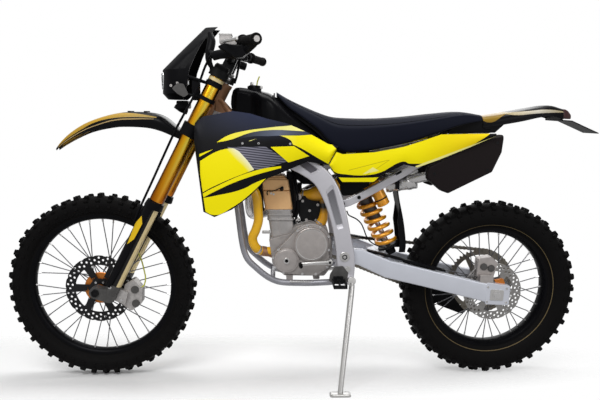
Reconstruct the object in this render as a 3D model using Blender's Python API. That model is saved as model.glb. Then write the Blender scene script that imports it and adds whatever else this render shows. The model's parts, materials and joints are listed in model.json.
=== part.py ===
"""Enduro motorcycle, parked on its side stand.

The frame of reference is the upright machine: X runs from the front axle to the
rear one, Y to the rider's right, Z up from the ground. One empty leans the whole machine.
"""

import math

import bmesh
import bpy
from mathutils import Matrix, Vector

# Stance
WHEELBASE = 1.468
LEAN = math.radians(8.0)
RAKE = math.radians(27.0)

# Tyres and rims: depth is from the lugs to the bead seat, half is half of the width
FRONT = {"radius": 0.350, "depth": 0.0833, "half": 0.046, "rim_half": 0.0225, "pitches": 24}
REAR = {"radius": 0.338, "depth": 0.1095, "half": 0.060, "rim_half": 0.0295, "pitches": 22}
LUG_DEPTH = 0.012
CENTRE_LUG_HALF = 0.017
RIM_DEPTH = 0.015
FLANGE = 0.009
SPOKES = 36
SPOKE_RADIUS = 0.0020

# Brakes
FRONT_DISC_RADIUS = 0.125
REAR_DISC_RADIUS = 0.110
DISC_THICKNESS = 0.004
FRONT_DISC_Y = -0.0585
REAR_DISC_Y = -0.070

# Fork
LEG_SPREAD = 0.102
AXLE_LEAD = 0.0486
STEM_OFFSET = 0.022
OUTER_RADIUS = 0.0265
SLIDER_RADIUS = 0.0235
SLIDER_TOP = 0.424
OUTER_BOTTOM = 0.400
OUTER_TOP = 0.926
LOWER_CLAMP = (0.6585, 0.7035)
UPPER_CLAMP = (0.887, 0.915)
STEM_RADIUS = 0.0155
AXLE_RADIUS = 0.010

# Frame and swingarm
PIVOT = Vector((0.898, 0.0, 0.488))
ARM_Y = 0.1065
ARM_HALF = 0.013
PLATE_HALF = 0.0115
PLATE_Y = ARM_Y + ARM_HALF + 0.0015 + PLATE_HALF
PLATE_FACE = PLATE_Y + PLATE_HALF

# Chain drive
CHAIN_PITCH = 0.015875
CHAIN_Y = 0.078
CHAIN_WIDTH = 0.012
CHAIN_HALF_HEIGHT = 0.0072
REAR_TEETH = 50
DRIVE_TEETH = 14
DRIVE_SHAFT = Vector((0.832, 0.0, 0.494))

# Gaps
GAP = 0.0004
RUNNING_GAP = 0.0007
TOOTH_GAP = 0.0006

# Worked-out places
for wheel_sizes in (FRONT, REAR):
    wheel_sizes["seat"] = wheel_sizes["radius"] - wheel_sizes["depth"]
FRONT_AXLE = Vector((0.0, 0.0, FRONT["radius"]))
REAR_AXLE = Vector((WHEELBASE, 0.0, REAR["radius"]))
UP_FORK = Vector((math.sin(RAKE), 0.0, math.cos(RAKE)))
BACK_FORK = Vector((math.cos(RAKE), 0.0, -math.sin(RAKE)))
FORK_FOOT = FRONT_AXLE + BACK_FORK * AXLE_LEAD
SIDE = Vector((0.0, 1.0, 0.0))
FORK_FRAME = Matrix((
    (BACK_FORK.x, 0.0, UP_FORK.x, FORK_FOOT.x),
    (0.0, 1.0, 0.0, 0.0),
    (BACK_FORK.z, 0.0, UP_FORK.z, FORK_FOOT.z),
    (0.0, 0.0, 0.0, 1.0),
))
FLAT_TO_SIDE = Matrix.Rotation(math.pi / 2, 4, "X")
HEAD = FORK_FRAME @ Vector((STEM_OFFSET, 0.0, (LOWER_CLAMP[1] + UPPER_CLAMP[0]) / 2))


def from_head(x, z):
    """A point of the side view, measured from the middle of the head tube."""
    return (HEAD.x + x, HEAD.z + z)


def along_arm(reach, rise=0.0):
    """A point of the side view: a share of the way from the pivot to the rear axle, and a rise."""
    point = PIVOT.lerp(REAR_AXLE, reach)
    return (point.x, point.z + rise)


def from_axle(*points):
    """Points of the side view, measured from the rear axle."""
    return [(REAR_AXLE.x + x, REAR_AXLE.z + z) for x, z in points]


def clear_scene():
    for obj in list(bpy.data.objects):
        bpy.data.objects.remove(obj, do_unlink=True)


def make_material(name, colour, roughness, metallic=0.0):
    material = bpy.data.materials.new(name)
    material.use_nodes = True
    shader = material.node_tree.nodes["Principled BSDF"]
    shader.inputs["Base Color"].default_value = (*colour, 1.0)
    shader.inputs["Roughness"].default_value = roughness
    shader.inputs["Metallic"].default_value = metallic
    return material


def make_carrier(name, origin, parent=None):
    """Empty on a joint's axis; the pieces of its body hang on it."""
    empty = bpy.data.objects.new(name, None)
    bpy.context.scene.collection.objects.link(empty)
    empty["origin"] = origin
    empty.location = origin
    if parent:
        empty.parent = parent
        empty.location = origin - Vector(parent["origin"])
    return empty


def keep(name, bm, material, carrier):
    """The finished piece: a named object on its carrier, shaded smooth between sharp edges."""
    bmesh.ops.recalc_face_normals(bm, faces=bm.faces)
    mesh = bpy.data.meshes.new(name)
    bm.to_mesh(mesh)
    bm.free()
    mesh.transform(Matrix.Translation(-Vector(carrier["origin"])))
    mesh.shade_smooth()
    mesh.set_sharp_from_angle(angle=math.radians(35))
    mesh.materials.append(material)
    obj = bpy.data.objects.new(name, mesh)
    bpy.context.scene.collection.objects.link(obj)
    obj.parent = carrier
    return obj


def moved(bm, matrix):
    bmesh.ops.transform(bm, matrix=matrix, verts=bm.verts)
    return bm


def mirrored(bm):
    """The same shape on the other side of the machine."""
    moved(bm, Matrix.Diagonal((1.0, -1.0, 1.0, 1.0)))
    bmesh.ops.reverse_faces(bm, faces=bm.faces)
    return bm


def merged(*shapes):
    """Several separate shells in one mesh."""
    total = bmesh.new()
    for shape in shapes:
        mesh = bpy.data.meshes.new("shell")
        bmesh.ops.recalc_face_normals(shape, faces=shape.faces)
        shape.to_mesh(mesh)
        shape.free()
        total.from_mesh(mesh)
        bpy.data.meshes.remove(mesh)
    return total


def helper_object(bm, collection):
    bmesh.ops.recalc_face_normals(bm, faces=bm.faces)
    bmesh.ops.triangulate(bm, faces=bm.faces)
    mesh = bpy.data.meshes.new("shape")
    bm.to_mesh(mesh)
    bm.free()
    obj = bpy.data.objects.new("shape", mesh)
    collection.objects.link(obj)
    return obj


def combined(base, tools, operation):
    """The base joined with the tools, or with the tools cut from it."""
    scene = bpy.context.scene.collection
    group = bpy.data.collections.new("tools")
    scene.children.link(group)
    body = helper_object(base, scene)
    helpers = [helper_object(tool, group) for tool in tools]
    modifier = body.modifiers.new("combine", "BOOLEAN")
    modifier.operation = operation
    modifier.operand_type = "COLLECTION"
    modifier.collection = group
    modifier.solver = "EXACT"
    bpy.context.view_layer.update()
    graph = bpy.context.evaluated_depsgraph_get()
    mesh = bpy.data.meshes.new_from_object(body.evaluated_get(graph))
    result = bmesh.new()
    result.from_mesh(mesh)
    bpy.data.meshes.remove(mesh)
    for obj in [body, *helpers]:
        bpy.data.meshes.remove(obj.data)
    bpy.data.collections.remove(group)
    bmesh.ops.remove_doubles(result, verts=result.verts, dist=2e-5)
    bmesh.ops.dissolve_limit(result, angle_limit=math.radians(0.1), verts=result.verts, edges=result.edges)
    return result


def united(base, *tools):
    return combined(base, tools, "UNION")


def cut(base, *tools):
    return combined(base, tools, "DIFFERENCE")


def shape_of(name):
    """The shape of a piece that is already made."""
    obj = bpy.data.objects[name]
    bm = bmesh.new()
    bm.from_mesh(obj.data)
    return moved(bm, Matrix.Translation(Vector(obj.parent["origin"])))


def clear_of(bm, *names):
    """The shape cut back to the seating gap from pieces that are already made."""
    tools = []
    for name in names:
        tool = shape_of(name)
        tool.normal_update()
        shifts = [(vert, vert.normal * (vert.calc_shell_factor() * GAP)) for vert in tool.verts]
        for vert, shift in shifts:
            vert.co += shift
        tools.append(tool)
    return cut(bm, *tools)


def loft(rings, closed=False):
    """Skin over rings with equal numbers of points, capped at both ends unless it closes on itself."""
    bm = bmesh.new()
    loops = [[bm.verts.new(point) for point in ring] for ring in rings]
    count = len(loops[0])
    pairs = list(zip(loops, loops[1:]))
    if closed:
        pairs.append((loops[-1], loops[0]))
    for first, second in pairs:
        for i in range(count):
            j = (i + 1) % count
            bm.faces.new((first[i], first[j], second[j], second[i]))
    if not closed:
        bm.faces.new(loops[0][::-1])
        bm.faces.new(loops[-1])
    return bm


def circle(radius, sides, centre=(0.0, 0.0), start=0.0):
    """Points of a circle in a plane."""
    step = 2 * math.pi / sides
    return [
        (centre[0] + radius * math.cos(start + i * step), centre[1] + radius * math.sin(start + i * step))
        for i in range(sides)
    ]


def arc(centre, radius, start, end, steps):
    """Points of an arc in a plane, angles in degrees."""
    angles = [math.radians(start + (end - start) * i / steps) for i in range(steps + 1)]
    return [(centre[0] + radius * math.cos(a), centre[1] + radius * math.sin(a)) for a in angles]


def rounded(outline, radius, steps=3):
    """A polygon with its corners rounded."""
    points = [Vector(p) for p in outline]
    result = []
    for i, corner in enumerate(points):
        to_last = points[i - 1] - corner
        to_next = points[(i + 1) % len(points)] - corner
        half = to_last.angle(to_next) / 2
        reach = min(radius / math.tan(half), to_last.length * 0.45, to_next.length * 0.45)
        first = corner + to_last.normalized() * reach
        last = corner + to_next.normalized() * reach
        for k in range(steps + 1):
            t = k / steps
            result.append(tuple(first * (1 - t) ** 2 + corner * 2 * t * (1 - t) + last * t**2))
    return result


def curve_through(points, steps=5):
    """A smooth curve through the points."""
    points = [Vector(p) for p in points]
    ends = [points[0] * 2 - points[1], *points, points[-1] * 2 - points[-2]]
    result = []
    for before, start, end, after in zip(ends, ends[1:], ends[2:], ends[3:]):
        for k in range(steps):
            t = k / steps
            result.append(
                0.5 * (2 * start + (end - before) * t + (2 * before - 5 * start + 4 * end - after) * t * t
                       + (3 * start - before - 3 * end + after) * t**3)
            )
    result.append(points[-1])
    return result


def tube(points, radius, sides=8, flat=1.0):
    """Round bar or pipe along a path; radius may be one number or one for each point."""
    points = [Vector(p) for p in points]
    radii = radius if isinstance(radius, (list, tuple)) else [radius] * len(points)
    tangents = []
    for i in range(len(points)):
        ahead = points[min(i + 1, len(points) - 1)] - points[max(i - 1, 0)]
        tangents.append(ahead.normalized())
    across = SIDE.cross(tangents[0])
    if across.length < 0.2:
        across = Vector((0.0, 0.0, 1.0)).cross(tangents[0])
    across.normalize()
    rings = []
    for point, tangent, size in zip(points, tangents, radii):
        across = (across - tangent * across.dot(tangent)).normalized()
        other = tangent.cross(across)
        rings.append([
            point + across * (u * size) + other * (v * size * flat)
            for u, v in circle(1.0, sides, start=math.pi / sides)
        ])
    return loft(rings)


def bar(start, end, radius, sides=12):
    return tube([start, end], radius, sides)


def turned(profile, origin, axis, sides, closed=True):
    """Turned piece: profile points are (distance along the axis, radius)."""
    axis = Vector(axis).normalized()
    first = axis.cross(Vector((0.31, 0.17, 0.93))).normalized()
    second = axis.cross(first)
    rings = [
        [
            Vector(origin) + axis * along + (first * u + second * v) * radius
            for u, v in circle(1.0, sides)
        ]
        for along, radius in profile
    ]
    return loft(rings, closed)


def side_plate(outline, y_low, y_high):
    """An outline of (x, z) points pulled through from y_low to y_high."""
    return loft([[Vector((x, y, z)) for x, z in outline] for y in (y_low, y_high)])


def block(low, high, bevel=0.0):
    corners = [(low[0], low[2]), (high[0], low[2]), (high[0], high[2]), (low[0], high[2])]
    if bevel:
        corners = rounded(corners, bevel, 2)
    return side_plate(corners, low[1], high[1])


def pierced(outlines, thickness):
    """Flat plate with holes, in the XY plane and centred on it. The first outline is its edge."""
    curve = bpy.data.curves.new("outline", "CURVE")
    curve.dimensions = "2D"
    curve.fill_mode = "BOTH"
    curve.extrude = thickness / 2
    for outline in outlines:
        spline = curve.splines.new("POLY")
        spline.points.add(len(outline) - 1)
        for point, (x, y) in zip(spline.points, outline):
            point.co = (x, y, 0.0, 1.0)
        spline.use_cyclic_u = True
    obj = bpy.data.objects.new("outline", curve)
    bpy.context.scene.collection.objects.link(obj)
    bpy.context.view_layer.update()
    graph = bpy.context.evaluated_depsgraph_get()
    mesh = bpy.data.meshes.new_from_object(obj.evaluated_get(graph))
    bm = bmesh.new()
    bm.from_mesh(mesh)
    bpy.data.meshes.remove(mesh)
    bpy.data.curves.remove(curve)
    bmesh.ops.remove_doubles(bm, verts=bm.verts, dist=1e-6)
    return bm


def on_wheel(centre, y):
    """Places a flat plate on a wheel's axis, in the wheel's plane."""
    return Matrix.Translation(Vector((centre.x, y, centre.z))) @ FLAT_TO_SIDE


# Wheels

def make_tyre(name, centre, wheel, material, carrier):
    """Knobbly tyre: centre lugs between pairs of shoulder lugs, raised from the carcass."""
    radius = wheel["radius"]
    half = wheel["half"]
    carcass = radius - LUG_DEPTH
    segments = wheel["pitches"] * 2
    foot = (wheel["seat"] + FLANGE + GAP) / math.cos(math.pi / segments)
    side = [
        (wheel["rim_half"] + 0.001, foot),
        (half * 0.90, foot + (carcass - foot) * 0.42),
        (half * 0.90, carcass - 0.024),
        (half * 0.66, carcass - 0.005),
        (CENTRE_LUG_HALF, carcass),
    ]
    profile = side + [(-y, r) for y, r in reversed(side)]
    centre_face = len(side) - 1
    shoulder_faces = (len(side) - 3, len(side) + 1)
    rings = []
    for i in range(segments):
        angle = 2 * math.pi * (i - 0.5) / segments - math.pi / 2
        rings.append([
            centre + Vector((r * math.cos(angle), y, r * math.sin(angle))) for y, r in profile
        ])
    bm = loft(rings, closed=True)
    bm.faces.ensure_lookup_table()
    count = len(profile)
    lugs = []
    for i in range(segments):
        wanted = (centre_face,) if i % 2 == 0 else shoulder_faces
        lugs += [bm.faces[i * count + j] for j in wanted]
    bmesh.ops.recalc_face_normals(bm, faces=bm.faces)
    raised = bmesh.ops.extrude_discrete_faces(bm, faces=lugs)["faces"]
    for face in raised:
        middle = face.calc_center_median()
        rise = face.normal * LUG_DEPTH
        for vert in face.verts:
            vert.co = middle + (vert.co - middle) * 0.94 + rise
    return keep(name, bm, material, carrier)


def rim_shape(centre, wheel):
    half = wheel["rim_half"]
    outer = wheel["seat"] + FLANGE
    inner = wheel["seat"] - RIM_DEPTH
    profile = [(-half, outer), (half, outer), (half, wheel["seat"] - 0.004), (0.0, inner),
               (-half, wheel["seat"] - 0.004)]
    return turned(profile, centre, SIDE, 30)


def make_spokes(centre, rim_inner, flange_radius, flange_y):
    """Spokes laced three across, each pair passing on the two faces of its flange."""
    shells = []
    for k in range(SPOKES):
        side = 1 if k % 2 else -1
        sweep = 1 if (k // 2) % 2 else -1
        rim_angle = 2 * math.pi * k / SPOKES
        hub_angle = rim_angle + sweep * math.radians(58)
        y_hub = side * flange_y + sweep * 0.0036
        start = centre + Vector((math.cos(hub_angle), 0, math.sin(hub_angle))) * (flange_radius - 0.005)
        end = centre + Vector((math.cos(rim_angle), 0, math.sin(rim_angle))) * (rim_inner + 0.004)
        start.y = y_hub
        end.y = side * 0.005
        shells.append(tube([start, end], SPOKE_RADIUS, 3))
    return merged(*shells)


def make_laced_wheel(name, centre, wheel, profile, flange_radius, flange_y, material, carrier):
    """Rim, spokes and hub as one laced wheel."""
    hub = turned(profile, centre, SIDE, 10)
    spokes = make_spokes(centre, wheel["seat"] - RIM_DEPTH, flange_radius, flange_y)
    return keep(name, united(hub, spokes, rim_shape(centre, wheel)), material, carrier)


def make_disc(name, centre, radius, hub_radius, y, holes, material, carrier):
    """Brake disc: drilled ring, open arms and a bore, in one plate."""
    band = radius * 0.25
    outlines = [circle(radius, 26), circle(hub_radius, 8)]
    for i in range(holes):
        angle = 2 * math.pi * i / holes
        reach = radius - band * (0.30 if i % 2 else 0.68)
        outlines.append(circle(0.0045, 5, (reach * math.cos(angle), reach * math.sin(angle))))
    arms = 6
    for i in range(arms):
        middle = 360 * (i + 0.5) / arms
        window = arc((0, 0), radius - band * 1.12, middle - 21, middle + 21, 2)
        window += arc((0, 0), hub_radius + 0.016, middle + 12, middle - 12, 1)
        outlines.append(window)
    bm = moved(pierced(outlines, DISC_THICKNESS), on_wheel(centre, y))
    return keep(name, bm, material, carrier)


def sprocket_shape(centre, teeth, windows, bore):
    """Toothed wheel whose tips run just inside the chain."""
    pitch_radius = CHAIN_PITCH / (2 * math.sin(math.pi / teeth))
    tip = pitch_radius - CHAIN_HALF_HEIGHT - TOOTH_GAP
    root = tip - 0.006
    edge = []
    for i in range(teeth):
        for radius, shift in ((root, -0.5), (tip, 0.0)):
            angle = 2 * math.pi * (i + shift) / teeth
            edge.append((radius * math.cos(angle), radius * math.sin(angle)))
    outlines = [edge]
    if bore:
        outlines.append(circle(bore, 16))
    for i in range(windows):
        middle = 360 * (i + 0.5) / windows
        window = arc((0, 0), root - 0.012, middle - 21, middle + 21, 3)
        window += arc((0, 0), bore + 0.020, middle + 12, middle - 12, 2)
        outlines.append(window)
    return moved(pierced(outlines, 0.006), on_wheel(centre, CHAIN_Y))


def chain_path():
    """Chain centre line round both sprockets, in the side view."""
    drive_radius = CHAIN_PITCH / (2 * math.sin(math.pi / DRIVE_TEETH))
    rear_radius = CHAIN_PITCH / (2 * math.sin(math.pi / REAR_TEETH))
    between = REAR_AXLE - DRIVE_SHAFT
    distance = math.hypot(between.x, between.z)
    heading = math.degrees(math.atan2(between.z, between.x))
    spread = math.degrees(math.acos((drive_radius - rear_radius) / distance))
    path = arc((DRIVE_SHAFT.x, DRIVE_SHAFT.z), drive_radius, heading + spread, heading - spread + 360, 60)
    path += arc((REAR_AXLE.x, REAR_AXLE.z), rear_radius, heading - spread, heading + spread, 180)
    return [Vector(p) for p in path]


def make_chain(material, carrier):
    """Closed chain: wide outer links and waisted inner links follow each other round the loop."""
    path = chain_path()
    lengths = [(b - a).length for a, b in zip(path, path[1:] + path[:1])]
    total = sum(lengths)
    links = 2 * round(total / CHAIN_PITCH / 2)
    outer, inner = [], []
    for i in range(links):
        along = total * i / links
        k = 0
        while along > lengths[k]:
            along -= lengths[k]
            k += 1
        start, end = path[k], path[(k + 1) % len(path)]
        heading = (end - start).normalized()
        point = start + heading * along
        out = Vector((heading.y, -heading.x))
        reach = CHAIN_HALF_HEIGHT if i % 2 else CHAIN_HALF_HEIGHT * 0.72
        outer.append(tuple(point + out * reach))
        inner.append(tuple(point - out * CHAIN_HALF_HEIGHT * 0.9))
    bm = moved(pierced([outer, inner], CHAIN_WIDTH),
               Matrix.Translation((0.0, CHAIN_Y, 0.0)) @ FLAT_TO_SIDE)
    return keep("drive_chain", bm, material, carrier)


# Fork

def fork_shape(bm, side):
    """Moves a shape from the fork's own frame to the machine's; side is -1 left, 1 right."""
    if side > 0:
        mirrored(bm)
    return moved(bm, FORK_FRAME)


def along_leg(profile, sides=16, closed=True, x=0.0):
    return turned(profile, (x, -LEG_SPREAD, 0.0), (0, 0, 1), sides, closed)


def make_outer(side, name, gold, carrier):
    outer = along_leg([
        (OUTER_BOTTOM, SLIDER_RADIUS + RUNNING_GAP), (OUTER_BOTTOM, 0.0255), (0.62, 0.0255),
        (0.655, OUTER_RADIUS), (OUTER_TOP, OUTER_RADIUS), (OUTER_TOP + 0.008, 0.022),
        (OUTER_TOP + 0.008, 0.010), (OUTER_TOP, 0.010), (OUTER_TOP, SLIDER_RADIUS + RUNNING_GAP - 0.008),
    ])
    keep(f"fork_outer_{name}", fork_shape(outer, side), gold, carrier)


def slider_shape(side):
    """Inner tube with the lug that carries the axle ahead of it."""
    slider = along_leg([(0.0, 0.018), (0.02, SLIDER_RADIUS), (SLIDER_TOP, SLIDER_RADIUS)], 16, False)
    edge = arc((-AXLE_LEAD, 0.0), 0.022, 80, 290, 7) + arc((0.0, 0.012), 0.026, -70, 80, 5)
    bottom = moved(pierced([edge], 0.036), Matrix.Translation((0, -LEG_SPREAD, 0)) @ FLAT_TO_SIDE)
    return fork_shape(united(slider, bottom), side)


def make_sliders(steel, carrier):
    """Both inner tubes and the axle that ties them."""
    reach = LEG_SPREAD + 0.022
    axle = bar(FRONT_AXLE - SIDE * reach, FRONT_AXLE + SIDE * reach, AXLE_RADIUS, 12)
    keep("fork_sliders", united(axle, slider_shape(-1), slider_shape(1)), steel, carrier)


def make_guard(side, name, black, carrier):
    """Half shell in front of and outside the slider, with a collar round its top."""
    inner, outer = SLIDER_RADIUS + 0.006, SLIDER_RADIUS + 0.009
    rings = []
    for height, reach in ((0.045, 70), (0.12, 100), (0.25, 112), (0.376, 120)):
        shell = arc((0, -LEG_SPREAD), outer, 180 - 62, 180 + reach, 6)
        shell += arc((0, -LEG_SPREAD), inner, 180 + reach, 180 - 62, 6)
        rings.append([Vector((x, y, height)) for x, y in shell])
    collar = along_leg([(0.372, SLIDER_RADIUS + GAP), (0.372, 0.0335), (0.398, 0.0305),
                        (0.398, SLIDER_RADIUS + GAP)], 16)
    keep(f"fork_guard_{name}", fork_shape(united(loft(rings), collar), side), black, carrier)


def clamp_outline(ring, middle):
    """Edge of a triple clamp, in the fork's cross plane: two rings and the bridge round the stem."""
    left = arc((0.0, -LEG_SPREAD), ring, 100, 390, 9)
    rear = arc((STEM_OFFSET, 0.0), middle, -50, 50, 4)
    right = [(x, -y) for x, y in reversed(left)]
    front = [(-0.004, 0.035), (-0.004, -0.035)]
    return left + rear + right + front


def make_clamps(silver, black, carrier):
    holes = [circle(OUTER_RADIUS + GAP, 20, (0.0, s * LEG_SPREAD)) for s in (-1, 1)]
    low, high = LOWER_CLAMP
    lower = moved(pierced([clamp_outline(0.036, 0.034), *holes], high - low),
                  Matrix.Translation((0, 0, (low + high) / 2)))
    stem = bar((STEM_OFFSET, 0, low + 0.01), (STEM_OFFSET, 0, UPPER_CLAMP[0] - GAP), STEM_RADIUS)
    keep("lower_triple_clamp", fork_shape(united(lower, stem), -1), black, carrier)
    low, high = UPPER_CLAMP
    upper = moved(pierced([clamp_outline(0.035, 0.030), *holes], high - low),
                  Matrix.Translation((0, 0, (low + high) / 2)))
    risers = []
    for s in (-1, 1):
        edge = rounded([(-0.012, high - 0.006), (0.032, high - 0.006), (0.030, BAR_HEIGHT + 0.022),
                        (-0.010, BAR_HEIGHT + 0.022)], 0.010, 3)
        hole = circle(BAR_RADIUS + 2 * GAP, 16, (BAR_BACK, BAR_HEIGHT))
        risers.append(moved(pierced([edge, hole], 0.026),
                            Matrix.Translation((0, s * 0.040, 0)) @ FLAT_TO_SIDE))
    keep("upper_triple_clamp", fork_shape(united(upper, *risers), -1), black, carrier)


# Handlebar and controls
BAR_RADIUS = 0.0143
BAR_END_RADIUS = 0.0110
BAR_RISE = 0.051
BAR_HEIGHT = UPPER_CLAMP[1] + BAR_RISE
BAR_BACK = 0.010
BAR_END = Vector((0.5914, -0.400, 1.2165))
GRIP_LENGTH = 0.125


def bar_centre():
    return FORK_FRAME @ Vector((BAR_BACK, 0.0, BAR_HEIGHT))


def bar_points():
    centre = bar_centre()
    outer = BAR_END + (Vector((0.525, -0.24, 1.2205)) - BAR_END) * 0.02
    left = [outer, Vector((0.5510, -0.300, 1.2205)), Vector((0.5250, -0.235, 1.2205)),
            Vector((0.5050, -0.165, 1.2110)), centre + Vector((0.0, -0.085, 0.004)),
            centre + Vector((0.0, -0.055, 0.0))]
    right = [Vector((p.x, -p.y, p.z)) for p in reversed(left)]
    return left + right


def make_bar(black, carrier):
    """Tapered bar with its grips, perches and levers."""
    points = curve_through(bar_points(), 2)
    radii = [BAR_RADIUS if abs(p.y) < 0.10 else BAR_END_RADIUS for p in points]
    pieces = [tube(points, radii, 6)]
    inward = (Vector((0.5510, -0.300, 1.2205)) - BAR_END).normalized()
    grip = [(-0.003, 0.0090), (-0.003, 0.0185), (0.010, 0.0165), (GRIP_LENGTH - 0.010, 0.0165),
            (GRIP_LENGTH - 0.004, 0.022), (GRIP_LENGTH, 0.0090)]
    for flip in (False, True):
        grip_shape = turned(grip, BAR_END, inward, 8)
        pieces += [mirrored(grip_shape) if flip else grip_shape, lever_shape(flip)]
    keep("handlebar", united(*pieces), black, carrier)


def lever_shape(flip):
    """Perch with its reservoir, clamped on the bar, and the lever in front of the grip."""
    mount = Vector((0.5310, -0.250, 1.2205))
    ring = turned([(-0.014, 0.0090), (-0.014, 0.018), (0.014, 0.018), (0.014, 0.0090)],
                  mount, (-0.34, -0.94, 0.0), 8)
    body = bar(mount + Vector((-0.014, 0.0, 0.0)), mount + Vector((-0.050, 0.012, 0.004)), 0.012, 6)
    tank = block(mount + Vector((-0.062, -0.018, -0.006)), mount + Vector((-0.022, 0.030, 0.026)), 0.006)
    blade = tube(curve_through([mount + Vector(p) for p in (
        (-0.046, 0.006, 0.002), (-0.052, -0.030, 0.0), (-0.034, -0.075, -0.002),
        (-0.012, -0.120, -0.004), (0.002, -0.145, -0.003))], 1), 0.0055, 5, 0.7)
    bm = united(ring, body, tank, blade)
    return mirrored(bm) if flip else bm


# Front bodywork

def arched_section(x, z, half, drop, wall):
    """Section of a fender: a low arch with its two skirts, as one closed ring."""
    outer = [(-half, -drop), (-half * 0.97, -drop * 0.35), (-half * 0.70, -drop * 0.06), (0.0, 0.0),
             (half * 0.70, -drop * 0.06), (half * 0.97, -drop * 0.35), (half, -drop)]
    inner = [(y * (half - wall) / half, h - wall) for y, h in reversed(outer[1:-1])]
    inner = [(half - wall, -drop)] + inner + [(-half + wall, -drop)]
    return [Vector((x, y, z + h)) for y, h in outer + inner]


def make_front_fender(black, carrier):
    stations = [(-0.150, 0.867, 0.018, 0.008), (-0.125, 0.893, 0.038, 0.015), (-0.085, 0.927, 0.054, 0.026),
                (-0.030, 0.960, 0.063, 0.036), (0.040, 0.985, 0.067, 0.046), (0.110, 0.998, 0.069, 0.053),
                (0.190, 0.997, 0.069, 0.055), (0.240, 0.984, 0.068, 0.054), (0.282, 0.952, 0.064, 0.040),
                (0.325, 0.9185, 0.060, 0.024), (0.370, 0.8955, 0.056, 0.014)]
    rings = [arched_section(x, z, half, drop, 0.0035) for x, z, half, drop in stations]
    boss = moved(block((-0.022, -0.034, 0.640), (0.020, 0.034, LOWER_CLAMP[0] - GAP), 0.004), FORK_FRAME)
    keep("front_fender", united(loft(rings), boss), black, carrier)


def mask_ring(z, front, rear, half, wall=0.004):
    outer = [(rear, -half), (front + 0.045, -half * 0.98), (front + 0.010, -half * 0.62), (front, 0.0),
             (front + 0.010, half * 0.62), (front + 0.045, half * 0.98), (rear, half)]
    inner = [(rear, half - wall), (front + 0.046, half * 0.98 - wall), (front + 0.012 + wall, half * 0.60),
             (front + wall + 0.001, 0.0), (front + 0.012 + wall, -half * 0.60),
             (front + 0.046, -half * 0.98 + wall), (rear, -half + wall)]
    return [Vector((x, y, z)) for x, y in outer + inner]


def make_mask(black, glass, carrier):
    rings = [mask_ring(1.044, 0.258, 0.318, 0.070), mask_ring(1.064, 0.241, 0.335, 0.095),
             mask_ring(1.146, 0.243, 0.350, 0.108), mask_ring(1.200, 0.296, 0.372, 0.095),
             mask_ring(1.250, 0.346, 0.398, 0.075), mask_ring(1.298, 0.394, 0.444, 0.045)]
    window = [(-0.058, 1.076), (0.058, 1.076), (0.072, 1.138), (-0.072, 1.138)]
    opening = rounded(window, 0.012, 2)
    cutter = loft([[Vector((x, y, z)) for y, z in opening] for x in (0.20, 0.275)])
    straps = []
    for s in (-1, 1):
        straps.append(bar((0.342, s * 0.102, 1.124), (0.428, s * 0.102, 1.096), 0.005, 6))
        straps.append(bar((0.324, s * 0.090, 1.066), (0.404, s * 0.101, 1.046), 0.005, 6))
    legs = [fork_shape(along_leg([(0.7, OUTER_RADIUS + GAP), (0.9, OUTER_RADIUS + GAP)], 16, False), s)
            for s in (-1, 1)]
    mask = cut(united(loft(rings), *straps), cutter, *legs)
    keep("headlamp_mask", mask, black, carrier)
    lamp_rings = []
    for x, scale in ((0.244, 0.97), (0.262, 1.01), (0.285, 0.98), (0.315, 0.50), (0.330, 0.30)):
        lamp_rings.append([Vector((x, y * scale, 1.107 + (z - 1.107) * scale)) for y, z in opening])
    keep("headlamp", clear_of(loft(lamp_rings), "headlamp_mask"), glass, carrier)


def make_front_caliper(silver, carrier):
    """Two-piston caliper astride the disc, bolted to the left slider's rear lug."""
    edge = rounded([(0.082, 0.300), (0.118, 0.270), (0.158, 0.300), (0.160, 0.350), (0.130, 0.392),
                    (0.098, 0.372)], 0.012, 2)
    body = side_plate(edge, FRONT_DISC_Y - 0.024, FRONT_DISC_Y + 0.022)
    slot = side_plate([(0.0, 0.20), (0.131, 0.20), (0.131, 0.45), (0.0, 0.45)],
                      FRONT_DISC_Y - 0.005, FRONT_DISC_Y + 0.005)
    bracket = side_plate([(0.058, 0.318), (0.100, 0.300), (0.112, 0.345), (0.072, 0.365)], -0.100, -0.079)
    keep("front_caliper", clear_of(united(cut(body, slot), bracket), "fork_sliders"), silver, carrier)


# Frame

def box_section(centre, along, half_height, y, half_width, chamfer=0.006):
    """Eight-sided section across a beam that runs in the side view."""
    along = Vector((along[0], 0.0, along[1])).normalized()
    up = Vector((-along.z, 0.0, along.x))
    h, w, c = half_height, half_width, chamfer
    corners = [(h, w - c), (h - c, w), (-h + c, w), (-h, w - c), (-h, -w + c), (-h + c, -w), (h - c, -w),
               (h, -w + c)]
    base = Vector((centre[0], y, centre[1]))
    return [base + up * a + SIDE * b for a, b in corners]


def beam(stations):
    """Beam through stations of (x, z, half height, y, half width)."""
    rings = []
    for i, (x, z, half_height, y, half_width) in enumerate(stations):
        before = stations[max(i - 1, 0)]
        after = stations[min(i + 1, len(stations) - 1)]
        along = (after[0] - before[0], after[1] - before[1])
        rings.append(box_section((x, z), along, half_height, y, half_width))
    return loft(rings)


CROSS_TUBE = Vector((0.866, 0.0, 0.672))
CROSS_RADIUS = 0.013


def shock_eye():
    """Centre of the shock absorber's upper eye."""
    return SHOCK_TOP + (SHOCK_TOP - SHOCK_FOOT).normalized() * 0.030


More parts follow.
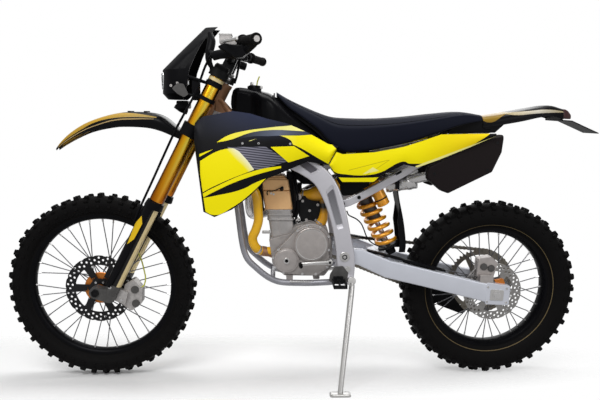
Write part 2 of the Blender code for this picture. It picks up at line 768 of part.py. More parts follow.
SPAR = [(*from_head(-0.0099, -0.0485), 0.032, -0.018, 0.014), (*from_head(0.0561, -0.0785), 0.036, -0.055, 0.014),
        (0.570, 0.905, 0.034, -0.090, 0.014), (0.670, 0.852, 0.032, -0.106, 0.014),
        (0.755, 0.812, 0.033, -0.114, 0.014), (0.812, 0.772, 0.034, -0.119, 0.014),
        (0.848, 0.712, 0.034, -0.124, 0.014), (0.872, 0.640, 0.031, -0.129, 0.013),
        (0.890, 0.560, 0.030, -PLATE_Y, PLATE_HALF), (0.902, 0.488, 0.033, -PLATE_Y, PLATE_HALF),
        (0.905, 0.430, 0.030, -PLATE_Y, PLATE_HALF), (0.903, 0.386, 0.026, -PLATE_Y, PLATE_HALF)]
POCKETS = [[(0.719, 0.824), (0.758, 0.833), (0.806, 0.796), (0.778, 0.783)],
           [(0.851, 0.748), (0.829, 0.727), (0.869, 0.588), (0.893, 0.594)]]
POCKET_DEPTH = 0.006


def spar_side(x, z):
    """Y of the left spar's outer face beside a point of the side view."""
    shares = [(math.hypot(s[0] - x, s[1] - z) ** -4, s[3] - s[4]) for s in SPAR]
    return sum(share * y for share, y in shares) / sum(share for share, _ in shares)


def pocket_cutter(outline):
    """Shallow recess with sloping walls in the left spar's outer face."""
    middle = sum((Vector(p) for p in outline), Vector((0.0, 0.0))) / len(outline)
    floor = [middle + (Vector(p) - middle) * 0.84 for p in outline]
    return loft([[Vector((x, -0.20, z)) for x, z in outline],
                 [Vector((x, spar_side(x, z), z)) for x, z in outline],
                 [Vector((x, spar_side(x, z) + POCKET_DEPTH, z)) for x, z in floor]])


def make_frame(silver, carrier):
    left = cut(beam(SPAR), *[pocket_cutter(outline) for outline in POCKETS])
    right = mirrored(left.copy())
    gussets = []
    for s in (-1, 1):
        gussets.append(bar((*from_head(0.008, 0.032)[:1], s * 0.016, from_head(0.008, 0.032)[1]),
                           (0.522, s * 0.058, 0.956), 0.0095, 6))
    low, high = LOWER_CLAMP[1] + 0.004, UPPER_CLAMP[0] - 0.004
    head = turned([(low, STEM_RADIUS + RUNNING_GAP), (low, 0.030), (high, 0.030),
                   (high, STEM_RADIUS + RUNNING_GAP)], (STEM_OFFSET, 0, 0), (0, 0, 1), 20)
    head = moved(head, FORK_FRAME)
    pivot = bar(PIVOT - SIDE * (PLATE_FACE + 0.003), PIVOT + SIDE * (PLATE_FACE + 0.003), AXLE_RADIUS, 12)
    cross_y = Vector((0.0, PLATE_Y - 0.004, 0.0))
    upper_cross = bar(CROSS_TUBE - cross_y, CROSS_TUBE + cross_y, CROSS_RADIUS, 10)
    bracket = bar(STAND_PIVOT - STAND_AXIS * 0.018, STAND_PIVOT - STAND_AXIS * 0.0003, STAND_BOSS, 14)
    eye = shock_eye()
    ears = []
    for y in (-0.0164, 0.0104):
        edge = [(CROSS_TUBE.x - 0.008, CROSS_TUBE.z + 0.009), (CROSS_TUBE.x + 0.008, CROSS_TUBE.z - 0.009),
                (eye.x + 0.007, eye.z - 0.008), (eye.x + 0.010, eye.z + 0.004), (eye.x - 0.002, eye.z + 0.011),
                (eye.x - 0.010, eye.z + 0.007)]
        ears.append(side_plate(edge, y, y + 0.006))
    frame = united(left, right, pivot, upper_cross, bracket, *ears, *gussets)
    passage = moved(bar((STEM_OFFSET, 0, low - 0.05), (STEM_OFFSET, 0, high + 0.05), 0.024, 20), FORK_FRAME)
    frame = united(cut(frame, passage), head)
    keep("main_frame", frame, silver, carrier)


CRADLE_RADIUS = 0.0115


def make_cradle(silver, carrier):
    """Down tube from the head, split in two under the radiators and led below the engine."""
    route = [(0.484, -0.020, 0.805), (0.501, -0.050, 0.725), (0.513, -0.078, 0.645), (0.536, -0.088, 0.495),
             (0.580, -0.090, 0.435), (0.650, -0.092, 0.387), (0.740, -0.095, 0.379), (0.830, -0.106, 0.384),
             (0.862, -0.122, 0.392), (0.888, -PLATE_Y, 0.402)]
    left = tube(curve_through(route, 2), CRADLE_RADIUS, 6)
    right = mirrored(tube(curve_through(route, 2), CRADLE_RADIUS, 6))
    head_x, head_z = from_head(0.0131, -0.0815)
    down = tube([(head_x, 0.0, head_z), (0.462, 0.0, 0.850), (0.486, 0.0, 0.785)], [0.018, 0.022, 0.028], 10)
    cross = bar((0.640, -0.092, 0.390), (0.640, 0.092, 0.390), 0.009, 8)
    keep("lower_cradle", clear_of(united(down, left, right, cross), "main_frame"), silver, carrier)


def make_subframe(silver, carrier):
    """Seat rails and lower struts that meet under the tail."""
    pieces = []
    for side in (False, True):
        rail = beam([(0.822, 0.806, 0.012, -0.088, 0.008), (0.900, 0.828, 0.012, -0.086, 0.008),
                     (1.050, 0.850, 0.012, -0.082, 0.008),
                     (1.250, 0.895, 0.012, -0.076, 0.008), (1.430, 0.945, 0.012, -0.070, 0.008)])
        strut = beam([(0.889, 0.672, 0.014, -0.086, 0.008), (0.940, 0.690, 0.014, -0.086, 0.008),
                      (1.130, 0.795, 0.014, -0.080, 0.008),
                      (1.300, 0.905, 0.012, -0.075, 0.0075)])
        pieces += [mirrored(rail), mirrored(strut)] if side else [rail, strut]
    for x, z in ((0.930, 0.8335), (1.170, 0.877), (1.400, 0.937)):
        pieces.append(bar((x, -0.080, z), (x, 0.080, z), 0.008, 8))
        if x > 1.0:
            continue
        for s in (-1, 1):
            pieces.append(bar((0.886, s * 0.084, 0.673), (0.874, s * 0.125, 0.676), 0.008, 8))
    pieces.append(bar((0.822, -0.112, 0.806), (0.822, 0.112, 0.806), 0.007, 8))
    keep("subframe", clear_of(united(*pieces), "main_frame"), silver, carrier)


def make_swingarm(white, carrier):
    """Two tapered arms, a bridge ahead of the tyre, the pivot tube and the axle blocks."""
    arm = [(*along_arm(-0.035, -0.0013), 0.024, -ARM_Y, ARM_HALF), (*along_arm(0.109, 0.0083), 0.030, -ARM_Y, ARM_HALF),
           (*along_arm(0.284, -0.0094), 0.033, -ARM_Y, ARM_HALF), (*along_arm(0.530, -0.0065), 0.033, -ARM_Y, ARM_HALF),
           (*along_arm(0.881, -0.0039), 0.034, -ARM_Y, ARM_HALF), (*along_arm(0.951, -0.0024), 0.036, -ARM_Y, ARM_HALF)]
    block_edge = rounded(from_axle((-0.043, -0.036), (0.047, -0.040), (0.050, 0.034), (-0.038, 0.047)), 0.008, 2)
    pieces = []
    for flip in (False, True):
        end = moved(pierced([block_edge], ARM_HALF * 2 + 0.002),
                    Matrix.Translation((0, -ARM_Y, 0)) @ FLAT_TO_SIDE)
        side = united(beam(arm), end)
        pieces.append(mirrored(side) if flip else side)
    x, z = along_arm(0.247, 0.0031)
    bridge = block((x - 0.039, -ARM_Y + 0.004, z - 0.024), (x + 0.039, ARM_Y - 0.004, z + 0.024), 0.014)
    tube_outer = bar(PIVOT - SIDE * (ARM_Y - 0.002), PIVOT + SIDE * (ARM_Y - 0.002), 0.021, 14)
    bore = bar(PIVOT - SIDE * 0.2, PIVOT + SIDE * 0.2, AXLE_RADIUS + GAP, 14)
    arms = cut(united(pieces[0], pieces[1], bridge, tube_outer), bore)
    reach = ARM_Y + 0.020
    axle = bar(REAR_AXLE - SIDE * reach, REAR_AXLE + SIDE * reach, AXLE_RADIUS, 12)
    keep("swingarm", united(arms, axle), white, carrier)


# Engine

def make_engine(metal, bronze, carrier):
    case = rounded([(0.626, 0.540), (0.640, 0.450), (0.682, 0.405), (0.830, 0.403), (0.858, 0.440),
                    (0.858, 0.520), (0.838, 0.585), (0.775, 0.604), (0.722, 0.588), (0.700, 0.560)], 0.014, 2)
    shaft = bar(DRIVE_SHAFT + SIDE * 0.050, DRIVE_SHAFT + SIDE * (CHAIN_Y + 0.008), 0.012, 12)
    generator = turned([(-0.006, 0.058), (0.020, 0.057), (0.028, 0.050), (0.030, 0.030)],
                       CRANK + SIDE * 0.062, SIDE, 24, False)
    sprocket = sprocket_shape(DRIVE_SHAFT, DRIVE_TEETH, 0, 0.0)
    foot_lug = block((0.690, -0.092, 0.386), (0.714, 0.092, 0.410))
    rear_lug = block((0.790, -0.070, 0.386), (0.814, 0.096, 0.410))
    crankcase = united(side_plate(case, -0.086, 0.062), shaft, sprocket, generator, foot_lug, rear_lug)
    keep("crankcase", clear_of(crankcase, "lower_cradle"), metal, carrier)
    lean = Vector((-0.16, 0.0, 1.0)).normalized()
    foot = Vector((0.676, 0.0, 0.560))

    def stage(low, high, half_x, half_y, radius):
        edge = rounded([(-half_x, -half_y), (half_x, -half_y), (half_x, half_y), (-half_x, half_y)], radius, 2)
        return loft([[foot + lean * h + Vector((x, y, 0.0)) for x, y in edge] for h in (low, high)])

    cylinder = united(stage(-0.030, 0.086, 0.045, 0.056, 0.016), stage(0.046, 0.054, 0.049, 0.060, 0.016),
                      stage(0.064, 0.072, 0.049, 0.060, 0.016))
    base = moved(side_plate(case, -0.088, 0.064), Matrix.Translation((0, 0, GAP)))
    keep("cylinder", cut(cylinder, base), metal, carrier)
    head = united(stage(0.0864, 0.200, 0.052, 0.058, 0.012), stage(0.195, 0.214, 0.044, 0.050, 0.012))
    keep("cylinder_head", head, bronze, carrier)
    make_cover(metal, carrier)


CLUTCH = Vector((0.779, 0.0, 0.529))
CRANK = Vector((0.690, 0.0, 0.468))


def make_intake(metal, amber, carrier):
    """Carburettor behind the head, with its amber boot to the airbox and the breather from the crankcase."""
    start, end = Vector((0.700, 0.0, 0.689)), Vector((0.752, -0.012, 0.692))
    axis = end - start
    body = turned([(0.0, 0.029), (0.009, 0.029), (0.010, 0.021), (0.018, 0.026), (0.044, 0.026), (0.046, 0.019),
                   (axis.length, 0.019)], start, axis, 10, False)
    bowl = block((0.717, -0.028, 0.634), (0.749, 0.020, 0.678), 0.006)
    top = turned([(0.0, 0.019), (0.040, 0.019), (0.042, 0.022), (0.050, 0.020)], (0.732, -0.006, 0.690),
                 (-0.10, 0.0, 1.0), 10, False)
    drum = bar((0.732, -0.048, 0.692), (0.732, -0.020, 0.692), 0.014, 10)
    keep("carburettor", clear_of(united(body, bowl, top, drum), "cylinder_head"), metal, carrier)
    points = [(0.7515, -0.012, 0.692), (0.775, -0.022, 0.697), (0.800, -0.034, 0.703), (0.830, -0.045, 0.713),
              (0.860, -0.054, 0.728), (0.886, -0.058, 0.746)]
    boot = tube(points, [0.023, 0.023, 0.029, 0.033, 0.031, 0.021], 10)
    breather = tube([(0.812, -0.046, 0.586), (0.824, -0.048, 0.606), (0.829, -0.048, 0.645), (0.822, -0.044, 0.700)],
                    [0.018, 0.018, 0.014, 0.014], 8)
    keep("intake_boot", clear_of(united(boot, breather), "carburettor", "crankcase", "airbox"), amber, carrier)


def make_cover(metal, carrier):
    """Flat left cover with the round clutch lid and the crank lid."""
    face = -0.0864
    edge = arc((CRANK.x, CRANK.z), 0.052, 120, 262, 6)
    edge += [(0.800, 0.408), (0.848, 0.440)]
    edge += arc((CLUTCH.x, CLUTCH.z), 0.073, -25, 140, 8)
    plate = side_plate(edge, face - 0.020, face)
    clutch = turned([(-0.040, 0.056), (-0.038, 0.060), (-0.034, 0.063), (-0.015, 0.0635)],
                    CLUTCH + SIDE * face, SIDE, 24, False)
    crank = turned([(-0.030, 0.036), (-0.027, 0.044), (-0.015, 0.046)], CRANK + SIDE * face, SIDE, 20, False)
    plug = turned([(-0.036, 0.006), (-0.036, 0.011), (-0.026, 0.012), (-0.026, 0.006)],
                  CRANK + SIDE * face, SIDE, 12)
    keep("left_engine_cover", united(plate, clutch, crank, plug), metal, carrier)


def make_exhaust(steel, black, carrier):
    """Header from the front port, round the right side of the engine and up to the silencers."""
    route = [(0.610, 0.000, 0.726), (0.580, 0.001, 0.720), (0.556, 0.010, 0.695), (0.552, 0.036, 0.640),
             (0.566, 0.076, 0.606), (0.630, 0.100, 0.620), (0.720, 0.096, 0.668), (0.840, 0.068, 0.735),
             (0.960, 0.058, 0.762), (1.090, 0.050, 0.757), (1.150, 0.070, 0.762), (1.200, 0.112, 0.779)]
    pipe = tube(curve_through(route, 2), 0.019, 8)
    branch = tube(curve_through([(1.020, 0.052, 0.760), (1.070, 0.010, 0.757), (1.125, -0.050, 0.757),
                                 (1.155, -0.078, 0.764), (1.200, -0.112, 0.779)], 1), 0.018, 8)
    edge = rounded([(1.185, 0.772), (1.240, 0.727), (1.266, 0.718), (1.420, 0.796), (1.452, 0.870),
                    (1.458, 0.930), (1.400, 0.918), (1.190, 0.812)], 0.010, 2)
    inner = [(1.20 + (x - 1.20) * 0.97 + 0.004, 0.80 + (z - 0.80) * 0.94) for x, z in edge]
    for flip in (False, True):
        rings = [(0.100, inner), (0.106, edge), (0.136, edge), (0.146, inner)]
        bm = loft([[Vector((x, -y, z)) for x, z in outline] for y, outline in rings])
        tab = block((1.355, -0.110, 0.870), (1.375, -0.074, 0.926))
        bm = united(bm, tab)
        name = "right" if flip else "left"
        keep(f"silencer_{name}", clear_of(mirrored(bm) if flip else bm, "subframe"), black, carrier)
    keep("exhaust_pipe", clear_of(united(pipe, branch), "cylinder_head", "silencer_left", "silencer_right"),
         steel, carrier)


def make_radiators(black, carrier):
    """Two cores beside the down tube, with the pipe that links them."""
    edge = rounded([(0.460, 0.690), (0.490, 0.682), (0.474, 0.850), (0.445, 0.855)], 0.004, 1)
    left = side_plate(edge, -0.165, -0.062)
    right = side_plate(edge, 0.062, 0.165)
    link = bar((0.476, -0.070, 0.715), (0.476, 0.070, 0.715), 0.007, 8)
    stay = bar((0.457, -0.070, 0.845), (0.457, 0.070, 0.845), 0.006, 8)
    keep("radiators", clear_of(united(left, right, link, stay), "lower_cradle"), black, carrier)


def make_hose(yellow, carrier):
    route = [(0.478, -0.105, 0.728), (0.510, -0.105, 0.7285), (0.548, -0.103, 0.729), (0.572, -0.100, 0.720), (0.582, -0.100, 0.695),
             (0.586, -0.100, 0.655), (0.588, -0.100, 0.615), (0.578, -0.098, 0.578), (0.566, -0.092, 0.546),
             (0.576, -0.084, 0.512), (0.598, -0.068, 0.494), (0.645, -0.058, 0.491)]
    hose = tube(curve_through(route, 2), 0.0165, 8)
    keep("coolant_hose", clear_of(hose, "radiators", "crankcase"), yellow, carrier)


# Tank, seat and bodywork

def soft_section(x, top, bottom, half_top, half_bottom, crown=0.35):
    """Section across the machine: rounded top, sides that widen to the bottom."""
    height = top - bottom
    side = [(half_bottom, bottom), (half_bottom * 1.0, bottom + height * 0.25),
            ((half_bottom + half_top) / 2, bottom + height * 0.62), (half_top, top - height * crown * 0.5),
            (half_top * 0.70, top - height * 0.06), (0.0, top)]
    ring = side + [(-y, z) for y, z in reversed(side[:-1])]
    return [Vector((x, y, z)) for y, z in ring]


def make_tank(black, carrier):
    stations = [(0.500, 1.080, 1.000, 0.030, 0.036), (0.512, 1.090, 0.992, 0.038, 0.046),
                (0.562, 1.085, 0.950, 0.044, 0.050), (0.600, 1.077, 0.920, 0.086, 0.104),
                (0.640, 1.063, 0.900, 0.100, 0.122),
                (0.700, 1.010, 0.868, 0.100, 0.122), (0.790, 0.940, 0.843, 0.098, 0.118),
                (0.828, 0.905, 0.840, 0.090, 0.108)]
    cap = turned([(-0.010, 0.024), (0.006, 0.025), (0.012, 0.023), (0.016, 0.014)],
                 Vector((0.572, 0.0, 1.0830)), (0.06, 0.0, 1.0), 18, False)
    tank = united(loft([soft_section(*s) for s in stations]), cap)
    keep("fuel_tank", clear_of(tank, "main_frame", "subframe"), black, carrier)


def make_seat(black, carrier):
    stations = [(0.652, 1.074, 1.0645, 0.040, 0.048), (0.690, 1.052, 1.022, 0.062, 0.076),
                (0.740, 1.028, 0.985, 0.080, 0.100), (0.800, 1.003, 0.940, 0.095, 0.118),
                (0.850, 0.987, 0.888, 0.104, 0.128), (0.900, 0.982, 0.862, 0.110, 0.131),
                (1.000, 0.981, 0.872, 0.116, 0.132), (1.110, 0.988, 0.895, 0.118, 0.130),
                (1.230, 1.001, 0.933, 0.114, 0.124), (1.320, 1.008, 0.962, 0.104, 0.112),
                (1.392, 0.998, 0.975, 0.085, 0.092)]
    ribs = [block((0.960, -0.096, 0.838), (0.985, 0.096, 0.885)),
            block((1.240, -0.090, 0.893), (1.265, 0.090, 0.950))]
    seat = united(loft([soft_section(*s, crown=0.5) for s in stations]), *ribs)
    keep("seat", clear_of(seat, "subframe", "fuel_tank"), black, carrier)


def sheet_between(rows, wall):
    """Thin moulded panel: rows of outside points, given the wall's thickness inwards (to +Y)."""
    bm = bmesh.new()
    faces = []
    outside = [[bm.verts.new(p) for p in row] for row in rows]
    inside = [[bm.verts.new(Vector(p) + SIDE * wall) for p in row] for row in rows]
    last, width = len(rows) - 1, len(rows[0]) - 1
    for i in range(last):
        for j in range(width):
            faces.append((outside[i][j], outside[i][j + 1], outside[i + 1][j + 1], outside[i + 1][j]))
            faces.append((inside[i][j], inside[i + 1][j], inside[i + 1][j + 1], inside[i][j + 1]))
        faces.append((outside[i][0], outside[i + 1][0], inside[i + 1][0], inside[i][0]))
        faces.append((outside[i][width], inside[i][width], inside[i + 1][width], outside[i + 1][width]))
    for j in range(width):
        faces.append((outside[0][j], inside[0][j], inside[0][j + 1], outside[0][j + 1]))
        faces.append((outside[last][j], outside[last][j + 1], inside[last][j + 1], inside[last][j]))
    for corners in faces:
        bm.faces.new(corners)
    return bm


def make_shrouds(yellow, carrier):
    """Wings beside the radiators. Each row runs from its top edge to its bottom edge."""
    columns = [(0.372, 0.962, 0.880, 0.150, 0.168), (0.402, 0.985, 0.660, 0.150, 0.196),
               (0.440, 0.992, 0.642, 0.146, 0.200), (0.500, 1.004, 0.668, 0.140, 0.198),
               (0.560, 0.996, 0.712, 0.138, 0.188), (0.620, 0.978, 0.772, 0.137, 0.172),
               (0.690, 0.962, 0.800, 0.136, 0.156), (0.760, 0.932, 0.830, 0.136, 0.146),
               (0.832, 0.892, 0.820, 0.136, 0.142)]
    rows = []
    for x, top, bottom, y_top, y_bottom in columns:
        row = []
        for k in range(6):
            t = k / 5
            bulge = 0.016 * math.sin(math.pi * t)
            y = y_top + (y_bottom - y_top) * t + bulge
            row.append(Vector((x, -y, top + (bottom - top) * t)))
        rows.append(row)
    for name, flip in (("left", False), ("right", True)):
        studs = [bar((0.462, -0.189, 0.800), (0.462, -0.160, 0.800), 0.007, 6),
                 bar((0.690, -0.157, 0.900), (0.690, -0.112, 0.900), 0.007, 6)]
        bm = united(sheet_between(rows, 0.004), *studs)
        bm = clear_of(mirrored(bm) if flip else bm, "radiators", "fuel_tank")
        keep(f"shroud_{name}", bm, yellow, carrier)


def make_side_panels(yellow, carrier):
    columns = [(0.836, 0.880, 0.818), (0.863, 0.866, 0.786), (0.884, 0.857, 0.7595), (0.996, 0.864, 0.7600),
               (1.016, 0.868, 0.780), (1.060, 0.876, 0.800), (1.100, 0.884, 0.822), (1.150, 0.900, 0.812),
               (1.230, 0.928, 0.842),
               (1.330, 0.931, 0.884), (1.420, 0.9325, 0.924)]
    rows = []
    for x, top, bottom in columns:
        tail = max(0.0, (x - 1.10) / 0.32)
        row = []
        for k in range(4):
            t = k / 3
            y = 0.140 + 0.012 * tail + 0.006 * math.sin(math.pi * t)
            row.append(Vector((x, -y - 0.008, top + (bottom - top) * t)))
        rows.append(row)
    for name, flip in (("left", False), ("right", True)):
        studs = [bar((x, -0.150, z), (x, -0.078, z), 0.006, 6) for x, z in ((0.905, 0.828), (1.130, 0.866))]
        bm = united(sheet_between(rows, 0.004), *studs)
        keep(f"side_panel_{name}", clear_of(mirrored(bm) if flip else bm, "subframe", "seat"), yellow, carrier)


def make_airbox(black, carrier):
    edge = rounded([(0.894, 0.700), (0.930, 0.704), (0.985, 0.735), (1.000, 0.770), (1.010, 0.826),
                    (0.900, 0.812), (0.872, 0.780), (0.884, 0.730)], 0.010, 2)
    tab = block((0.904, -0.088, 0.790), (0.922, -0.050, 0.826))
    keep("airbox", clear_of(united(side_plate(edge, -0.079, -0.038), tab), "subframe"), black, carrier)


def make_rear_fender(black, red, carrier):
    stations = [(1.396, 0.992, 0.092, 0.040), (1.460, 1.001, 0.092, 0.040), (1.540, 1.015, 0.088, 0.040),
                (1.600, 1.026, 0.082, 0.038), (1.655, 1.034, 0.075, 0.040), (1.700, 1.024, 0.066, 0.040)]
    rings = [arched_section(x, z, half, drop, 0.004) for x, z, half, drop in stations]
    blade = [(1.690, 0.9785), (1.690, 0.9825), (1.738, 0.9790), (1.841, 0.9345), (1.840, 0.9312),
             (1.737, 0.9755)]
    holder = side_plate(blade, -0.058, 0.058)
    tail_plate = block((1.690, -0.064, 0.9786), (1.7001, 0.064, 1.0150))
    seat_plate = block((1.400, -0.090, 0.945), (1.426, 0.090, 0.976))
    fender = united(loft(rings), tail_plate, holder, seat_plate)
    keep("rear_fender", clear_of(fender, "subframe"), black, carrier)
    lamp = loft([[Vector((x, y, z)) for y, z in rounded([(-h, low), (h, low), (h, high), (-h, high)], 0.006, 2)]
                 for x, h, low, high in ((1.7005, 0.060, 0.986, 1.021), (1.722, 0.056, 0.985, 1.014),
                                         (1.737, 0.048, 0.984, 1.000))])
    keep("tail_lamp", lamp, red, carrier)


# Rear suspension
SHOCK_TOP = Vector((0.962, 0.0, 0.730))
SHOCK_FOOT = Vector((1.093, 0.0, 0.478))
SPRING_RADIUS = 0.036
SPRING_WIRE = 0.0065
SPRING_TURNS = 5


def make_shock(gold, spring_gold, black, carrier):
    axis = (SHOCK_FOOT - SHOCK_TOP).normalized()
    length = (SHOCK_FOOT - SHOCK_TOP).length
    body = turned([(-0.012, 0.016), (-0.010, 0.026), (0.044, 0.026), (0.044, 0.042), (0.050, 0.042),
                   (0.051, 0.025), (0.150, 0.025), (0.151, 0.010), (length - 0.030, 0.010),
                   (length - 0.030, 0.042), (length - 0.022, 0.042), (length - 0.020, 0.018),
                   (length + 0.010, 0.016)], SHOCK_TOP, axis, 12, False)
    can_axis = axis
    can_foot = Vector((1.052, -0.050, 0.664))
    can = turned([(-0.095, 0.018), (-0.090, 0.0235), (-0.004, 0.0235), (0.0, 0.018)], can_foot, can_axis, 14,
                 False)
    neck = bar(SHOCK_TOP + axis * 0.01, can_foot - can_axis * 0.080, 0.012, 10)
    eye_at = shock_eye()
    eye = bar(eye_at - SIDE * 0.010, eye_at + SIDE * 0.010, 0.011, 12)
    link = bar(eye_at, SHOCK_TOP, 0.009, 8)
    toe = bar(SHOCK_FOOT, (1.062, 0.0, 0.456), 0.010, 8)
    keep("shock_body", clear_of(united(body, can, neck, eye, link, toe), "swingarm"), gold, carrier)
    first = axis.cross(SIDE).normalized()
    start, end = 0.050 + SPRING_WIRE + GAP, length - 0.030 - SPRING_WIRE - GAP
    steps = SPRING_TURNS * 9
    points = []
    for i in range(steps + 1):
        t = i / steps
        angle = 2 * math.pi * SPRING_TURNS * t
        along = start + (end - start) * t
        points.append(SHOCK_TOP + axis * along + (first * math.cos(angle) + SIDE * math.sin(angle)) * SPRING_RADIUS)
    keep("shock_spring", tube(points, SPRING_WIRE, 5), spring_gold, carrier)
    flap = curve_through([(1.100, 0.0, 0.733), (1.106, 0.0, 0.690), (1.126, 0.0, 0.598), (1.136, 0.0, 0.520),
                          (1.134, 0.0, 0.484)], 2)
    edge = [(p.x, p.z) for p in flap] + [(p.x - 0.003, p.z) for p in reversed(flap)]
    hanger = block((1.094, -0.088, 0.7265), (1.100, 0.088, 0.7345))
    tabs = [side_plate([(1.086, 0.7270), (1.100, 0.7270), (1.100, 0.772), (1.086, 0.765)], y, y + 0.012)
            for y in (-0.088, 0.076)]
    flap = united(side_plate(edge, -0.055, 0.045), hanger, *tabs)
    keep("mud_flap", clear_of(flap, "subframe"), black, carrier)


def make_rear_brake(silver, carrier):
    edge = rounded(from_axle((-0.070, 0.060), (-0.006, 0.058), (0.010, 0.114), (-0.016, 0.138), (-0.064, 0.130)),
                   0.010, 2)
    body = side_plate(edge, REAR_DISC_Y - 0.022, REAR_DISC_Y + 0.020)
    slot = side_plate(from_axle((-0.088, -0.038), (0.032, -0.038), (0.032, 0.114), (-0.088, 0.114)),
                      REAR_DISC_Y - 0.005, REAR_DISC_Y + 0.005)
    bracket = side_plate(from_axle((-0.063, 0.038), (-0.013, 0.038), (-0.013, 0.074), (-0.063, 0.074)), -0.116, -0.086)
    keep("rear_caliper", clear_of(united(cut(body, slot), bracket), "swingarm"), silver, carrier)


def make_chain_guide(black, carrier):
    """Guide under the right arm: two cheeks joined below the chain, which runs between them."""
    edge = rounded(from_axle((-0.198, -0.026), (-0.123, -0.040), (-0.044, -0.088), (-0.038, -0.124),
                             (-0.073, -0.132), (-0.188, -0.088)), 0.008, 2)
    tab = from_axle((-0.183, -0.048), (-0.138, -0.054), (-0.138, 0.012), (-0.183, 0.022))
    body = united(side_plate(edge, CHAIN_Y - 0.0145, CHAIN_Y + 0.0145), side_plate(tab, 0.088, 0.112))
    between = REAR_AXLE - DRIVE_SHAFT
    heading = Vector((between.x, 0.0, between.z)).normalized()
    down = Vector((heading.z, 0.0, -heading.x))
    drive_radius = CHAIN_PITCH / (2 * math.sin(math.pi / DRIVE_TEETH))
    rear_radius = CHAIN_PITCH / (2 * math.sin(math.pi / REAR_TEETH))
    start = DRIVE_SHAFT + down * drive_radius
    end = REAR_AXLE + down * rear_radius
    run = (end - start).normalized()
    rise = Vector((-run.z, 0.0, run.x)) * 0.012
    channel = [start - rise, end + run * 0.1 - rise, end + run * 0.1 + rise, start + rise]
    slot = side_plate([(p.x, p.z) for p in channel], CHAIN_Y - 0.0095, CHAIN_Y + 0.0095)
    room = bar(REAR_AXLE + SIDE * (CHAIN_Y - 0.0095), REAR_AXLE + SIDE * (CHAIN_Y + 0.0095), rear_radius + 0.010, 40)
    keep("chain_guide", clear_of(cut(body, slot, room), "swingarm"), black, carrier)


# Foot controls

def make_foot_controls(silver, black, carrier):
    peg_at = Vector((0.875, -PLATE_FACE - GAP - 0.006, 0.405))
    for name, flip in (("left", False), ("right", True)):
        bracket = block(peg_at + Vector((-0.018, -0.006, -0.014)), peg_at + Vector((0.018, 0.006, 0.014)), 0.004)
        tray = block(peg_at + Vector((-0.024, -0.090, -0.008)), peg_at + Vector((0.024, -0.012, 0.010)), 0.004)
        arm = bar(peg_at, peg_at - SIDE * 0.03, 0.009, 8)
        bm = united(bracket, tray, arm)
        keep(f"footpeg_{name}", mirrored(bm) if flip else bm, black, carrier)
    pivot = Vector((0.846, -0.1225, 0.466))
    hub = bar(pivot + SIDE * 0.0156, pivot - SIDE * 0.018, 0.009, 10)
    lever = tube([pivot - SIDE * 0.012, Vector((0.800, -0.138, 0.464)), Vector((0.740, -0.142, 0.462))],
                 [0.007, 0.006, 0.006], 8)
    toe = bar((0.740, -0.136, 0.462), (0.740, -0.180, 0.462), 0.007, 8)
    keep("gear_lever", united(hub, lever, toe), silver, carrier)
    pivot = Vector((0.920, PLATE_FACE + GAP, 0.408))
    hub = bar(pivot, pivot + SIDE * 0.020, 0.010, 10)
    arm = tube(curve_through([pivot + SIDE * 0.010, Vector((0.900, 0.154, 0.376)), Vector((0.860, 0.154, 0.368)),
                              Vector((0.790, 0.150, 0.386)), Vector((0.740, 0.150, 0.425))], 2), 0.007, 8)
    pad = block((0.722, 0.136, 0.424), (0.756, 0.172, 0.434), 0.003)
    keep("brake_pedal", united(hub, arm, pad), silver, carrier)


# Side stand
STAND_PIVOT = Vector((0.922, -PLATE_FACE - 0.0070, 0.400))
STAND_AXIS = Vector((0.0, -0.951, 0.308)).normalized()
STAND_BOSS = 0.015
STAND_FOOT = Vector((0.872, -0.315, 0.0))


def ground_level():
    """Height of the floor in the leaned frame: the edge of the tyres' centre lugs touches it."""
    return -CENTRE_LUG_HALF * 0.94 * math.sin(LEAN)


def make_stand(silver, black, carrier):
    """Leg, pivot boss and foot; the foot's sole lies flat on the floor of the leaned machine."""
    floor = ground_level()
    to_bike = Matrix.Rotation(-LEAN, 3, "X")
    sole_centre = Vector((STAND_FOOT.x, 0.0, floor))
    sole_centre.y = (Matrix.Rotation(LEAN, 3, "X") @ STAND_FOOT).y
    rings = []
    for height, half_x, half_y in ((0.0, 0.036, 0.022), (0.007, 0.036, 0.022), (0.010, 0.030, 0.017)):
        edge = rounded([(-half_x, -half_y), (half_x, -half_y), (half_x, half_y), (-half_x, half_y)], 0.010, 2)
        rings.append([to_bike @ (sole_centre + Vector((x, y, height))) for x, y in edge])
    foot = loft(rings)
    ankle = to_bike @ (sole_centre + Vector((0.0, 0.0, 0.008)))
    leg = tube([STAND_PIVOT + Vector((0, -0.014, -0.002)), STAND_PIVOT + Vector((-0.004, -0.030, -0.05)), ankle],
               [0.009, 0.011, 0.010], 10)
    boss = bar(STAND_PIVOT + STAND_AXIS * 0.0003, STAND_PIVOT + STAND_AXIS * 0.020, STAND_BOSS, 14)
    keep("side_stand", united(foot, leg, boss), silver, carrier)


def centre_on_floor(lean):
    """Origin at the middle of the footprint, on the floor."""
    bpy.context.view_layer.update()
    low = Vector((1e9, 1e9, 1e9))
    high = -low
    for obj in bpy.data.objects:
        if obj.type != "MESH":
            continue
        for vert in obj.data.vertices:
            point = obj.matrix_world @ vert.co
            low = Vector(map(min, low, point))
            high = Vector(map(max, high, point))
    lean.location -= Vector(((low.x + high.x) / 2, (low.y + high.y) / 2, low.z))


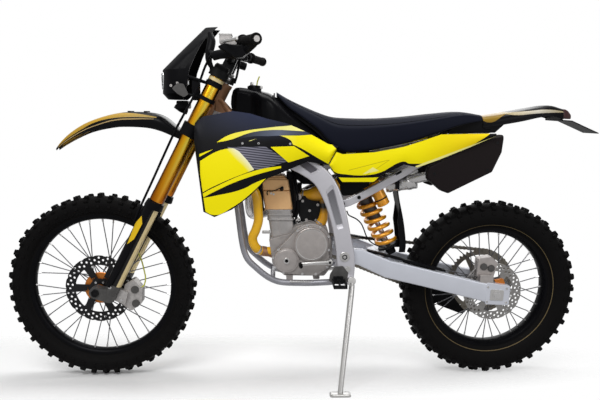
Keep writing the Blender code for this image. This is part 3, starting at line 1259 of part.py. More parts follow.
def main():
    clear_scene()
    black = make_material("black_plastic", (0.015, 0.015, 0.017), 0.45)
    yellow = make_material("yellow_plastic", (0.90, 0.86, 0.01), 0.30)
    gold = make_material("gold_anodised", (0.75, 0.40, 0.06), 0.28, 1.0)
    steel = make_material("steel", (0.55, 0.55, 0.56), 0.30, 1.0)
    silver = make_material("silver_frame", (0.62, 0.63, 0.66), 0.35, 0.6)
    engine = make_material("engine_metal", (0.36, 0.34, 0.34), 0.5, 0.8)
    bronze = make_material("bronze_head", (0.52, 0.33, 0.18), 0.5, 0.5)
    dark = make_material("dark_metal", (0.10, 0.10, 0.10), 0.45, 0.8)
    rubber = make_material("rubber", (0.02, 0.02, 0.02), 0.85)
    glass = make_material("lamp_glass", (0.75, 0.76, 0.78), 0.08)
    red = make_material("lamp_red", (0.35, 0.01, 0.01), 0.15)
    seat_cover = make_material("seat_cover", (0.025, 0.027, 0.033), 0.6)
    hose = make_material("yellow_hose", (0.85, 0.50, 0.02), 0.35)

    machine = make_carrier("machine", Vector((0, 0, 0)))
    steering = make_carrier("steering", FORK_FRAME @ Vector((STEM_OFFSET, 0, LOWER_CLAMP[1])), machine)
    front_wheel = make_carrier("front_wheel", FRONT_AXLE, steering)
    rear_wheel = make_carrier("rear_wheel", REAR_AXLE, machine)
    stand = make_carrier("stand", STAND_PIVOT, machine)

    make_tyre("front_tyre", FRONT_AXLE, FRONT, rubber, front_wheel)
    bore = AXLE_RADIUS + RUNNING_GAP
    face = FRONT_DISC_Y + DISC_THICKNESS / 2 + GAP
    front_hub = [(face, bore), (face, 0.034), (face + 0.006, 0.034), (-0.040, 0.026), (-0.035, 0.036),
                 (-0.029, 0.036), (-0.026, 0.022), (0.026, 0.022), (0.029, 0.036), (0.035, 0.036),
                 (0.040, 0.020), (0.060, 0.018), (0.060, bore)]
    make_laced_wheel("front_laced_wheel", FRONT_AXLE, FRONT, front_hub, 0.036, 0.032, black, front_wheel)
    make_disc("front_disc", FRONT_AXLE, FRONT_DISC_RADIUS, 0.018, FRONT_DISC_Y, 10, steel, front_wheel)

    make_tyre("rear_tyre", REAR_AXLE, REAR, rubber, rear_wheel)
    face = REAR_DISC_Y + DISC_THICKNESS / 2 + GAP
    rear_hub = [(face, bore), (face, 0.034), (face + 0.006, 0.036), (-0.042, 0.032), (-0.038, 0.044),
                (-0.031, 0.044), (-0.027, 0.028), (0.027, 0.028), (0.031, 0.044), (0.038, 0.044),
                (0.044, 0.040), (CHAIN_Y - 0.0034, 0.052), (CHAIN_Y - 0.0034, bore)]
    make_laced_wheel("rear_laced_wheel", REAR_AXLE, REAR, rear_hub, 0.044, 0.0345, black, rear_wheel)
    make_disc("rear_disc", REAR_AXLE, REAR_DISC_RADIUS, 0.018, REAR_DISC_Y, 12, steel, rear_wheel)
    keep("rear_sprocket", sprocket_shape(REAR_AXLE, REAR_TEETH, 5, 0.030), dark, rear_wheel)

    make_sliders(steel, steering)
    for side, name in ((-1, "left"), (1, "right")):
        make_outer(side, name, gold, steering)
        make_guard(side, name, black, steering)
    make_clamps(silver, black, steering)
    make_bar(black, steering)
    make_front_fender(black, steering)
    make_mask(black, glass, steering)
    make_front_caliper(silver, steering)

    make_frame(silver, machine)
    make_cradle(silver, machine)
    make_subframe(silver, machine)
    make_swingarm(silver, machine)
    make_engine(engine, bronze, machine)
    make_exhaust(steel, black, machine)
    make_radiators(black, machine)
    make_hose(hose, machine)
    make_tank(black, machine)
    make_seat(seat_cover, machine)
    make_shrouds(yellow, machine)
    make_side_panels(yellow, machine)
    make_airbox(black, machine)
    make_intake(dark, hose, machine)
    make_rear_fender(black, red, machine)
    make_shock(gold, gold, black, machine)
    make_rear_brake(silver, machine)
    make_chain(dark, machine)
    make_chain_guide(black, machine)
    make_foot_controls(silver, black, machine)
    make_stand(silver, black, stand)

    machine.rotation_euler = (LEAN, 0.0, 0.0)
    centre_on_floor(machine)


main()
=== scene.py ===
"""Looks of the enduro motorcycle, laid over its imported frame.

Every shape is drawn on the upright machine: X runs from the front axle to the rear one,
Y to the rider's right, Z up from the ground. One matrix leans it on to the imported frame.
"""

import json
import math

import bmesh
import bpy
from bpy.props import FloatProperty, FloatVectorProperty, IntProperty, PointerProperty
from mathutils import Matrix, Vector


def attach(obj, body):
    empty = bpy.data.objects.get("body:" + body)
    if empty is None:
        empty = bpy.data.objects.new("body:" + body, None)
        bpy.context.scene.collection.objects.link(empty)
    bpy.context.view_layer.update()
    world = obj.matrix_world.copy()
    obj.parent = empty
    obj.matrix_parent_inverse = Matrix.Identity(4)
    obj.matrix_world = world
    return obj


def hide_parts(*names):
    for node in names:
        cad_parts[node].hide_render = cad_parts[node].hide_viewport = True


bl_info = {"name": "Enduro Motorcycle", "version": (1, 0, 0), "blender": (4, 5, 0),
    "location": "3D View > Sidebar > Motorcycle",
    "description": "Dresses an enduro motorcycle: tyres, wheels, fork, bodywork, engine and stage",
    "category": "Object"}

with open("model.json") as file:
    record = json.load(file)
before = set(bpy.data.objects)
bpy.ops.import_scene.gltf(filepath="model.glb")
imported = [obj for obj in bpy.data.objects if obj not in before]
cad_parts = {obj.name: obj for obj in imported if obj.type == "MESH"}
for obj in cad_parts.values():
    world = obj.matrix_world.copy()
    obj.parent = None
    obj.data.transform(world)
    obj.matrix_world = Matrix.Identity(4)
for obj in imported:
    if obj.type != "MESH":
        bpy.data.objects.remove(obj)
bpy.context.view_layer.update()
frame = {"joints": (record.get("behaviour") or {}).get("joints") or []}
JOINTS = {joint["name"]: joint for joint in frame["joints"]}

# Stance
WHEELBASE = 1.468
RAKE = math.radians(27.0)
FRONT_RADIUS = 0.35
REAR_RADIUS = 0.338
FRONT_AXLE = Vector((0.0, 0.0, FRONT_RADIUS))
REAR_AXLE = Vector((WHEELBASE, 0.0, REAR_RADIUS))
SIDE = Vector((0.0, 1.0, 0.0))
UP = Vector((0.0, 0.0, 1.0))
SIDES = ((-1, "left"), (1, "right"))
AXLE_BAR = 0.0098
HUB_BORE = 0.0107

# Fork
LEG_SPREAD = 0.102
AXLE_LEAD = 0.0486
STEM_OFFSET = 0.022
OUTER_RADIUS = 0.0265
SLIDER_RADIUS = 0.0235
UP_FORK = Vector((math.sin(RAKE), 0.0, math.cos(RAKE)))
BACK_FORK = Vector((math.cos(RAKE), 0.0, -math.sin(RAKE)))
FORK_FOOT = FRONT_AXLE + BACK_FORK * AXLE_LEAD
FORK_FRAME = Matrix(((BACK_FORK.x, 0.0, UP_FORK.x, FORK_FOOT.x), (0.0, 1.0, 0.0, 0.0),
    (BACK_FORK.z, 0.0, UP_FORK.z, FORK_FOOT.z), (0.0, 0.0, 0.0, 1.0)))

# Frame, engine and chain drive
ARM_Y = 0.1065
ARM_HALF = 0.013
PLATE_HALF = 0.0115
PLATE_Y = ARM_Y + ARM_HALF + 0.0015 + PLATE_HALF
PLATE_FACE = PLATE_Y + PLATE_HALF
PIVOT = Vector((0.898, 0.0, 0.488))
CLUTCH = Vector((0.779, 0.0, 0.529))
CRANK = Vector((0.69, 0.0, 0.468))
COVER_FACE = -0.0864
CHAIN_PITCH = 0.015875
CHAIN_Y = 0.078
SPROCKET_THICKNESS = 0.006
REAR_TEETH = 50
DRIVE_TEETH = 14
DRIVE_SHAFT = Vector((0.832, 0.0, 0.494))
FRONT_DISC_Y = -0.0585
REAR_DISC_Y = -0.07
STAND_PIVOT = Vector((0.922, -PLATE_FACE - 0.007, 0.4))

# Photograph's camera, on the upright machine
CAMERA_AIM = Vector((0.7415, 0.0, 0.6742))
CAMERA_DISTANCE = 2.2909
CAMERA_ELEVATION = 0.1389
CAMERA_AZIMUTH = -0.0386
CAMERA_ROLL = 0.0076
CAMERA_LENS = 36.43

FLAT_TO_SIDE = Matrix.Rotation(math.pi / 2, 4, "X")


def lean_of_the_machine():
    """Angle of the parked machine, read from its rear axle."""
    across = JOINTS["rear_axle"]["axis"]
    return math.atan2(across[2], across[1])


def machine_matrix():
    """From the upright machine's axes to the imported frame's."""
    turn = Matrix.Rotation(lean_of_the_machine(), 4, "X")
    return Matrix.Translation(Vector(JOINTS["rear_axle"]["pos_m"]) - turn @ REAR_AXLE) @ turn


MACHINE = machine_matrix()


def length_property(label, text, value):
    return FloatProperty(name=label, description=text, default=value, unit="LENGTH")


class EnduroSizes(bpy.types.PropertyGroup):
    """Sizes that a user would change."""

    spoke_radius: length_property("Spoke radius", "Radius of one spoke", 0.0019)
    spoke_count: IntProperty(name="Spokes", description="Spokes in each wheel", default=36, min=12, max=48)
    lug_height: length_property("Lug height", "Height of the tyre's knobs", 0.0125)
    bolt_radius: length_property("Bolt radius", "Radius of a cover bolt's head", 0.0048)
    hose_radius: length_property("Coolant hose radius", "Radius of the coolant hose", 0.0168)


def colour_property(label, text, value):
    return FloatVectorProperty(name=label, description=text, default=value, size=3, min=0.0, max=1.0, subtype="COLOR")


class EnduroColours(bpy.types.PropertyGroup):
    """Colours that a user would change, as linear values."""

    panel: colour_property("Panels", "Yellow of the moulded panels", (0.97, 0.84, 0.004))
    flash: colour_property("Flash", "Pale yellow of the highlights and flashes", (0.95, 0.9, 0.3))
    gold: colour_property("Gold", "Anodised fork tubes and hub", (0.86, 0.42, 0.025))
    spring: colour_property("Spring", "Shock spring and its canister", (0.9, 0.36, 0.012))
    hose: colour_property("Hose", "Silicone coolant hose", (0.96, 0.5, 0.004))
    frame: colour_property("Frame", "Silver frame and swingarm", (0.58, 0.57, 0.61))
    engine: colour_property("Engine", "Cast engine cases", (0.38, 0.353, 0.34))
    bronze: colour_property("Cylinder head", "Bronze cylinder head", (0.95, 0.55, 0.26))
    # On the shrouds, navy gives the painted sheen along their dark top.
    navy: colour_property("Navy", "Blue-black of the seat and the upper graphics", (0.012, 0.015, 0.032))


# Node trees

def joined_node(tree, kind, settings=None, inputs=None, output=0):
    """Adds a node, its settings first, then the values or links of its sockets."""
    node = tree.nodes.new(kind)
    for key, value in (settings or {}).items():
        if key == "stops":
            set_stops(node.color_ramp, value)
        else:
            setattr(node, key, value)
    pairs = inputs.items() if isinstance(inputs, dict) else enumerate(inputs or [])
    for key, value in pairs:
        socket = node.inputs[key]
        if isinstance(value, Value):
            tree.links.new(value.socket, socket)
        elif isinstance(value, (tuple, Vector)):
            size = len(socket.default_value)
            socket.default_value = (*value, 1.0)[:size]
        elif value is not None:
            socket.default_value = value
    return Value(tree, node.outputs[output])


def set_stops(ramp, stops):
    while len(ramp.elements) < len(stops):
        ramp.elements.new(1.0)
    for element, (position, colour) in zip(ramp.elements, stops):
        element.position = position
        element.color = (*colour, 1.0)


class Value:
    """A node's output. Arithmetic on it adds Math nodes."""

    def __init__(self, tree, socket):
        self.tree = tree
        self.socket = socket

    def maths(self, operation, *others):
        return joined_node(self.tree, "ShaderNodeMath", {"operation": operation}, [self, *others])

    def from_number(self, operation, number):
        return joined_node(self.tree, "ShaderNodeMath", {"operation": operation}, [number, self])

    def __add__(self, other):
        return self.maths("ADD", other)

    __radd__ = __add__

    def __sub__(self, other):
        return self.maths("SUBTRACT", other)

    def __rsub__(self, other):
        return self.from_number("SUBTRACT", other)

    def __mul__(self, other):
        return self.maths("MULTIPLY", other)

    __rmul__ = __mul__

    def __truediv__(self, other):
        return self.maths("DIVIDE", other)

    def above(self, other):
        return self.maths("GREATER_THAN", other)

    def below(self, other):
        return self.maths("LESS_THAN", other)

    def least(self, other):
        return self.maths("MINIMUM", other)

    def most(self, other):
        return self.maths("MAXIMUM", other)

    def clamped(self):
        return self.most(0.0).least(1.0)

    def size(self):
        return self.maths("ABSOLUTE")

    def sine(self):
        return self.maths("SINE")

    def root(self):
        return self.maths("SQRT")


class Finish:
    """One surface finish: a Principled material whose patterns lie on the upright machine."""

    def __init__(self, name, slot, colour, roughness, metallic=0.0, **shader_values):
        self.slot = slot
        self.material = bpy.data.materials.new(name)
        self.material.use_nodes = True
        self.tree = self.material.node_tree
        self.shader = self.tree.nodes["Principled BSDF"]
        self.drawing = BLACK
        self.set("Base Color", (*colour, 1.0))
        self.set("Roughness", roughness)
        self.set("Metallic", metallic)
        for key, value in shader_values.items():
            self.set(key.replace("_", " ").title().replace("Ior", "IOR"), value)

    def set(self, socket, value):
        if isinstance(value, Value):
            self.tree.links.new(value.socket, self.shader.inputs[socket])
        else:
            self.shader.inputs[socket].default_value = value

    def node(self, kind, settings=None, inputs=None, output=0):
        return joined_node(self.tree, kind, settings, inputs, output)

    def place(self):
        """Point on the upright machine, as a vector."""
        point = self.node("ShaderNodeTexCoord", output="Object")
        return self.node("ShaderNodeMapping", {"vector_type": "TEXTURE"},
            {"Vector": point, "Location": MACHINE.translation, "Rotation": (lean_of_the_machine(), 0.0, 0.0)})

    def axes(self):
        """The three parts of the place on the machine."""
        split = self.tree.nodes.new("ShaderNodeSeparateXYZ")
        self.tree.links.new(self.place().socket, split.inputs[0])
        return [Value(self.tree, output) for output in split.outputs]

    def noise(self, scale, detail):
        return self.node("ShaderNodeTexNoise", None,
            {"Vector": self.place(), "Scale": scale, "Detail": detail, "Roughness": 0.55})

    def mixed(self, factor, first, second):
        """Colour between two colours."""
        node = self.tree.nodes.new("ShaderNodeMix")
        node.data_type = "RGBA"
        for socket, value in ((node.inputs[0], factor), (node.inputs[6], first), (node.inputs[7], second)):
            if isinstance(value, Value):
                self.tree.links.new(value.socket, socket)
            elif isinstance(value, (int, float)):
                socket.default_value = value
            else:
                socket.default_value = (*value[:3], 1.0)
        return Value(self.tree, node.outputs[2])

    def layer(self, mask, colour):
        """Lays a colour over the drawing where the mask is 1."""
        self.drawing = self.mixed(mask, self.drawing, colour)

    def printed(self):
        """Sets the drawing as the colour, over the fine orange peel of a moulded part."""
        self.set("Base Color", self.drawing)
        self.bumped(self.noise(900.0, 2.0), 0.05, 0.0004)
        return self

    def bumped(self, height, strength, distance=0.001):
        self.set("Normal",
            self.node("ShaderNodeBump", None, {"Height": height, "Strength": strength, "Distance": distance}))

    def worn(self, colour, amount=0.25, scale=60.0, roughness=0.4, spread=0.12):
        """Uneven colour and gloss, so that no surface is one flat value."""
        cloud = self.noise(scale, 4.0)
        dark = tuple(c * (1.0 - amount) for c in colour)
        light = tuple(min(1.0, c * (1.0 + amount)) for c in colour)
        self.set("Base Color", self.mixed(cloud, dark, light))
        self.set("Roughness", cloud * (2 * spread) + (roughness - spread))
        return cloud


# Shapes

def placed(name, data):
    """A new object of the scene."""
    obj = bpy.data.objects.new(name, data)
    bpy.context.scene.collection.objects.link(obj)
    return obj


def evaluated_mesh(obj):
    """Plain mesh of an object with its modifiers applied."""
    bpy.context.view_layer.update()
    return bpy.data.meshes.new_from_object(obj.evaluated_get(bpy.context.evaluated_depsgraph_get()))


def circle(radius, sides, centre=(0.0, 0.0)):
    step = 2 * math.pi / sides
    return [(centre[0] + radius * math.cos(i * step), centre[1] + radius * math.sin(i * step)) for i in range(sides)]


def arc(centre, radius, start, end, steps):
    """Points of an arc in a plane, angles in degrees."""
    angles = [math.radians(start + (end - start) * i / steps) for i in range(steps + 1)]
    return [(centre[0] + radius * math.cos(a), centre[1] + radius * math.sin(a)) for a in angles]


def rectangle(half_x, half_y):
    return [(-half_x, -half_y), (half_x, -half_y), (half_x, half_y), (-half_x, half_y)]


def rounded(outline, radius, steps=5):
    """A polygon with its corners rounded."""
    points = [Vector(p) for p in outline]
    result = []
    for i, corner in enumerate(points):
        to_last = points[i - 1] - corner
        to_next = points[(i + 1) % len(points)] - corner
        half = to_last.angle(to_next) / 2
        reach = min(radius / math.tan(half), to_last.length * 0.45, to_next.length * 0.45)
        first = corner + to_last.normalized() * reach
        last = corner + to_next.normalized() * reach
        for k in range(steps + 1):
            t = k / steps
            result.append(tuple(first * (1 - t) ** 2 + corner * 2 * t * (1 - t) + last * t**2))
    return result


def curve_through(points, steps=8):
    """A smooth curve through points of any size."""
    points = [Vector(p) for p in points]
    ends = [points[0] * 2 - points[1], *points, points[-1] * 2 - points[-2]]
    result = []
    for before, start, end, after in zip(ends, ends[1:], ends[2:], ends[3:]):
        for k in range(steps):
            t = k / steps
            result.append(0.5 * (2 * start + (end - before) * t + (2 * before - 5 * start + 4 * end - after) * t * t
                + (3 * start - before - 3 * end + after) * t**3))
    result.append(points[-1])
    return result


def loft(rings, closed=False):
    """Skin over rings with equal numbers of points, closed by its two end rings or on to its first one."""
    bm = bmesh.new()
    loops = [[bm.verts.new(point) for point in ring] for ring in rings]
    count = len(loops[0])
    pairs = list(zip(loops, loops[1:]))
    if closed:
        pairs.append((loops[-1], loops[0]))
    for first, second in pairs:
        for i in range(count):
            j = (i + 1) % count
            bm.faces.new((first[i], first[j], second[j], second[i]))
    if not closed:
        bm.faces.new(loops[0][::-1])
        bm.faces.new(loops[-1])
    return bm


def tube(points, radius, sides=16, flat=1.0):
    """Round bar or pipe along a path; radius may be one number or one for each point."""
    points = [Vector(p) for p in points]
    radii = radius if isinstance(radius, (list, tuple)) else [radius] * len(points)
    across = None
    rings = []
    for i, (point, size) in enumerate(zip(points, radii)):
        ahead = (points[min(i + 1, len(points) - 1)] - points[max(i - 1, 0)]).normalized()
        if across is None:
            across = SIDE.cross(ahead) if abs(ahead.y) < 0.98 else UP.cross(ahead)
        across = (across - ahead * across.dot(ahead)).normalized()
        other = ahead.cross(across)
        rings.append([point + across * (u * size) + other * (v * size * flat) for u, v in circle(1.0, sides)])
    return loft(rings)


def tapered(path, first, drop):
    """Radii along a path, from the first one down by a drop."""
    return [first - drop * i / (len(path) - 1) for i in range(len(path))]


def bar(start, end, radius, sides=20):
    return tube([start, end], radius, sides)


def turned(profile, origin, axis=SIDE, sides=48, closed=True):
    """Turned piece: profile points are (distance along the axis, radius)."""
    axis = Vector(axis).normalized()
    first = axis.cross(Vector((0.31, 0.17, 0.93))).normalized()
    second = axis.cross(first)
    rings = [[Vector(origin) + axis * along + (first * u + second * v) * radius for u, v in circle(1.0, sides)]
        for along, radius in profile]
    return loft(rings, closed)


def by_rear_axle(outline):
    """Side view points that are measured from the rear axle."""
    return [(REAR_AXLE.x + x, REAR_AXLE.z + z) for x, z in outline]


def side_plate(outline, y_low, y_high):
    """An outline of (x, z) points pulled through from y_low to y_high."""
    return loft([[Vector((x, y, z)) for x, z in outline] for y in (y_low, y_high)])


def block(low, high, radius=0.0):
    corners = [(low[0], low[2]), (high[0], low[2]), (high[0], high[2]), (low[0], high[2])]
    return side_plate(rounded(corners, radius, 3) if radius else corners, low[1], high[1])


def moved(bm, matrix):
    bmesh.ops.transform(bm, matrix=matrix, verts=bm.verts)
    return bm


def mirrored(bm):
    """The same shape on the other side of the machine."""
    moved(bm, Matrix.Diagonal((1.0, -1.0, 1.0, 1.0)))
    bmesh.ops.reverse_faces(bm, faces=bm.faces)
    return bm


def on_side(bm, side):
    """A shape of the left side, mirrored where the side is 1, the right."""
    return mirrored(bm) if side > 0 else bm


def on_fork(bm, side=-1):
    """From the fork's own axes to the machine's."""
    return moved(on_side(bm, side), FORK_FRAME)


def pierced(outlines, thickness):
    """Flat plate with holes, in the XY plane and centred on it. The first outline is its edge."""
    curve = bpy.data.curves.new("outline", "CURVE")
    curve.dimensions = "2D"
    curve.fill_mode = "BOTH"
    curve.extrude = thickness / 2
    for outline in outlines:
        spline = curve.splines.new("POLY")
        spline.points.add(len(outline) - 1)
        for point, (x, y) in zip(spline.points, outline):
            point.co = (x, y, 0.0, 1.0)
        spline.use_cyclic_u = True
    obj = placed("outline", curve)
    mesh = evaluated_mesh(obj)
    bm = bmesh.new()
    bm.from_mesh(mesh)
    bpy.data.meshes.remove(mesh)
    bpy.data.curves.remove(curve)
    bmesh.ops.remove_doubles(bm, verts=bm.verts, dist=1e-6)
    return bm


def on_wheel(centre, y):
    return Matrix.Translation(Vector((centre.x, y, centre.z))) @ FLAT_TO_SIDE


def tidy(bm):
    bmesh.ops.remove_doubles(bm, verts=bm.verts, dist=2e-6)
    bmesh.ops.recalc_face_normals(bm, faces=bm.faces)
    return bm


def mesh_from(bm, name="shape"):
    mesh = bpy.data.meshes.new(name)
    tidy(bm).to_mesh(mesh)
    bm.free()
    return mesh


def gathered(meshes):
    """One shape of several meshes, which are used up, with one finish on all its faces."""
    total = bmesh.new()
    for mesh in meshes:
        total.from_mesh(mesh)
        bpy.data.meshes.remove(mesh)
    for face in total.faces:
        face.material_index = 0
    return total


def merged(*shapes):
    """Several separate shells in one mesh."""
    return gathered(mesh_from(shape) for shape in shapes)


def combined(base, tools, operation):
    """The base joined with the tools, or with the tools cut from it."""
    group = bpy.data.collections.new("tools")
    bpy.context.scene.collection.children.link(group)
    body = placed("base", mesh_from(base))
    helpers = []
    for tool in tools:
        helper = bpy.data.objects.new("tool", mesh_from(tool))
        group.objects.link(helper)
        helpers.append(helper)
    modifier = body.modifiers.new("combine", "BOOLEAN")
    modifier.operation = operation
    modifier.operand_type = "COLLECTION"
    modifier.collection = group
    mesh = evaluated_mesh(body)
    result = bmesh.new()
    result.from_mesh(mesh)
    bpy.data.meshes.remove(mesh)
    for obj in [body, *helpers]:
        bpy.data.meshes.remove(obj.data)
    bpy.data.collections.remove(group)
    bmesh.ops.dissolve_limit(result, angle_limit=math.radians(0.2), verts=result.verts, edges=result.edges)
    return result


def united(base, *tools):
    return combined(base, tools, "UNION")


def cut(base, *tools):
    return combined(base, tools, "DIFFERENCE")


def fitted(name, shape, body, finish, replaces=None, sharp=38, bevel=0.0, mesh=None):
    """A finished piece: leaned on to the frame, shaded, given its finish and fixed to its body."""
    mesh = mesh or mesh_from(shape, name)
    mesh.name = name
    mesh.transform(MACHINE)
    mesh.shade_smooth()
    mesh.set_sharp_from_angle(angle=math.radians(sharp))
    if not mesh.materials:
        mesh.materials.append(FINISH[finish].material)
    obj = placed(name, mesh)
    if bevel:
        rounding = obj.modifiers.new("rounded edges", "BEVEL")
        rounding.width = bevel
        rounding.segments = 2
        rounding.limit_method = "ANGLE"
        rounding.angle_limit = math.radians(sharp)
        rounding.harden_normals = False
    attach(obj, body)
    if replaces:
        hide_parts(replaces)
    return obj


# Finishes

BLACK = (0.0045, 0.0045, 0.0055)
LEG_LEAN = math.tan(math.pi / 2 - 1.0995)
LEG_SHIFT = 0.1238
WALL_STRIPE = 0.2478
CHARCOAL = (0.01, 0.008, 0.009)
DULL = 0.07


def line_at(finish, x, points):
    """Height of a drawn line over x, through (x, z) points of the side view."""
    share = 0.6
    node = finish.tree.nodes.new("ShaderNodeFloatCurve")
    curve = node.mapping.curves[0]
    scaled = [(px * share, pz * share) for px, pz in points]
    curve.points[0].location = scaled[0]
    curve.points[1].location = scaled[-1]
    for point in scaled[1:-1]:
        curve.points.new(*point)
    node.mapping.extend = "HORIZONTAL"
    node.mapping.update()
    finish.tree.links.new((x * share).socket, node.inputs["Value"])
    return Value(finish.tree, node.outputs[0]) / share


def band(finish, x, z, top, bottom):
    """1 between two drawn lines, within the stretch that both cover."""
    low, high = max(top[0][0], bottom[0][0]), min(top[-1][0], bottom[-1][0])
    inside = z.below(line_at(finish, x, top)) * z.above(line_at(finish, x, bottom))
    return inside * x.above(low) * x.below(high)


def within(x, z, corners):
    """1 inside a convex outline of (x, z) corners."""
    centre_x = sum(c[0] for c in corners) / len(corners)
    centre_z = sum(c[1] for c in corners) / len(corners)
    mask = None
    for (x1, z1), (x2, z2) in zip(corners, corners[1:] + corners[:1]):
        along_x, along_z = x2 - x1, z2 - z1
        turn = 1.0 if (centre_z - z1) * along_x - (centre_x - x1) * along_z > 0 else -1.0
        side = (z * (turn * along_x) - x * (turn * along_z)).above(turn * (z1 * along_x - x1 * along_z))
        mask = side if mask is None else mask * side
    return mask


def shroud_print_and_highlights(name, colours):
    """Printed film of the shrouds: yellow fields, thin stripes, a ruled grey patch and bare dark areas, with painted
    highlights: a navy sheen on the dark top and pale light on the yellow stripe and fields.
    """
    finish = Finish(name, "yellow_plastic", colours.panel, 0.42, 0.0, specular_ior_level=0.09)
    x, _, z = finish.axes()
    yellow = tuple(colours.panel)
    pale = tuple(colours.flash)
    navy = tuple(colours.navy)
    # Painted highlight: a pale navy sheen on the dark top of the shroud, strongest high up around x 0.6.
    sheen = (x - 0.6).size() * -4.0 + 1.0
    painted_highlight = (sheen * (z - 0.9) * 9.0).clamped()
    finish.layer(painted_highlight, tuple(c * 3.2 for c in navy))
    stripe_low = [(0.449, 0.897), (0.494, 0.906), (0.563, 0.93), (0.624, 0.939), (0.725, 0.937), (0.786, 0.932)]
    stripe_top = [(0.449, 0.898), (0.49, 0.922), (0.542, 0.936), (0.603, 0.945), (0.678, 0.953), (0.766, 0.954),
        (0.786, 0.933)]
    field_top = [(0.559, 0.903), (0.624, 0.917), (0.725, 0.921), (0.803, 0.918), (0.863, 0.873)]
    field_low = [(0.559, 0.901), (0.704, 0.903), (0.708, 0.891), (0.721, 0.886), (0.808, 0.837), (0.829, 0.825),
        (0.863, 0.805)]
    grey_low = [(0.494, 0.899), (0.563, 0.917), (0.624, 0.919), (0.725, 0.922), (0.8, 0.919)]
    mist = ((x - 0.66).size() * -7.0 + 1.0).most(0.0)
    grey = finish.mixed(mist, BLACK, (0.13, 0.15, 0.21))
    finish.layer(band(finish, x, z, stripe_low, grey_low), grey)
    # Painted highlight: the upper stripe turns from yellow to pale towards the rear.
    shade = ((x - 0.45) * 4.0).clamped()
    finish.layer(band(finish, x, z, stripe_top, stripe_low), finish.mixed(shade, yellow, pale))
    # Painted highlight: the upper yellow field turns pale at its front end.
    glow = ((x - 0.56) * -6.0 + 1.0).clamped()
    finish.layer(band(finish, x, z, field_top, field_low), finish.mixed(glow, yellow, pale))
    ruled = (z * 760.0 + x * 90.0).sine() * 0.5 + 0.5
    patch_fade = ((x - 0.48) * 5.0).clamped()
    ruled_grey = finish.mixed(ruled, (0.035, 0.035, 0.05),
        finish.mixed(patch_fade, (0.3, 0.29, 0.36), (0.17, 0.17, 0.21)))
    patch = [(0.484, 0.881), (0.615, 0.883), (0.693, 0.833), (0.591, 0.801), (0.574, 0.808)]
    finish.layer(within(x, z, patch), ruled_grey)
    lozenge = [(0.632, 0.882), (0.713, 0.885), (0.767, 0.85), (0.694, 0.828)]
    finish.layer(within(x, z, lozenge), yellow)
    big_top = [(0.392, 0.833), (0.493, 0.877), (0.514, 0.873), (0.542, 0.848), (0.575, 0.806)]
    big_low = [(0.392, 0.722), (0.439, 0.748), (0.575, 0.804)]
    big = band(finish, x, z, big_top, big_low)
    # Painted highlight: the big yellow field fades to near white along its upper edge.
    edge = line_at(finish, x, [(0.39, 1.0), (0.492, 0.9), (0.514, 0.876), (0.542, 0.85), (0.575, 0.808)])
    bright = (((edge - z) * -26.0) + 1.0).clamped()
    finish.layer(big, finish.mixed(bright, yellow, (0.93, 0.92, 0.66)))
    strip_top = [(0.392, 0.718), (0.439, 0.744), (0.575, 0.8), (0.669, 0.816)]
    strip_low = [(0.392, 0.703), (0.439, 0.729), (0.526, 0.768), (0.669, 0.809)]
    finish.layer(band(finish, x, z, strip_top, strip_low), yellow)
    lower_top = [(0.392, 0.706), (0.439, 0.715), (0.541, 0.74), (0.574, 0.757), (0.62, 0.775)]
    lower_low = [(0.392, 0.5), (0.62, 0.5)]
    finish.layer(band(finish, x, z, lower_top, lower_low), yellow)
    flash = [(0.39, 0.848), (0.436, 0.873), (0.418, 0.868), (0.39, 0.857)]
    finish.layer(within(x, z, flash), yellow)
    foot = line_at(finish, x, [(0.402, 0.6675), (0.44, 0.649), (0.5, 0.675), (0.56, 0.7185), (0.62, 0.778)])
    front = line_at(finish, z, [(0.66, 0.4095), (0.88, 0.3795)])
    finish.layer((foot - z).above(0.0) * x.below(0.62), BLACK)
    finish.layer((front - x).above(0.0), BLACK)
    return finish.printed()


def side_print_and_crease_shade(name, colours):
    """Printed film of the side panels: yellow with dark border stripes and pale flashes, with painted shade along two
    crease lines and a painted highlight between them.
    """
    finish = Finish(name, "yellow_plastic", colours.panel, 0.42, 0.0, specular_ior_level=0.09)
    x, _, z = finish.axes()
    yellow = tuple(colours.panel)
    pale = tuple(colours.flash)
    amber = ((x - 1.14) * 3.2).most(0.0).least(0.62)
    finish.drawing = finish.mixed(amber, yellow, (0.92, 0.62, 0.01))
    # Painted shade along two crease lines, then a painted highlight on the pale patch between them.
    for start, end in (((0.905, 0.801), (1.045, 0.838)), ((0.935, 0.762), (1.049, 0.838))):
        line = line_at(finish, x, [start, end])
        crease = (z - line).size().below(0.0011) * x.above(start[0]) * x.below(end[0])
        finish.layer(crease * 0.6, (0.3, 0.24, 0.01))
    finish.layer(within(x, z, [(0.955, 0.787), (1.012, 0.8), (0.99, 0.812)]), pale)
    border_top = [(0.828, 0.828), (0.859, 0.794), (0.892, 0.787), (0.976, 0.785), (1.026, 0.797), (1.052, 0.812),
        (1.08, 0.828), (1.105, 0.832), (1.1176, 0.8255), (1.402, 0.9345)]
    finish.layer(z.below(line_at(finish, x, border_top)), BLACK)
    tail_top = [(1.134, 0.814), (1.445, 0.934)]
    tail_low = [(1.142, 0.808), (1.445, 0.9265)]
    finish.layer(band(finish, x, z, tail_top, tail_low), pale)
    flash_top = [(0.868, 0.7755), (0.934, 0.7745), (1.012, 0.7765)]
    flash_low = [(0.868, 0.774), (0.885, 0.76), (0.995, 0.761), (1.012, 0.775)]
    finish.layer(band(finish, x, z, flash_top, flash_low), yellow)
    return finish.printed()


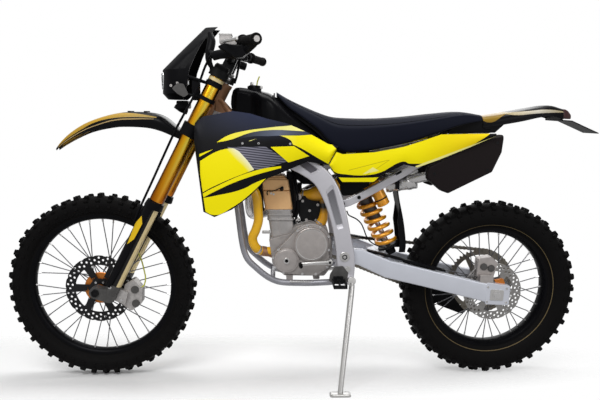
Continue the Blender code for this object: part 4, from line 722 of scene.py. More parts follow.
def front_fender_graphics(name):
    """Black fender with an old-gold flash and a cream line along its flank."""
    finish = Finish(name, "black_gloss", BLACK, 0.28, 0.0, specular_ior_level=0.06, coat_weight=0.03,
        coat_roughness=0.1)
    x, y, z = finish.axes()
    shifted = x + 0.2
    gold_top = [(0.06, 0.877), (0.11, 0.921), (0.154, 0.956), (0.209, 0.982), (0.279, 0.994), (0.336, 0.994),
        (0.424, 0.981)]
    gold_low = [(0.06, 0.872), (0.122, 0.914), (0.16, 0.936), (0.201, 0.958), (0.259, 0.974), (0.324, 0.98),
        (0.424, 0.978)]
    cream_top = [(0.06, 0.869), (0.117, 0.907), (0.162, 0.932), (0.212, 0.952), (0.277, 0.971), (0.35, 0.976),
        (0.415, 0.974)]
    cream_low = [(0.06, 0.866), (0.117, 0.904), (0.162, 0.929), (0.212, 0.949), (0.277, 0.967), (0.35, 0.972),
        (0.415, 0.973)]
    flank = y.size().above(0.02)
    fade = ((x - 0.02) * 6.0).clamped()
    gold = finish.mixed(fade, (0.5, 0.3, 0.04), (0.46, 0.32, 0.1))
    finish.layer(band(finish, shifted, z, gold_top, gold_low) * flank, gold)
    finish.layer(band(finish, shifted, z, cream_top, cream_low), (0.46, 0.33, 0.15))
    return finish.printed()


def rear_fender_black_and_highlight(name):
    """Black tail with a painted highlight along its top: a golden patch that runs out into a cream line, palest
    around x 1.6.
    """
    finish = Finish(name, "black_gloss", BLACK, 0.28, 0.0, specular_ior_level=0.06, coat_weight=0.03,
        coat_roughness=0.1)
    x, _, z = finish.axes()
    share = x * 0.9
    patch_top = [(1.246, 0.988), (1.31, 1.008), (1.382, 1.0205)]
    patch_low = [(1.246, 0.986), (1.276, 0.97), (1.325, 0.996), (1.382, 1.02)]
    cream_top = [(1.322, 1.004), (1.413, 1.013), (1.467, 1.018), (1.53, 1.012)]
    cream_low = [(1.322, 1.003), (1.37, 0.997), (1.417, 1.002), (1.467, 1.006), (1.53, 1.008)]
    # Painted highlight: the cream line pales to nearly white around x 1.6.
    painted_highlight = ((x - 1.6).size() * -9.0 + 1.0).most(0.0)
    finish.layer(band(finish, share, z, patch_top, patch_low), (0.27, 0.165, 0.022))
    cream = finish.mixed(painted_highlight, (0.4, 0.32, 0.16), (0.66, 0.62, 0.52))
    finish.layer(band(finish, share, z, cream_top, cream_low), cream)
    return finish.printed()


def guard_graphics(name):
    """Black fork guard with a yellow flash down its outer face."""
    finish = Finish(name, "black_plastic", BLACK, 0.3, 0.0, specular_ior_level=0.06, coat_weight=0.02,
        coat_roughness=0.12)
    x, _, z = finish.axes()
    flash = within(x, z, [(0.1764, 0.6344), (0.1789, 0.607), (0.1488, 0.5518), (0.1212, 0.531), (0.1504, 0.6069)])
    finish.layer(flash, (0.8, 0.52, 0.018))
    return finish.printed()


def across_leg(x, z):
    """Distance from the middle of the fork leg, as the side view shows it."""
    return x - z * LEG_LEAN + LEG_SHIFT


def make_finishes(colours):
    """Every finish of the machine by its own name."""
    made = {}

    def keep(name, slot, colour, roughness, metallic=0.0, **values):
        made[name] = Finish(name, slot, tuple(colour), roughness, metallic, **values)
        return made[name]

    def keep_worn(name, slot, colour, roughness, metallic, wear, bump=None, seen=None, **values):
        """A finish with a cloud of wear, and with a fine bump where it is cast, painted or moulded."""
        finish = keep(name, slot, colour, roughness, metallic, **values)
        finish.worn(tuple(seen or colour), *wear)
        if bump:
            scale, detail, strength, distance = bump
            finish.bumped(finish.noise(scale, detail), strength, distance)

    rubber = keep("tyre rubber", "rubber", (0.006, 0.006, 0.007), 0.75, specular_ior_level=0.09)
    grime = rubber.noise(35.0, 6.0)
    along, _, rise = rubber.axes()
    along, rise = along - REAR_AXLE[0], rise - REAR_AXLE[2]
    stripe = ((along * along + rise * rise).root() - WALL_STRIPE).size().below(0.001)
    black = rubber.mixed(grime, (0.0012, 0.001, 0.0012), (0.005, 0.0045, 0.0045))
    rubber.set("Base Color", rubber.mixed(stripe, black, (0.16, 0.12, 0.06)))
    rubber.set("Roughness", grime * 0.3 + 0.55)
    rubber.bumped(rubber.noise(420.0, 3.0), 0.25, 0.0006)

    keep_worn("black rim", "black_metal", BLACK, 0.34, 0.3, (0.4, 40, 0.34, 0.08), specular_ior_level=DULL)
    keep_worn("dark spoke", "dark_steel", (0.16, 0.16, 0.17), 0.32, 1.0, (0.3, 30, 0.32, 0.1))
    gold = keep("gold anodising", "gold", colours.gold, 0.24, 1.0)
    across, _, rise = gold.axes()
    gold.set("Roughness", gold.noise(25, 4.0) * 0.1 + 0.2)
    # Painted sheen across each fork tube: a ramp from dark edges to a bright middle, as light falls on a round tube.
    # The second ramp is a darker copper copy of the same sheen.
    span = across_leg(across, rise) * 17.0 + 0.5
    sheen, copper = [gold.node("ShaderNodeValToRGB",
        {"stops": list(zip((0.04, 0.26, 0.46, 0.64, 0.8, 0.97), shades))}, [span])
        for shades in (((0.22, 0.06, 0.004), (0.8, 0.34, 0.01), (1.0, 0.56, 0.018), (1.0, 0.8, 0.1), (1.0, 0.5, 0.03),
        (0.4, 0.15, 0.01)), ((0.1, 0.022, 0.002), (0.42, 0.105, 0.005), (0.6, 0.17, 0.008), (0.95, 0.36, 0.03),
        (0.56, 0.15, 0.01), (0.18, 0.045, 0.004)))]
    # Painted shade: below z 0.88 the tube fades into the darker copper copy, fully below about z 0.66.
    painted_lower_shade = ((rise - 0.88) * -4.6).clamped()
    gold.set("Base Color", gold.mixed(painted_lower_shade, sheen, copper))
    keep_worn("spring paint", "spring", colours.spring, 0.3, 0.35, (0.18, 60, 0.3, 0.08), coat_weight=0.5,
        coat_roughness=0.1)
    keep_worn("ground steel", "steel", (0.62, 0.61, 0.61), 0.26, 0.75, (0.06, 30, 0.27, 0.03))
    keep_worn("brake disc", "dark_steel", (0.3, 0.29, 0.28), 0.35, 1.0, (0.3, 70, 0.34, 0.1), seen=(0.34, 0.33, 0.32))
    keep_worn("black disc", "black_metal", (0.01, 0.01, 0.011), 0.4, 0.5, (0.4, 70, 0.4, 0.1))
    keep_worn("chain steel", "dark_steel", (0.2, 0.18, 0.15), 0.42, 0.9, (0.4, 200, 0.42, 0.12),
        seen=(0.22, 0.2, 0.17))
    keep_worn("silver paint", "silver_frame", colours.frame, 0.36, 0.35, (0.07, 18, 0.36, 0.06),
        (700.0, 2.0, 0.08, 0.0004), coat_weight=0.2, coat_roughness=0.2)
    # Painted shade in the spar pockets: a grey much darker than the frame's silver, darker still higher up.
    recess = keep("dark recess", "silver_frame", (0.17, 0.16, 0.18), 0.45, 0.3)
    _, _, level = recess.axes()
    deep = ((level - 0.56) * 5.0).clamped()
    recess.set("Base Color", recess.mixed(deep, (0.3, 0.3, 0.32), (0.09, 0.085, 0.1)))
    recess.set("Roughness", recess.noise(40, 3.0) * 0.2 + 0.4)
    keep_worn("pale swingarm", "silver", (0.66, 0.68, 0.74), 0.36, 0.3, (0.06, 18, 0.36, 0.06),
        seen=(0.66, 0.68, 0.75), coat_weight=0.2, coat_roughness=0.2)
    keep_worn("bright alloy", "silver", (0.62, 0.61, 0.6), 0.28, 0.9, (0.05, 24, 0.3, 0.03))
    cream = keep("cream slider", "steel", (0.86, 0.7, 0.38), 0.34, 0.3)
    across, _, rise = cream.axes()
    shell = across_leg(across, rise).above(0.0105).most(rise.above(0.7))
    cloudy = cream.mixed(cream.noise(50, 3.0), (0.78, 0.6, 0.29), (0.88, 0.74, 0.42))
    cream.set("Base Color", cream.mixed(shell, BLACK, cloudy))
    keep_worn("dark casting", "steel", (0.085, 0.082, 0.08), 0.5, 0.4, (0.4, 60, 0.5, 0.1))
    keep_worn("copper hub", "black_metal", (0.62, 0.2, 0.03), 0.4, 0.6, (0.3, 45, 0.4, 0.1))
    keep_worn("pale casting", "silver", (0.5, 0.48, 0.47), 0.45, 0.5, (0.45, 95, 0.45, 0.12),
        (600.0, 3.0, 0.3, 0.0005), (0.46, 0.44, 0.43))
    # Painted shade: the cradle tubes get the frame's silver darkened, as they lie in shade under the engine.
    keep_worn("cradle paint", "silver_frame", (0.3, 0.3, 0.33), 0.4, 0.4, (0.25, 30, 0.4, 0.1))
    keep_worn("cylinder casting", "engine_metal", (0.42, 0.405, 0.4), 0.5, 0.4, (0.3, 40, 0.5, 0.1),
        (520.0, 4.0, 0.3, 0.0005))
    cast = keep("cast case", "engine_metal", colours.engine, 0.5, 0.45)
    soot = cast.noise(22.0, 6.0)
    dark_case, pale_case = [tuple(c * share for c in colours.engine) for share in (0.55, 1.35)]
    cast.set("Base Color", cast.mixed(soot, dark_case, pale_case))
    cast.set("Roughness", soot * 0.25 + 0.38)
    cast.bumped(cast.noise(520.0, 4.0), 0.3, 0.0005)
    keep_worn("machined lid", "engine_metal", (0.45, 0.415, 0.4), 0.38, 0.6, (0.18, 60, 0.38, 0.08))
    keep_worn("bronze head", "bronze", colours.bronze, 0.5, 0.25, (0.16, 26, 0.48, 0.1), (500.0, 4.0, 0.22, 0.0005))
    # Dark copper. On the head tube and its gussets it is painted shade and a painted gold reflection on parts whose
    # own colour is the frame's silver.
    keep_worn("copper bracket", "bronze", (0.33, 0.17, 0.09), 0.45, 0.4, (0.3, 40, 0.45, 0.1))
    keep_worn("dark metal", "dark_steel", (0.014, 0.014, 0.015), 0.45, 0.4, (0.5, 60, 0.45, 0.12),
        specular_ior_level=DULL)
    keep_worn("black moulding", "black_plastic", BLACK, 0.42, 0.0, (0.35, 30, 0.42, 0.08), (650.0, 3.0, 0.12, 0.0004),
        specular_ior_level=DULL)
    keep_worn("gloss black", "black_gloss", BLACK, 0.3, 0.0, (0.3, 12, 0.24, 0.04), specular_ior_level=0.05)
    cover = keep("seat cover", "seat_cover", colours.navy, 0.62, 0.0, specular_ior_level=DULL, sheen_weight=0.06,
        sheen_roughness=0.4)
    _, _, height = cover.axes()
    top_light = ((height - 0.93) * 9.0).clamped()
    cover.set("Base Color", cover.mixed(top_light, (0.004, 0.005, 0.012), (0.011, 0.013, 0.022)))
    pebble = cover.node("ShaderNodeTexVoronoi", None, {"Vector": cover.place(), "Scale": 420.0})
    cover.bumped(pebble, 0.18, 0.0005)
    charcoal = keep("silencer coat", "black_plastic", CHARCOAL, 0.5, specular_ior_level=DULL)
    speck = charcoal.noise(900.0, 2.0)
    charcoal.set("Base Color", charcoal.mixed(speck, (0.005, 0.004, 0.004), (0.019, 0.014, 0.015)))
    charcoal.bumped(speck, 0.3, 0.0004)
    keep_worn("silicone hose", "yellow_hose", colours.hose, 0.34, 0.0, (0.1, 20, 0.34, 0.06), coat_weight=0.25,
        coat_roughness=0.15)
    amber = keep("amber boot", "yellow_hose", (0.8, 0.38, 0.01), 0.35, 0.0, coat_weight=0.2)
    _, _, level = amber.axes()
    shade = ((level - 0.661).size() * -40.0 + 1.25).clamped()
    glow = amber.mixed(amber.noise(30, 4.0), (0.5, 0.2, 0.006), (0.98, 0.52, 0.02))
    amber.set("Base Color", amber.mixed(shade, glow, BLACK))
    keep_worn("brake line", "yellow_hose", (0.55, 0.56, 0.06), 0.35, 0.0, (0.2, 60, 0.35, 0.05))
    keep_worn("black cable", "black_plastic", BLACK, 0.35, 0.0, (0.3, 60, 0.36, 0.06), specular_ior_level=DULL)
    keep("lamp glass", "lens", (0.82, 0.84, 0.86), 0.04, 0.0, transmission_weight=0.92, ior=1.45)
    reflector = keep("reflector", "lens", (0.86, 0.87, 0.88), 0.1, 1.0)
    _, y, _ = reflector.axes()
    reflector.bumped((y * 700.0).sine(), 0.25, 0.001)
    keep_worn("red lens", "red_lens", (0.035, 0.001, 0.0015), 0.16, 0.0, (0.2, 80, 0.16, 0.04), coat_weight=0.2)
    made["shroud film"] = shroud_print_and_highlights("shroud film", colours)
    made["side panel film"] = side_print_and_crease_shade("side panel film", colours)
    made["front fender film"] = front_fender_graphics("front fender film")
    made["rear fender film"] = rear_fender_black_and_highlight("rear fender film")
    made["guard film"] = guard_graphics("guard film")
    return made


FINISH = {}


# Geometry Nodes: what repeats or follows a path

def new_tree(name, inputs):
    """A geometry tree with named inputs: (name, socket type, default)."""
    tree = bpy.data.node_groups.new(name, "GeometryNodeTree")
    tree.interface.new_socket("Geometry", in_out="INPUT", socket_type="NodeSocketGeometry")
    for label, kind, default in inputs:
        socket = tree.interface.new_socket(label, in_out="INPUT", socket_type=kind)
        if default is not None:
            socket.default_value = default
    tree.interface.new_socket("Geometry", in_out="OUTPUT", socket_type="NodeSocketGeometry")
    entry = tree.nodes.new("NodeGroupInput")
    return tree, {output.name: Value(tree, output) for output in entry.outputs if output.name}


def end_tree(tree, geometry, finish):
    """Realizes the instances, sets the finish and closes the tree."""
    real = joined_node(tree, "GeometryNodeRealizeInstances", None, [geometry])
    smooth = joined_node(tree, "GeometryNodeSetShadeSmooth", None, {"Geometry": real})
    painted = joined_node(tree, "GeometryNodeSetMaterial", None, {"Geometry": smooth, "Material": finish})
    leave = tree.nodes.new("NodeGroupOutput")
    tree.links.new(painted.socket, leave.inputs[0])


def grown(tree, carrier, finish, **inputs):
    """Runs a tree on a carrier mesh and gives back the plain mesh that it makes."""
    obj = placed("carrier", carrier)
    modifier = obj.modifiers.new("grow", "NODES")
    modifier.node_group = tree
    wanted = {"Finish": FINISH[finish].material,
        **{key.replace("_", " ").capitalize(): v for key, v in inputs.items()}}
    for item in tree.interface.items_tree:
        if item.in_out == "INPUT" and item.name in wanted:
            modifier[item.identifier] = wanted[item.name]
    mesh = evaluated_mesh(obj)
    obj.modifiers.clear()
    bpy.data.objects.remove(obj)
    bpy.data.meshes.remove(carrier)
    if not mesh.polygons:
        raise RuntimeError(f"{tree.name} made no faces")
    return mesh


def wire_tree():
    """Round wires along the edges of a mesh, such as spokes, cables and welded beads."""
    tree, inlet = new_tree("Wires", [("Radius", "NodeSocketFloat", 0.002), ("Sides", "NodeSocketInt", 8),
        ("Finish", "NodeSocketMaterial", None)])
    curve = joined_node(tree, "GeometryNodeMeshToCurve", None, [inlet["Geometry"]])
    ring = joined_node(tree, "GeometryNodeCurvePrimitiveCircle", {"mode": "RADIUS"},
        {"Resolution": inlet["Sides"], "Radius": inlet["Radius"]})
    skin = joined_node(tree, "GeometryNodeCurveToMesh", None,
        {"Curve": curve, "Profile Curve": ring, "Fill Caps": True})
    end_tree(tree, skin, inlet["Finish"])
    return tree


def scatter_tree():
    """Copies of a small piece on marked points, each turned to its own facing and heading."""
    tree, inlet = new_tree("Fitted copies",
        [("Piece", "NodeSocketObject", None), ("Finish", "NodeSocketMaterial", None)])
    facing = joined_node(tree, "GeometryNodeInputNamedAttribute", {"data_type": "FLOAT_VECTOR"}, {"Name": "facing"})
    heading = joined_node(tree, "GeometryNodeInputNamedAttribute", {"data_type": "FLOAT_VECTOR"}, {"Name": "heading"})
    turn = joined_node(tree, "FunctionNodeAxesToRotation", {"primary_axis": "Z", "secondary_axis": "X"},
        {"Primary Axis": facing, "Secondary Axis": heading})
    piece = joined_node(tree, "GeometryNodeObjectInfo", None, {"Object": inlet["Piece"], "As Instance": True},
        output="Geometry")
    points = joined_node(tree, "GeometryNodeMeshToPoints", {"mode": "VERTICES"}, {"Mesh": inlet["Geometry"]})
    copies = joined_node(tree, "GeometryNodeInstanceOnPoints", None,
        {"Points": points, "Instance": piece, "Rotation": turn})
    end_tree(tree, copies, inlet["Finish"])
    return tree


def bolt_tree():
    """Socket-headed bolts on marked points: a round head with a six-sided socket sunk into it."""
    tree, inlet = new_tree("Bolts", [("Radius", "NodeSocketFloat", 0.005), ("Height", "NodeSocketFloat", 0.004),
        ("Finish", "NodeSocketMaterial", None)])
    head = joined_node(tree, "GeometryNodeMeshCylinder", {"fill_type": "NGON"},
        {"Vertices": 18, "Radius": inlet["Radius"], "Depth": inlet["Height"]})
    socket = joined_node(tree, "GeometryNodeMeshCylinder", {"fill_type": "NGON"},
        {"Vertices": 6, "Radius": inlet["Radius"] * 0.52, "Depth": inlet["Height"]})
    raised = joined_node(tree, "GeometryNodeTransform", None,
        {"Geometry": socket, "Translation": joined_node(tree, "ShaderNodeCombineXYZ", None,
        [0.0, 0.0, inlet["Height"] * 0.55])})
    drilled = joined_node(tree, "GeometryNodeMeshBoolean", {"operation": "DIFFERENCE"}, {"Mesh 1": head})
    tree.links.new(raised.socket, drilled.socket.node.inputs["Mesh 2"])
    facing = joined_node(tree, "GeometryNodeInputNamedAttribute", {"data_type": "FLOAT_VECTOR"}, {"Name": "facing"})
    turn = joined_node(tree, "FunctionNodeAlignRotationToVector", {"axis": "Z"}, {"Vector": facing})
    points = joined_node(tree, "GeometryNodeMeshToPoints", {"mode": "VERTICES"}, {"Mesh": inlet["Geometry"]})
    bolts = joined_node(tree, "GeometryNodeInstanceOnPoints", None,
        {"Points": points, "Instance": drilled, "Rotation": turn})
    end_tree(tree, bolts, inlet["Finish"])
    return tree


def paths_mesh(paths):
    """Open paths as edges."""
    mesh = bpy.data.meshes.new("paths")
    points, edges = [], []
    for path in paths:
        first = len(points)
        points += [Vector(p) for p in path]
        edges += [(i, i + 1) for i in range(first, first + len(path) - 1)]
    mesh.from_pydata(points, edges, [])
    return mesh


def marked_points(marks):
    """Loose points that carry the facing and heading of what is fitted there."""
    mesh = bpy.data.meshes.new("points")
    mesh.from_pydata([Vector(m[0]) for m in marks], [], [])
    for name, column in (("facing", 1), ("heading", 2)):
        if len(marks[0]) > column:
            attribute = mesh.attributes.new(name, "FLOAT_VECTOR", "POINT")
            for item, mark in zip(attribute.data, marks):
                item.vector = Vector(mark[column])
    return mesh


TREES = {}


def tree_named(name):
    makers = {"wires": wire_tree, "copies": scatter_tree, "bolts": bolt_tree}
    if name not in TREES:
        TREES[name] = makers[name]()
    return TREES[name]


def wires(name, paths, radius, body, finish, replaces=None, sides=10):
    """Cables, lines and rods along paths, as one piece."""
    mesh = grown(tree_named("wires"), paths_mesh(paths), finish, radius=radius, sides=sides)
    return fitted(name, None, body, finish, replaces, mesh=mesh, sharp=50)


def bolts(name, marks, radius, body, finish, height=0.004):
    """Bolts at (place, facing) marks."""
    mesh = grown(tree_named("bolts"), marked_points(marks), finish, radius=radius, height=height)
    return fitted(name, None, body, finish, mesh=mesh, sharp=30)


def copies(piece, marks, finish):
    """Mesh of copies of a small shape at (place, facing, heading) marks."""
    source = placed("piece", mesh_from(piece))
    mesh = grown(tree_named("copies"), marked_points(marks), finish, piece=source)
    bpy.data.meshes.remove(source.data)
    return mesh


# Wheels

class Wheel:
    """Sizes of one wheel, with its place on the machine."""

    def __init__(self, name, axle, radius, seat, half, rim_half, pitches):
        self.name, self.axle, self.radius, self.seat = name, axle, radius, seat
        self.half, self.rim_half, self.pitches = half, rim_half, pitches
        self.body = f"{name}_wheel"

    def point(self, angle, radius, y):
        return self.axle + Vector((radius * math.cos(angle), y, radius * math.sin(angle)))


RIM_FLANGE = 0.009
RIM_DEPTH = 0.015
WHEELS = (Wheel("front", FRONT_AXLE, FRONT_RADIUS, 0.2667, 0.046, 0.0225, 24),
    Wheel("rear", REAR_AXLE, REAR_RADIUS, 0.2285, 0.06, 0.0295, 22))


def lug_block(length, width, height, taper=0.82):
    """One knob: a block that narrows outwards, its foot sunk in the carcass."""
    rings = []
    for level, scale in ((-0.004, 1.08), (height * 0.8, (1 + taper) / 2), (height * 0.97, taper),
            (height, taper * 0.9)):
        outline = rounded([(-length / 2, -width / 2), (length / 2, -width / 2), (length / 2, width / 2),
            (-length / 2, width / 2)], min(length, width) * 0.12, 1)
        rings.append([Vector((x * scale, y * scale, level)) for x, y in outline])
    return loft(rings)


def tyre_section(wheel, height):
    """Half section of the carcass, from the bead to the middle of the tread, as (y, radius)."""
    foot = wheel.seat + RIM_FLANGE + 0.0008
    crown = wheel.radius - height
    rise = crown - foot
    points = [(wheel.rim_half + 0.0004, foot - 0.006), (wheel.rim_half + 0.0022, foot),
        (wheel.half * 0.8, foot + rise * 0.2), (wheel.half * 0.93, foot + rise * 0.45),
        (wheel.half * 0.92, foot + rise * 0.66), (wheel.half * 0.82, foot + rise * 0.84),
        (wheel.half * 0.55, crown - 0.0045), (wheel.half * 0.25, crown - 0.0008), (0.0, crown)]
    return curve_through(points, 3)


def knobbly_tyre(wheel, sizes):
    """Carcass turned from its section, with five rows of knobs round it."""
    height = sizes.lug_height
    half_section = tyre_section(wheel, height)
    profile = [(p[0], p[1]) for p in half_section]
    profile += [(-y, r) for y, r in reversed(profile[:-1])]
    carcass = mesh_from(turned(profile, wheel.axle, SIDE, 120))
    parts = [carcass]
    pitch = 2 * math.pi / wheel.pitches
    crown = wheel.radius - height
    rows = []
    centre_width = wheel.half * 0.3
    for share in (-1, 1):
        rows.append((0.0, share * wheel.half * 0.2, crown - 0.001, 0.0, lug_block(0.02, centre_width, height)))
        rows.append((0.5, share * wheel.half * 0.52, crown - 0.005, 0.34, lug_block(0.02, wheel.half * 0.3, height)))
        for shift in (0.02, 0.52):
            rows.append((shift, share * wheel.half * 0.8, crown - 0.015, 0.86,
                lug_block(0.0165, wheel.half * 0.26, height * 0.98, 0.78)))
            rows.append((shift, share * wheel.half * 0.9, crown - 0.033, 1.42,
                lug_block(0.013, 0.011, height * 0.34, 0.8)))
    for shift, y, radius, tilt, shape in rows:
        marks = []
        for k in range(wheel.pitches):
            angle = (k + shift) * pitch
            outward = Vector((math.cos(angle), 0.0, math.sin(angle)))
            facing = outward * math.cos(tilt) + SIDE * math.copysign(math.sin(tilt), y)
            marks.append((wheel.point(angle, radius, y), facing, Vector((-math.sin(angle), 0.0, math.cos(angle)))))
        parts.append(copies(shape, marks, "tyre rubber"))
    return fitted(f"{wheel.name}_tyre_knobbly", gathered(parts), wheel.body, "tyre rubber", f"{wheel.name}_tyre",
        sharp=35)


def rim_profile(wheel):
    """Section of a rim: two bead flanges, a drop well outside and a rounded bed inside."""
    half, seat = wheel.rim_half, wheel.seat
    inner = seat - RIM_DEPTH
    right = [(half - 0.003, seat + RIM_FLANGE - 0.001), (half - 0.001, seat + RIM_FLANGE), (half, seat + 0.006),
        (half - 0.0005, seat - 0.004), (half * 0.72, inner + 0.004), (half * 0.42, inner + 0.0006), (0.0, inner)]
    left = [(-y, r) for y, r in reversed(right[:-1])]
    well = [(-half + 0.0035, seat + 0.001), (-half * 0.45, seat - 0.006), (half * 0.45, seat - 0.006),
        (half - 0.0035, seat + 0.001)]
    return right + left + well


def spoke_ends(wheel, k, count, flange_radius, flange_y):
    side = 1 if k % 2 else -1
    sweep = 1 if (k // 2) % 2 else -1
    rim_angle = 2 * math.pi * k / count
    hub_angle = rim_angle + sweep * math.radians(58)
    start = wheel.point(hub_angle, flange_radius - 0.005, side * flange_y + sweep * 0.0032)
    end = wheel.point(rim_angle, wheel.seat - RIM_DEPTH + 0.004, side * 0.005)
    return start, end


def laced_wheel(wheel, sizes, hub_profile, flange_radius, flange_y, hub_finish):
    """Rim, hub, spokes and nipples of one wheel."""
    body, node = wheel.body, f"{wheel.name}_laced_wheel"
    count = sizes.spoke_count
    fitted(f"{wheel.name}_rim", turned(rim_profile(wheel), wheel.axle, SIDE, 144), body, "black rim", node)
    ends = [spoke_ends(wheel, k, count, flange_radius, flange_y) for k in range(count)]
    wires(f"{wheel.name}_spokes", ends, sizes.spoke_radius, body, "dark spoke", node)
    nipples = []
    for start, end in ends:
        along = (end - start).normalized()
        nipples.append([end - along * 0.016, end - along * 0.001])
    wires(f"{wheel.name}_nipples", nipples, sizes.spoke_radius * 1.75, body, "ground steel", sides=6)
    hub = turned(hub_profile, wheel.axle, SIDE, 56)
    fitted(f"{wheel.name}_hub", hub, body, hub_finish, node, sharp=30)


def drilled_disc(wheel, radius, hub_radius, y, rows, arms, finish, node):
    """Brake disc: scalloped drilled band, open arms and a bore."""
    band_width = radius * 0.27
    scallops = arms * 3
    edge = [(radius * (1 - 0.022 * max(0.0, math.cos(scallops * a)) ** 3) * math.cos(a),
        radius * (1 - 0.022 * max(0.0, math.cos(scallops * a)) ** 3) * math.sin(a))
        for a in (2 * math.pi * i / 216 for i in range(216))]
    outlines = [edge, circle(hub_radius, 32)]
    for i in range(rows):
        angle = 2 * math.pi * i / rows
        for share in ((0.24, 0.74) if i % 2 else (0.49,)):
            reach = radius - band_width * share
            outlines.append(circle(0.0044, 10, (reach * math.cos(angle), reach * math.sin(angle))))
    for i in range(arms):
        middle = 360 * (i + 0.5) / arms
        window = arc((0, 0), radius - band_width * 1.05, middle - 23, middle + 19, 8)
        window += arc((0, 0), hub_radius + 0.02, middle + 8, middle - 20, 4)
        outlines.append(rounded(window, 0.004, 2))
        for turn in (-0.32, 0.32):
            angle = math.radians(360 * i / arms) + turn * 0.25
            outlines.append(circle(0.003, 10,
                ((hub_radius + 0.026) * math.cos(angle), (hub_radius + 0.026) * math.sin(angle))))
    shape = moved(pierced(outlines, 0.004), on_wheel(wheel.axle, y))
    return fitted(f"{node}_drilled", shape, wheel.body, finish, node, sharp=30)


def sprocket(centre, teeth, windows, bore):
    """Toothed wheel with rounded valleys that the chain's rollers sit in."""
    pitch_radius = CHAIN_PITCH / (2 * math.sin(math.pi / teeth))
    edge = []
    steps = 8
    for i in range(teeth * steps):
        angle = 2 * math.pi * i / (teeth * steps)
        wave = math.cos(2 * math.pi * i / steps)
        reach = pitch_radius - 0.0005 + 0.0042 * (abs(wave) ** 0.7) * (1 if wave > 0 else -1)
        edge.append((reach * math.cos(angle), reach * math.sin(angle)))
    outlines = [edge, circle(bore, 40)]
    root = pitch_radius - 0.01
    for i in range(windows):
        middle = 360 * (i + 0.5) / windows
        window = arc((0, 0), root - 0.01, middle - 26, middle + 26, 10)
        window += arc((0, 0), bore + 0.02, middle + 16, middle - 16, 6)
        outlines.append(rounded(window, 0.005, 2))
    return moved(pierced(outlines, SPROCKET_THICKNESS), on_wheel(centre, CHAIN_Y))


FRONT_HUB_FACE = FRONT_DISC_Y + 0.0024
REAR_HUB_FACE = REAR_DISC_Y + 0.0024
FRONT_HUB = [(FRONT_HUB_FACE, HUB_BORE), (FRONT_HUB_FACE, 0.0335), (FRONT_HUB_FACE + 0.006, 0.034), (-0.046, 0.024),
    (-0.04, 0.024), (-0.0385, 0.0335), (-0.037, 0.036), (-0.03, 0.036), (-0.0285, 0.033), (-0.024, 0.0225),
    (0.0, 0.0195), (0.024, 0.0225), (0.0285, 0.033), (0.03, 0.036), (0.037, 0.036), (0.0385, 0.0335), (0.043, 0.021),
    (0.056, 0.019), (0.0598, 0.0175), (0.0598, HUB_BORE)]
REAR_HUB = [(REAR_HUB_FACE, HUB_BORE), (REAR_HUB_FACE, 0.0335), (REAR_HUB_FACE + 0.006, 0.0355), (-0.046, 0.03),
    (-0.043, 0.032), (-0.041, 0.042), (-0.039, 0.044), (-0.032, 0.044), (-0.03, 0.041), (-0.024, 0.0285),
    (0.0, 0.0265), (0.024, 0.0285), (0.03, 0.041), (0.032, 0.044), (0.039, 0.044), (0.046, 0.042),
    (CHAIN_Y - 0.0036, 0.0515), (CHAIN_Y - 0.0036, HUB_BORE)]


class ENDURO_OT_wheels(bpy.types.Operator):
    """Knobbly tyres, laced wheels, drilled discs and the rear sprocket"""

    bl_idname = "enduro.wheels"
    bl_label = "Wheels"

    def execute(self, context):
        sizes = context.scene.enduro_sizes
        front, rear = WHEELS
        for wheel in WHEELS:
            knobbly_tyre(wheel, sizes)
        laced_wheel(front, sizes, FRONT_HUB, 0.036, 0.0335, "copper hub")
        flange = turned([(0.044, 0.03), (0.044, 0.058), (0.047, 0.059), (0.0485, 0.057), (0.05, 0.03)], FRONT_AXLE,
            -SIDE, 48)
        fitted("front_disc_carrier", flange, "front_wheel", "copper hub", sharp=30)
        drilled_disc(front, 0.1248, 0.018, FRONT_DISC_Y, 44, 6, "black disc", "front_disc")
        laced_wheel(rear, sizes, REAR_HUB, 0.044, 0.0355, "cast case")
        drilled_disc(rear, 0.1098, 0.018, REAR_DISC_Y, 44, 6, "brake disc", "rear_disc")
        fitted("rear_sprocket_toothed", sprocket(REAR_AXLE, REAR_TEETH, 6, 0.03), "rear_wheel", "chain steel",
            "rear_sprocket", sharp=30)
        for wheel, disc_y in ((front, FRONT_DISC_Y), (rear, REAR_DISC_Y)):
            marks = [(wheel.point(2 * math.pi * i / 6, 0.0265, disc_y - 0.003), -SIDE) for i in range(6)]
            bolts(f"{wheel.name}_disc_bolts", marks, 0.0042, wheel.body, "ground steel", 0.003)
        marks = [(rear.point(2 * math.pi * i / 6, 0.04, CHAIN_Y + 0.0045), SIDE) for i in range(6)]
        bolts("sprocket_bolts", marks, 0.0048, "rear_wheel", "ground steel")
        return {"FINISHED"}


# Fork and front bodywork

def along_leg(profile, sides=40, closed=True):
    return turned(profile, (0.0, -LEG_SPREAD, 0.0), UP, sides, closed)


def fork_point(x, y, z):
    return FORK_FRAME @ Vector((x, y, z))


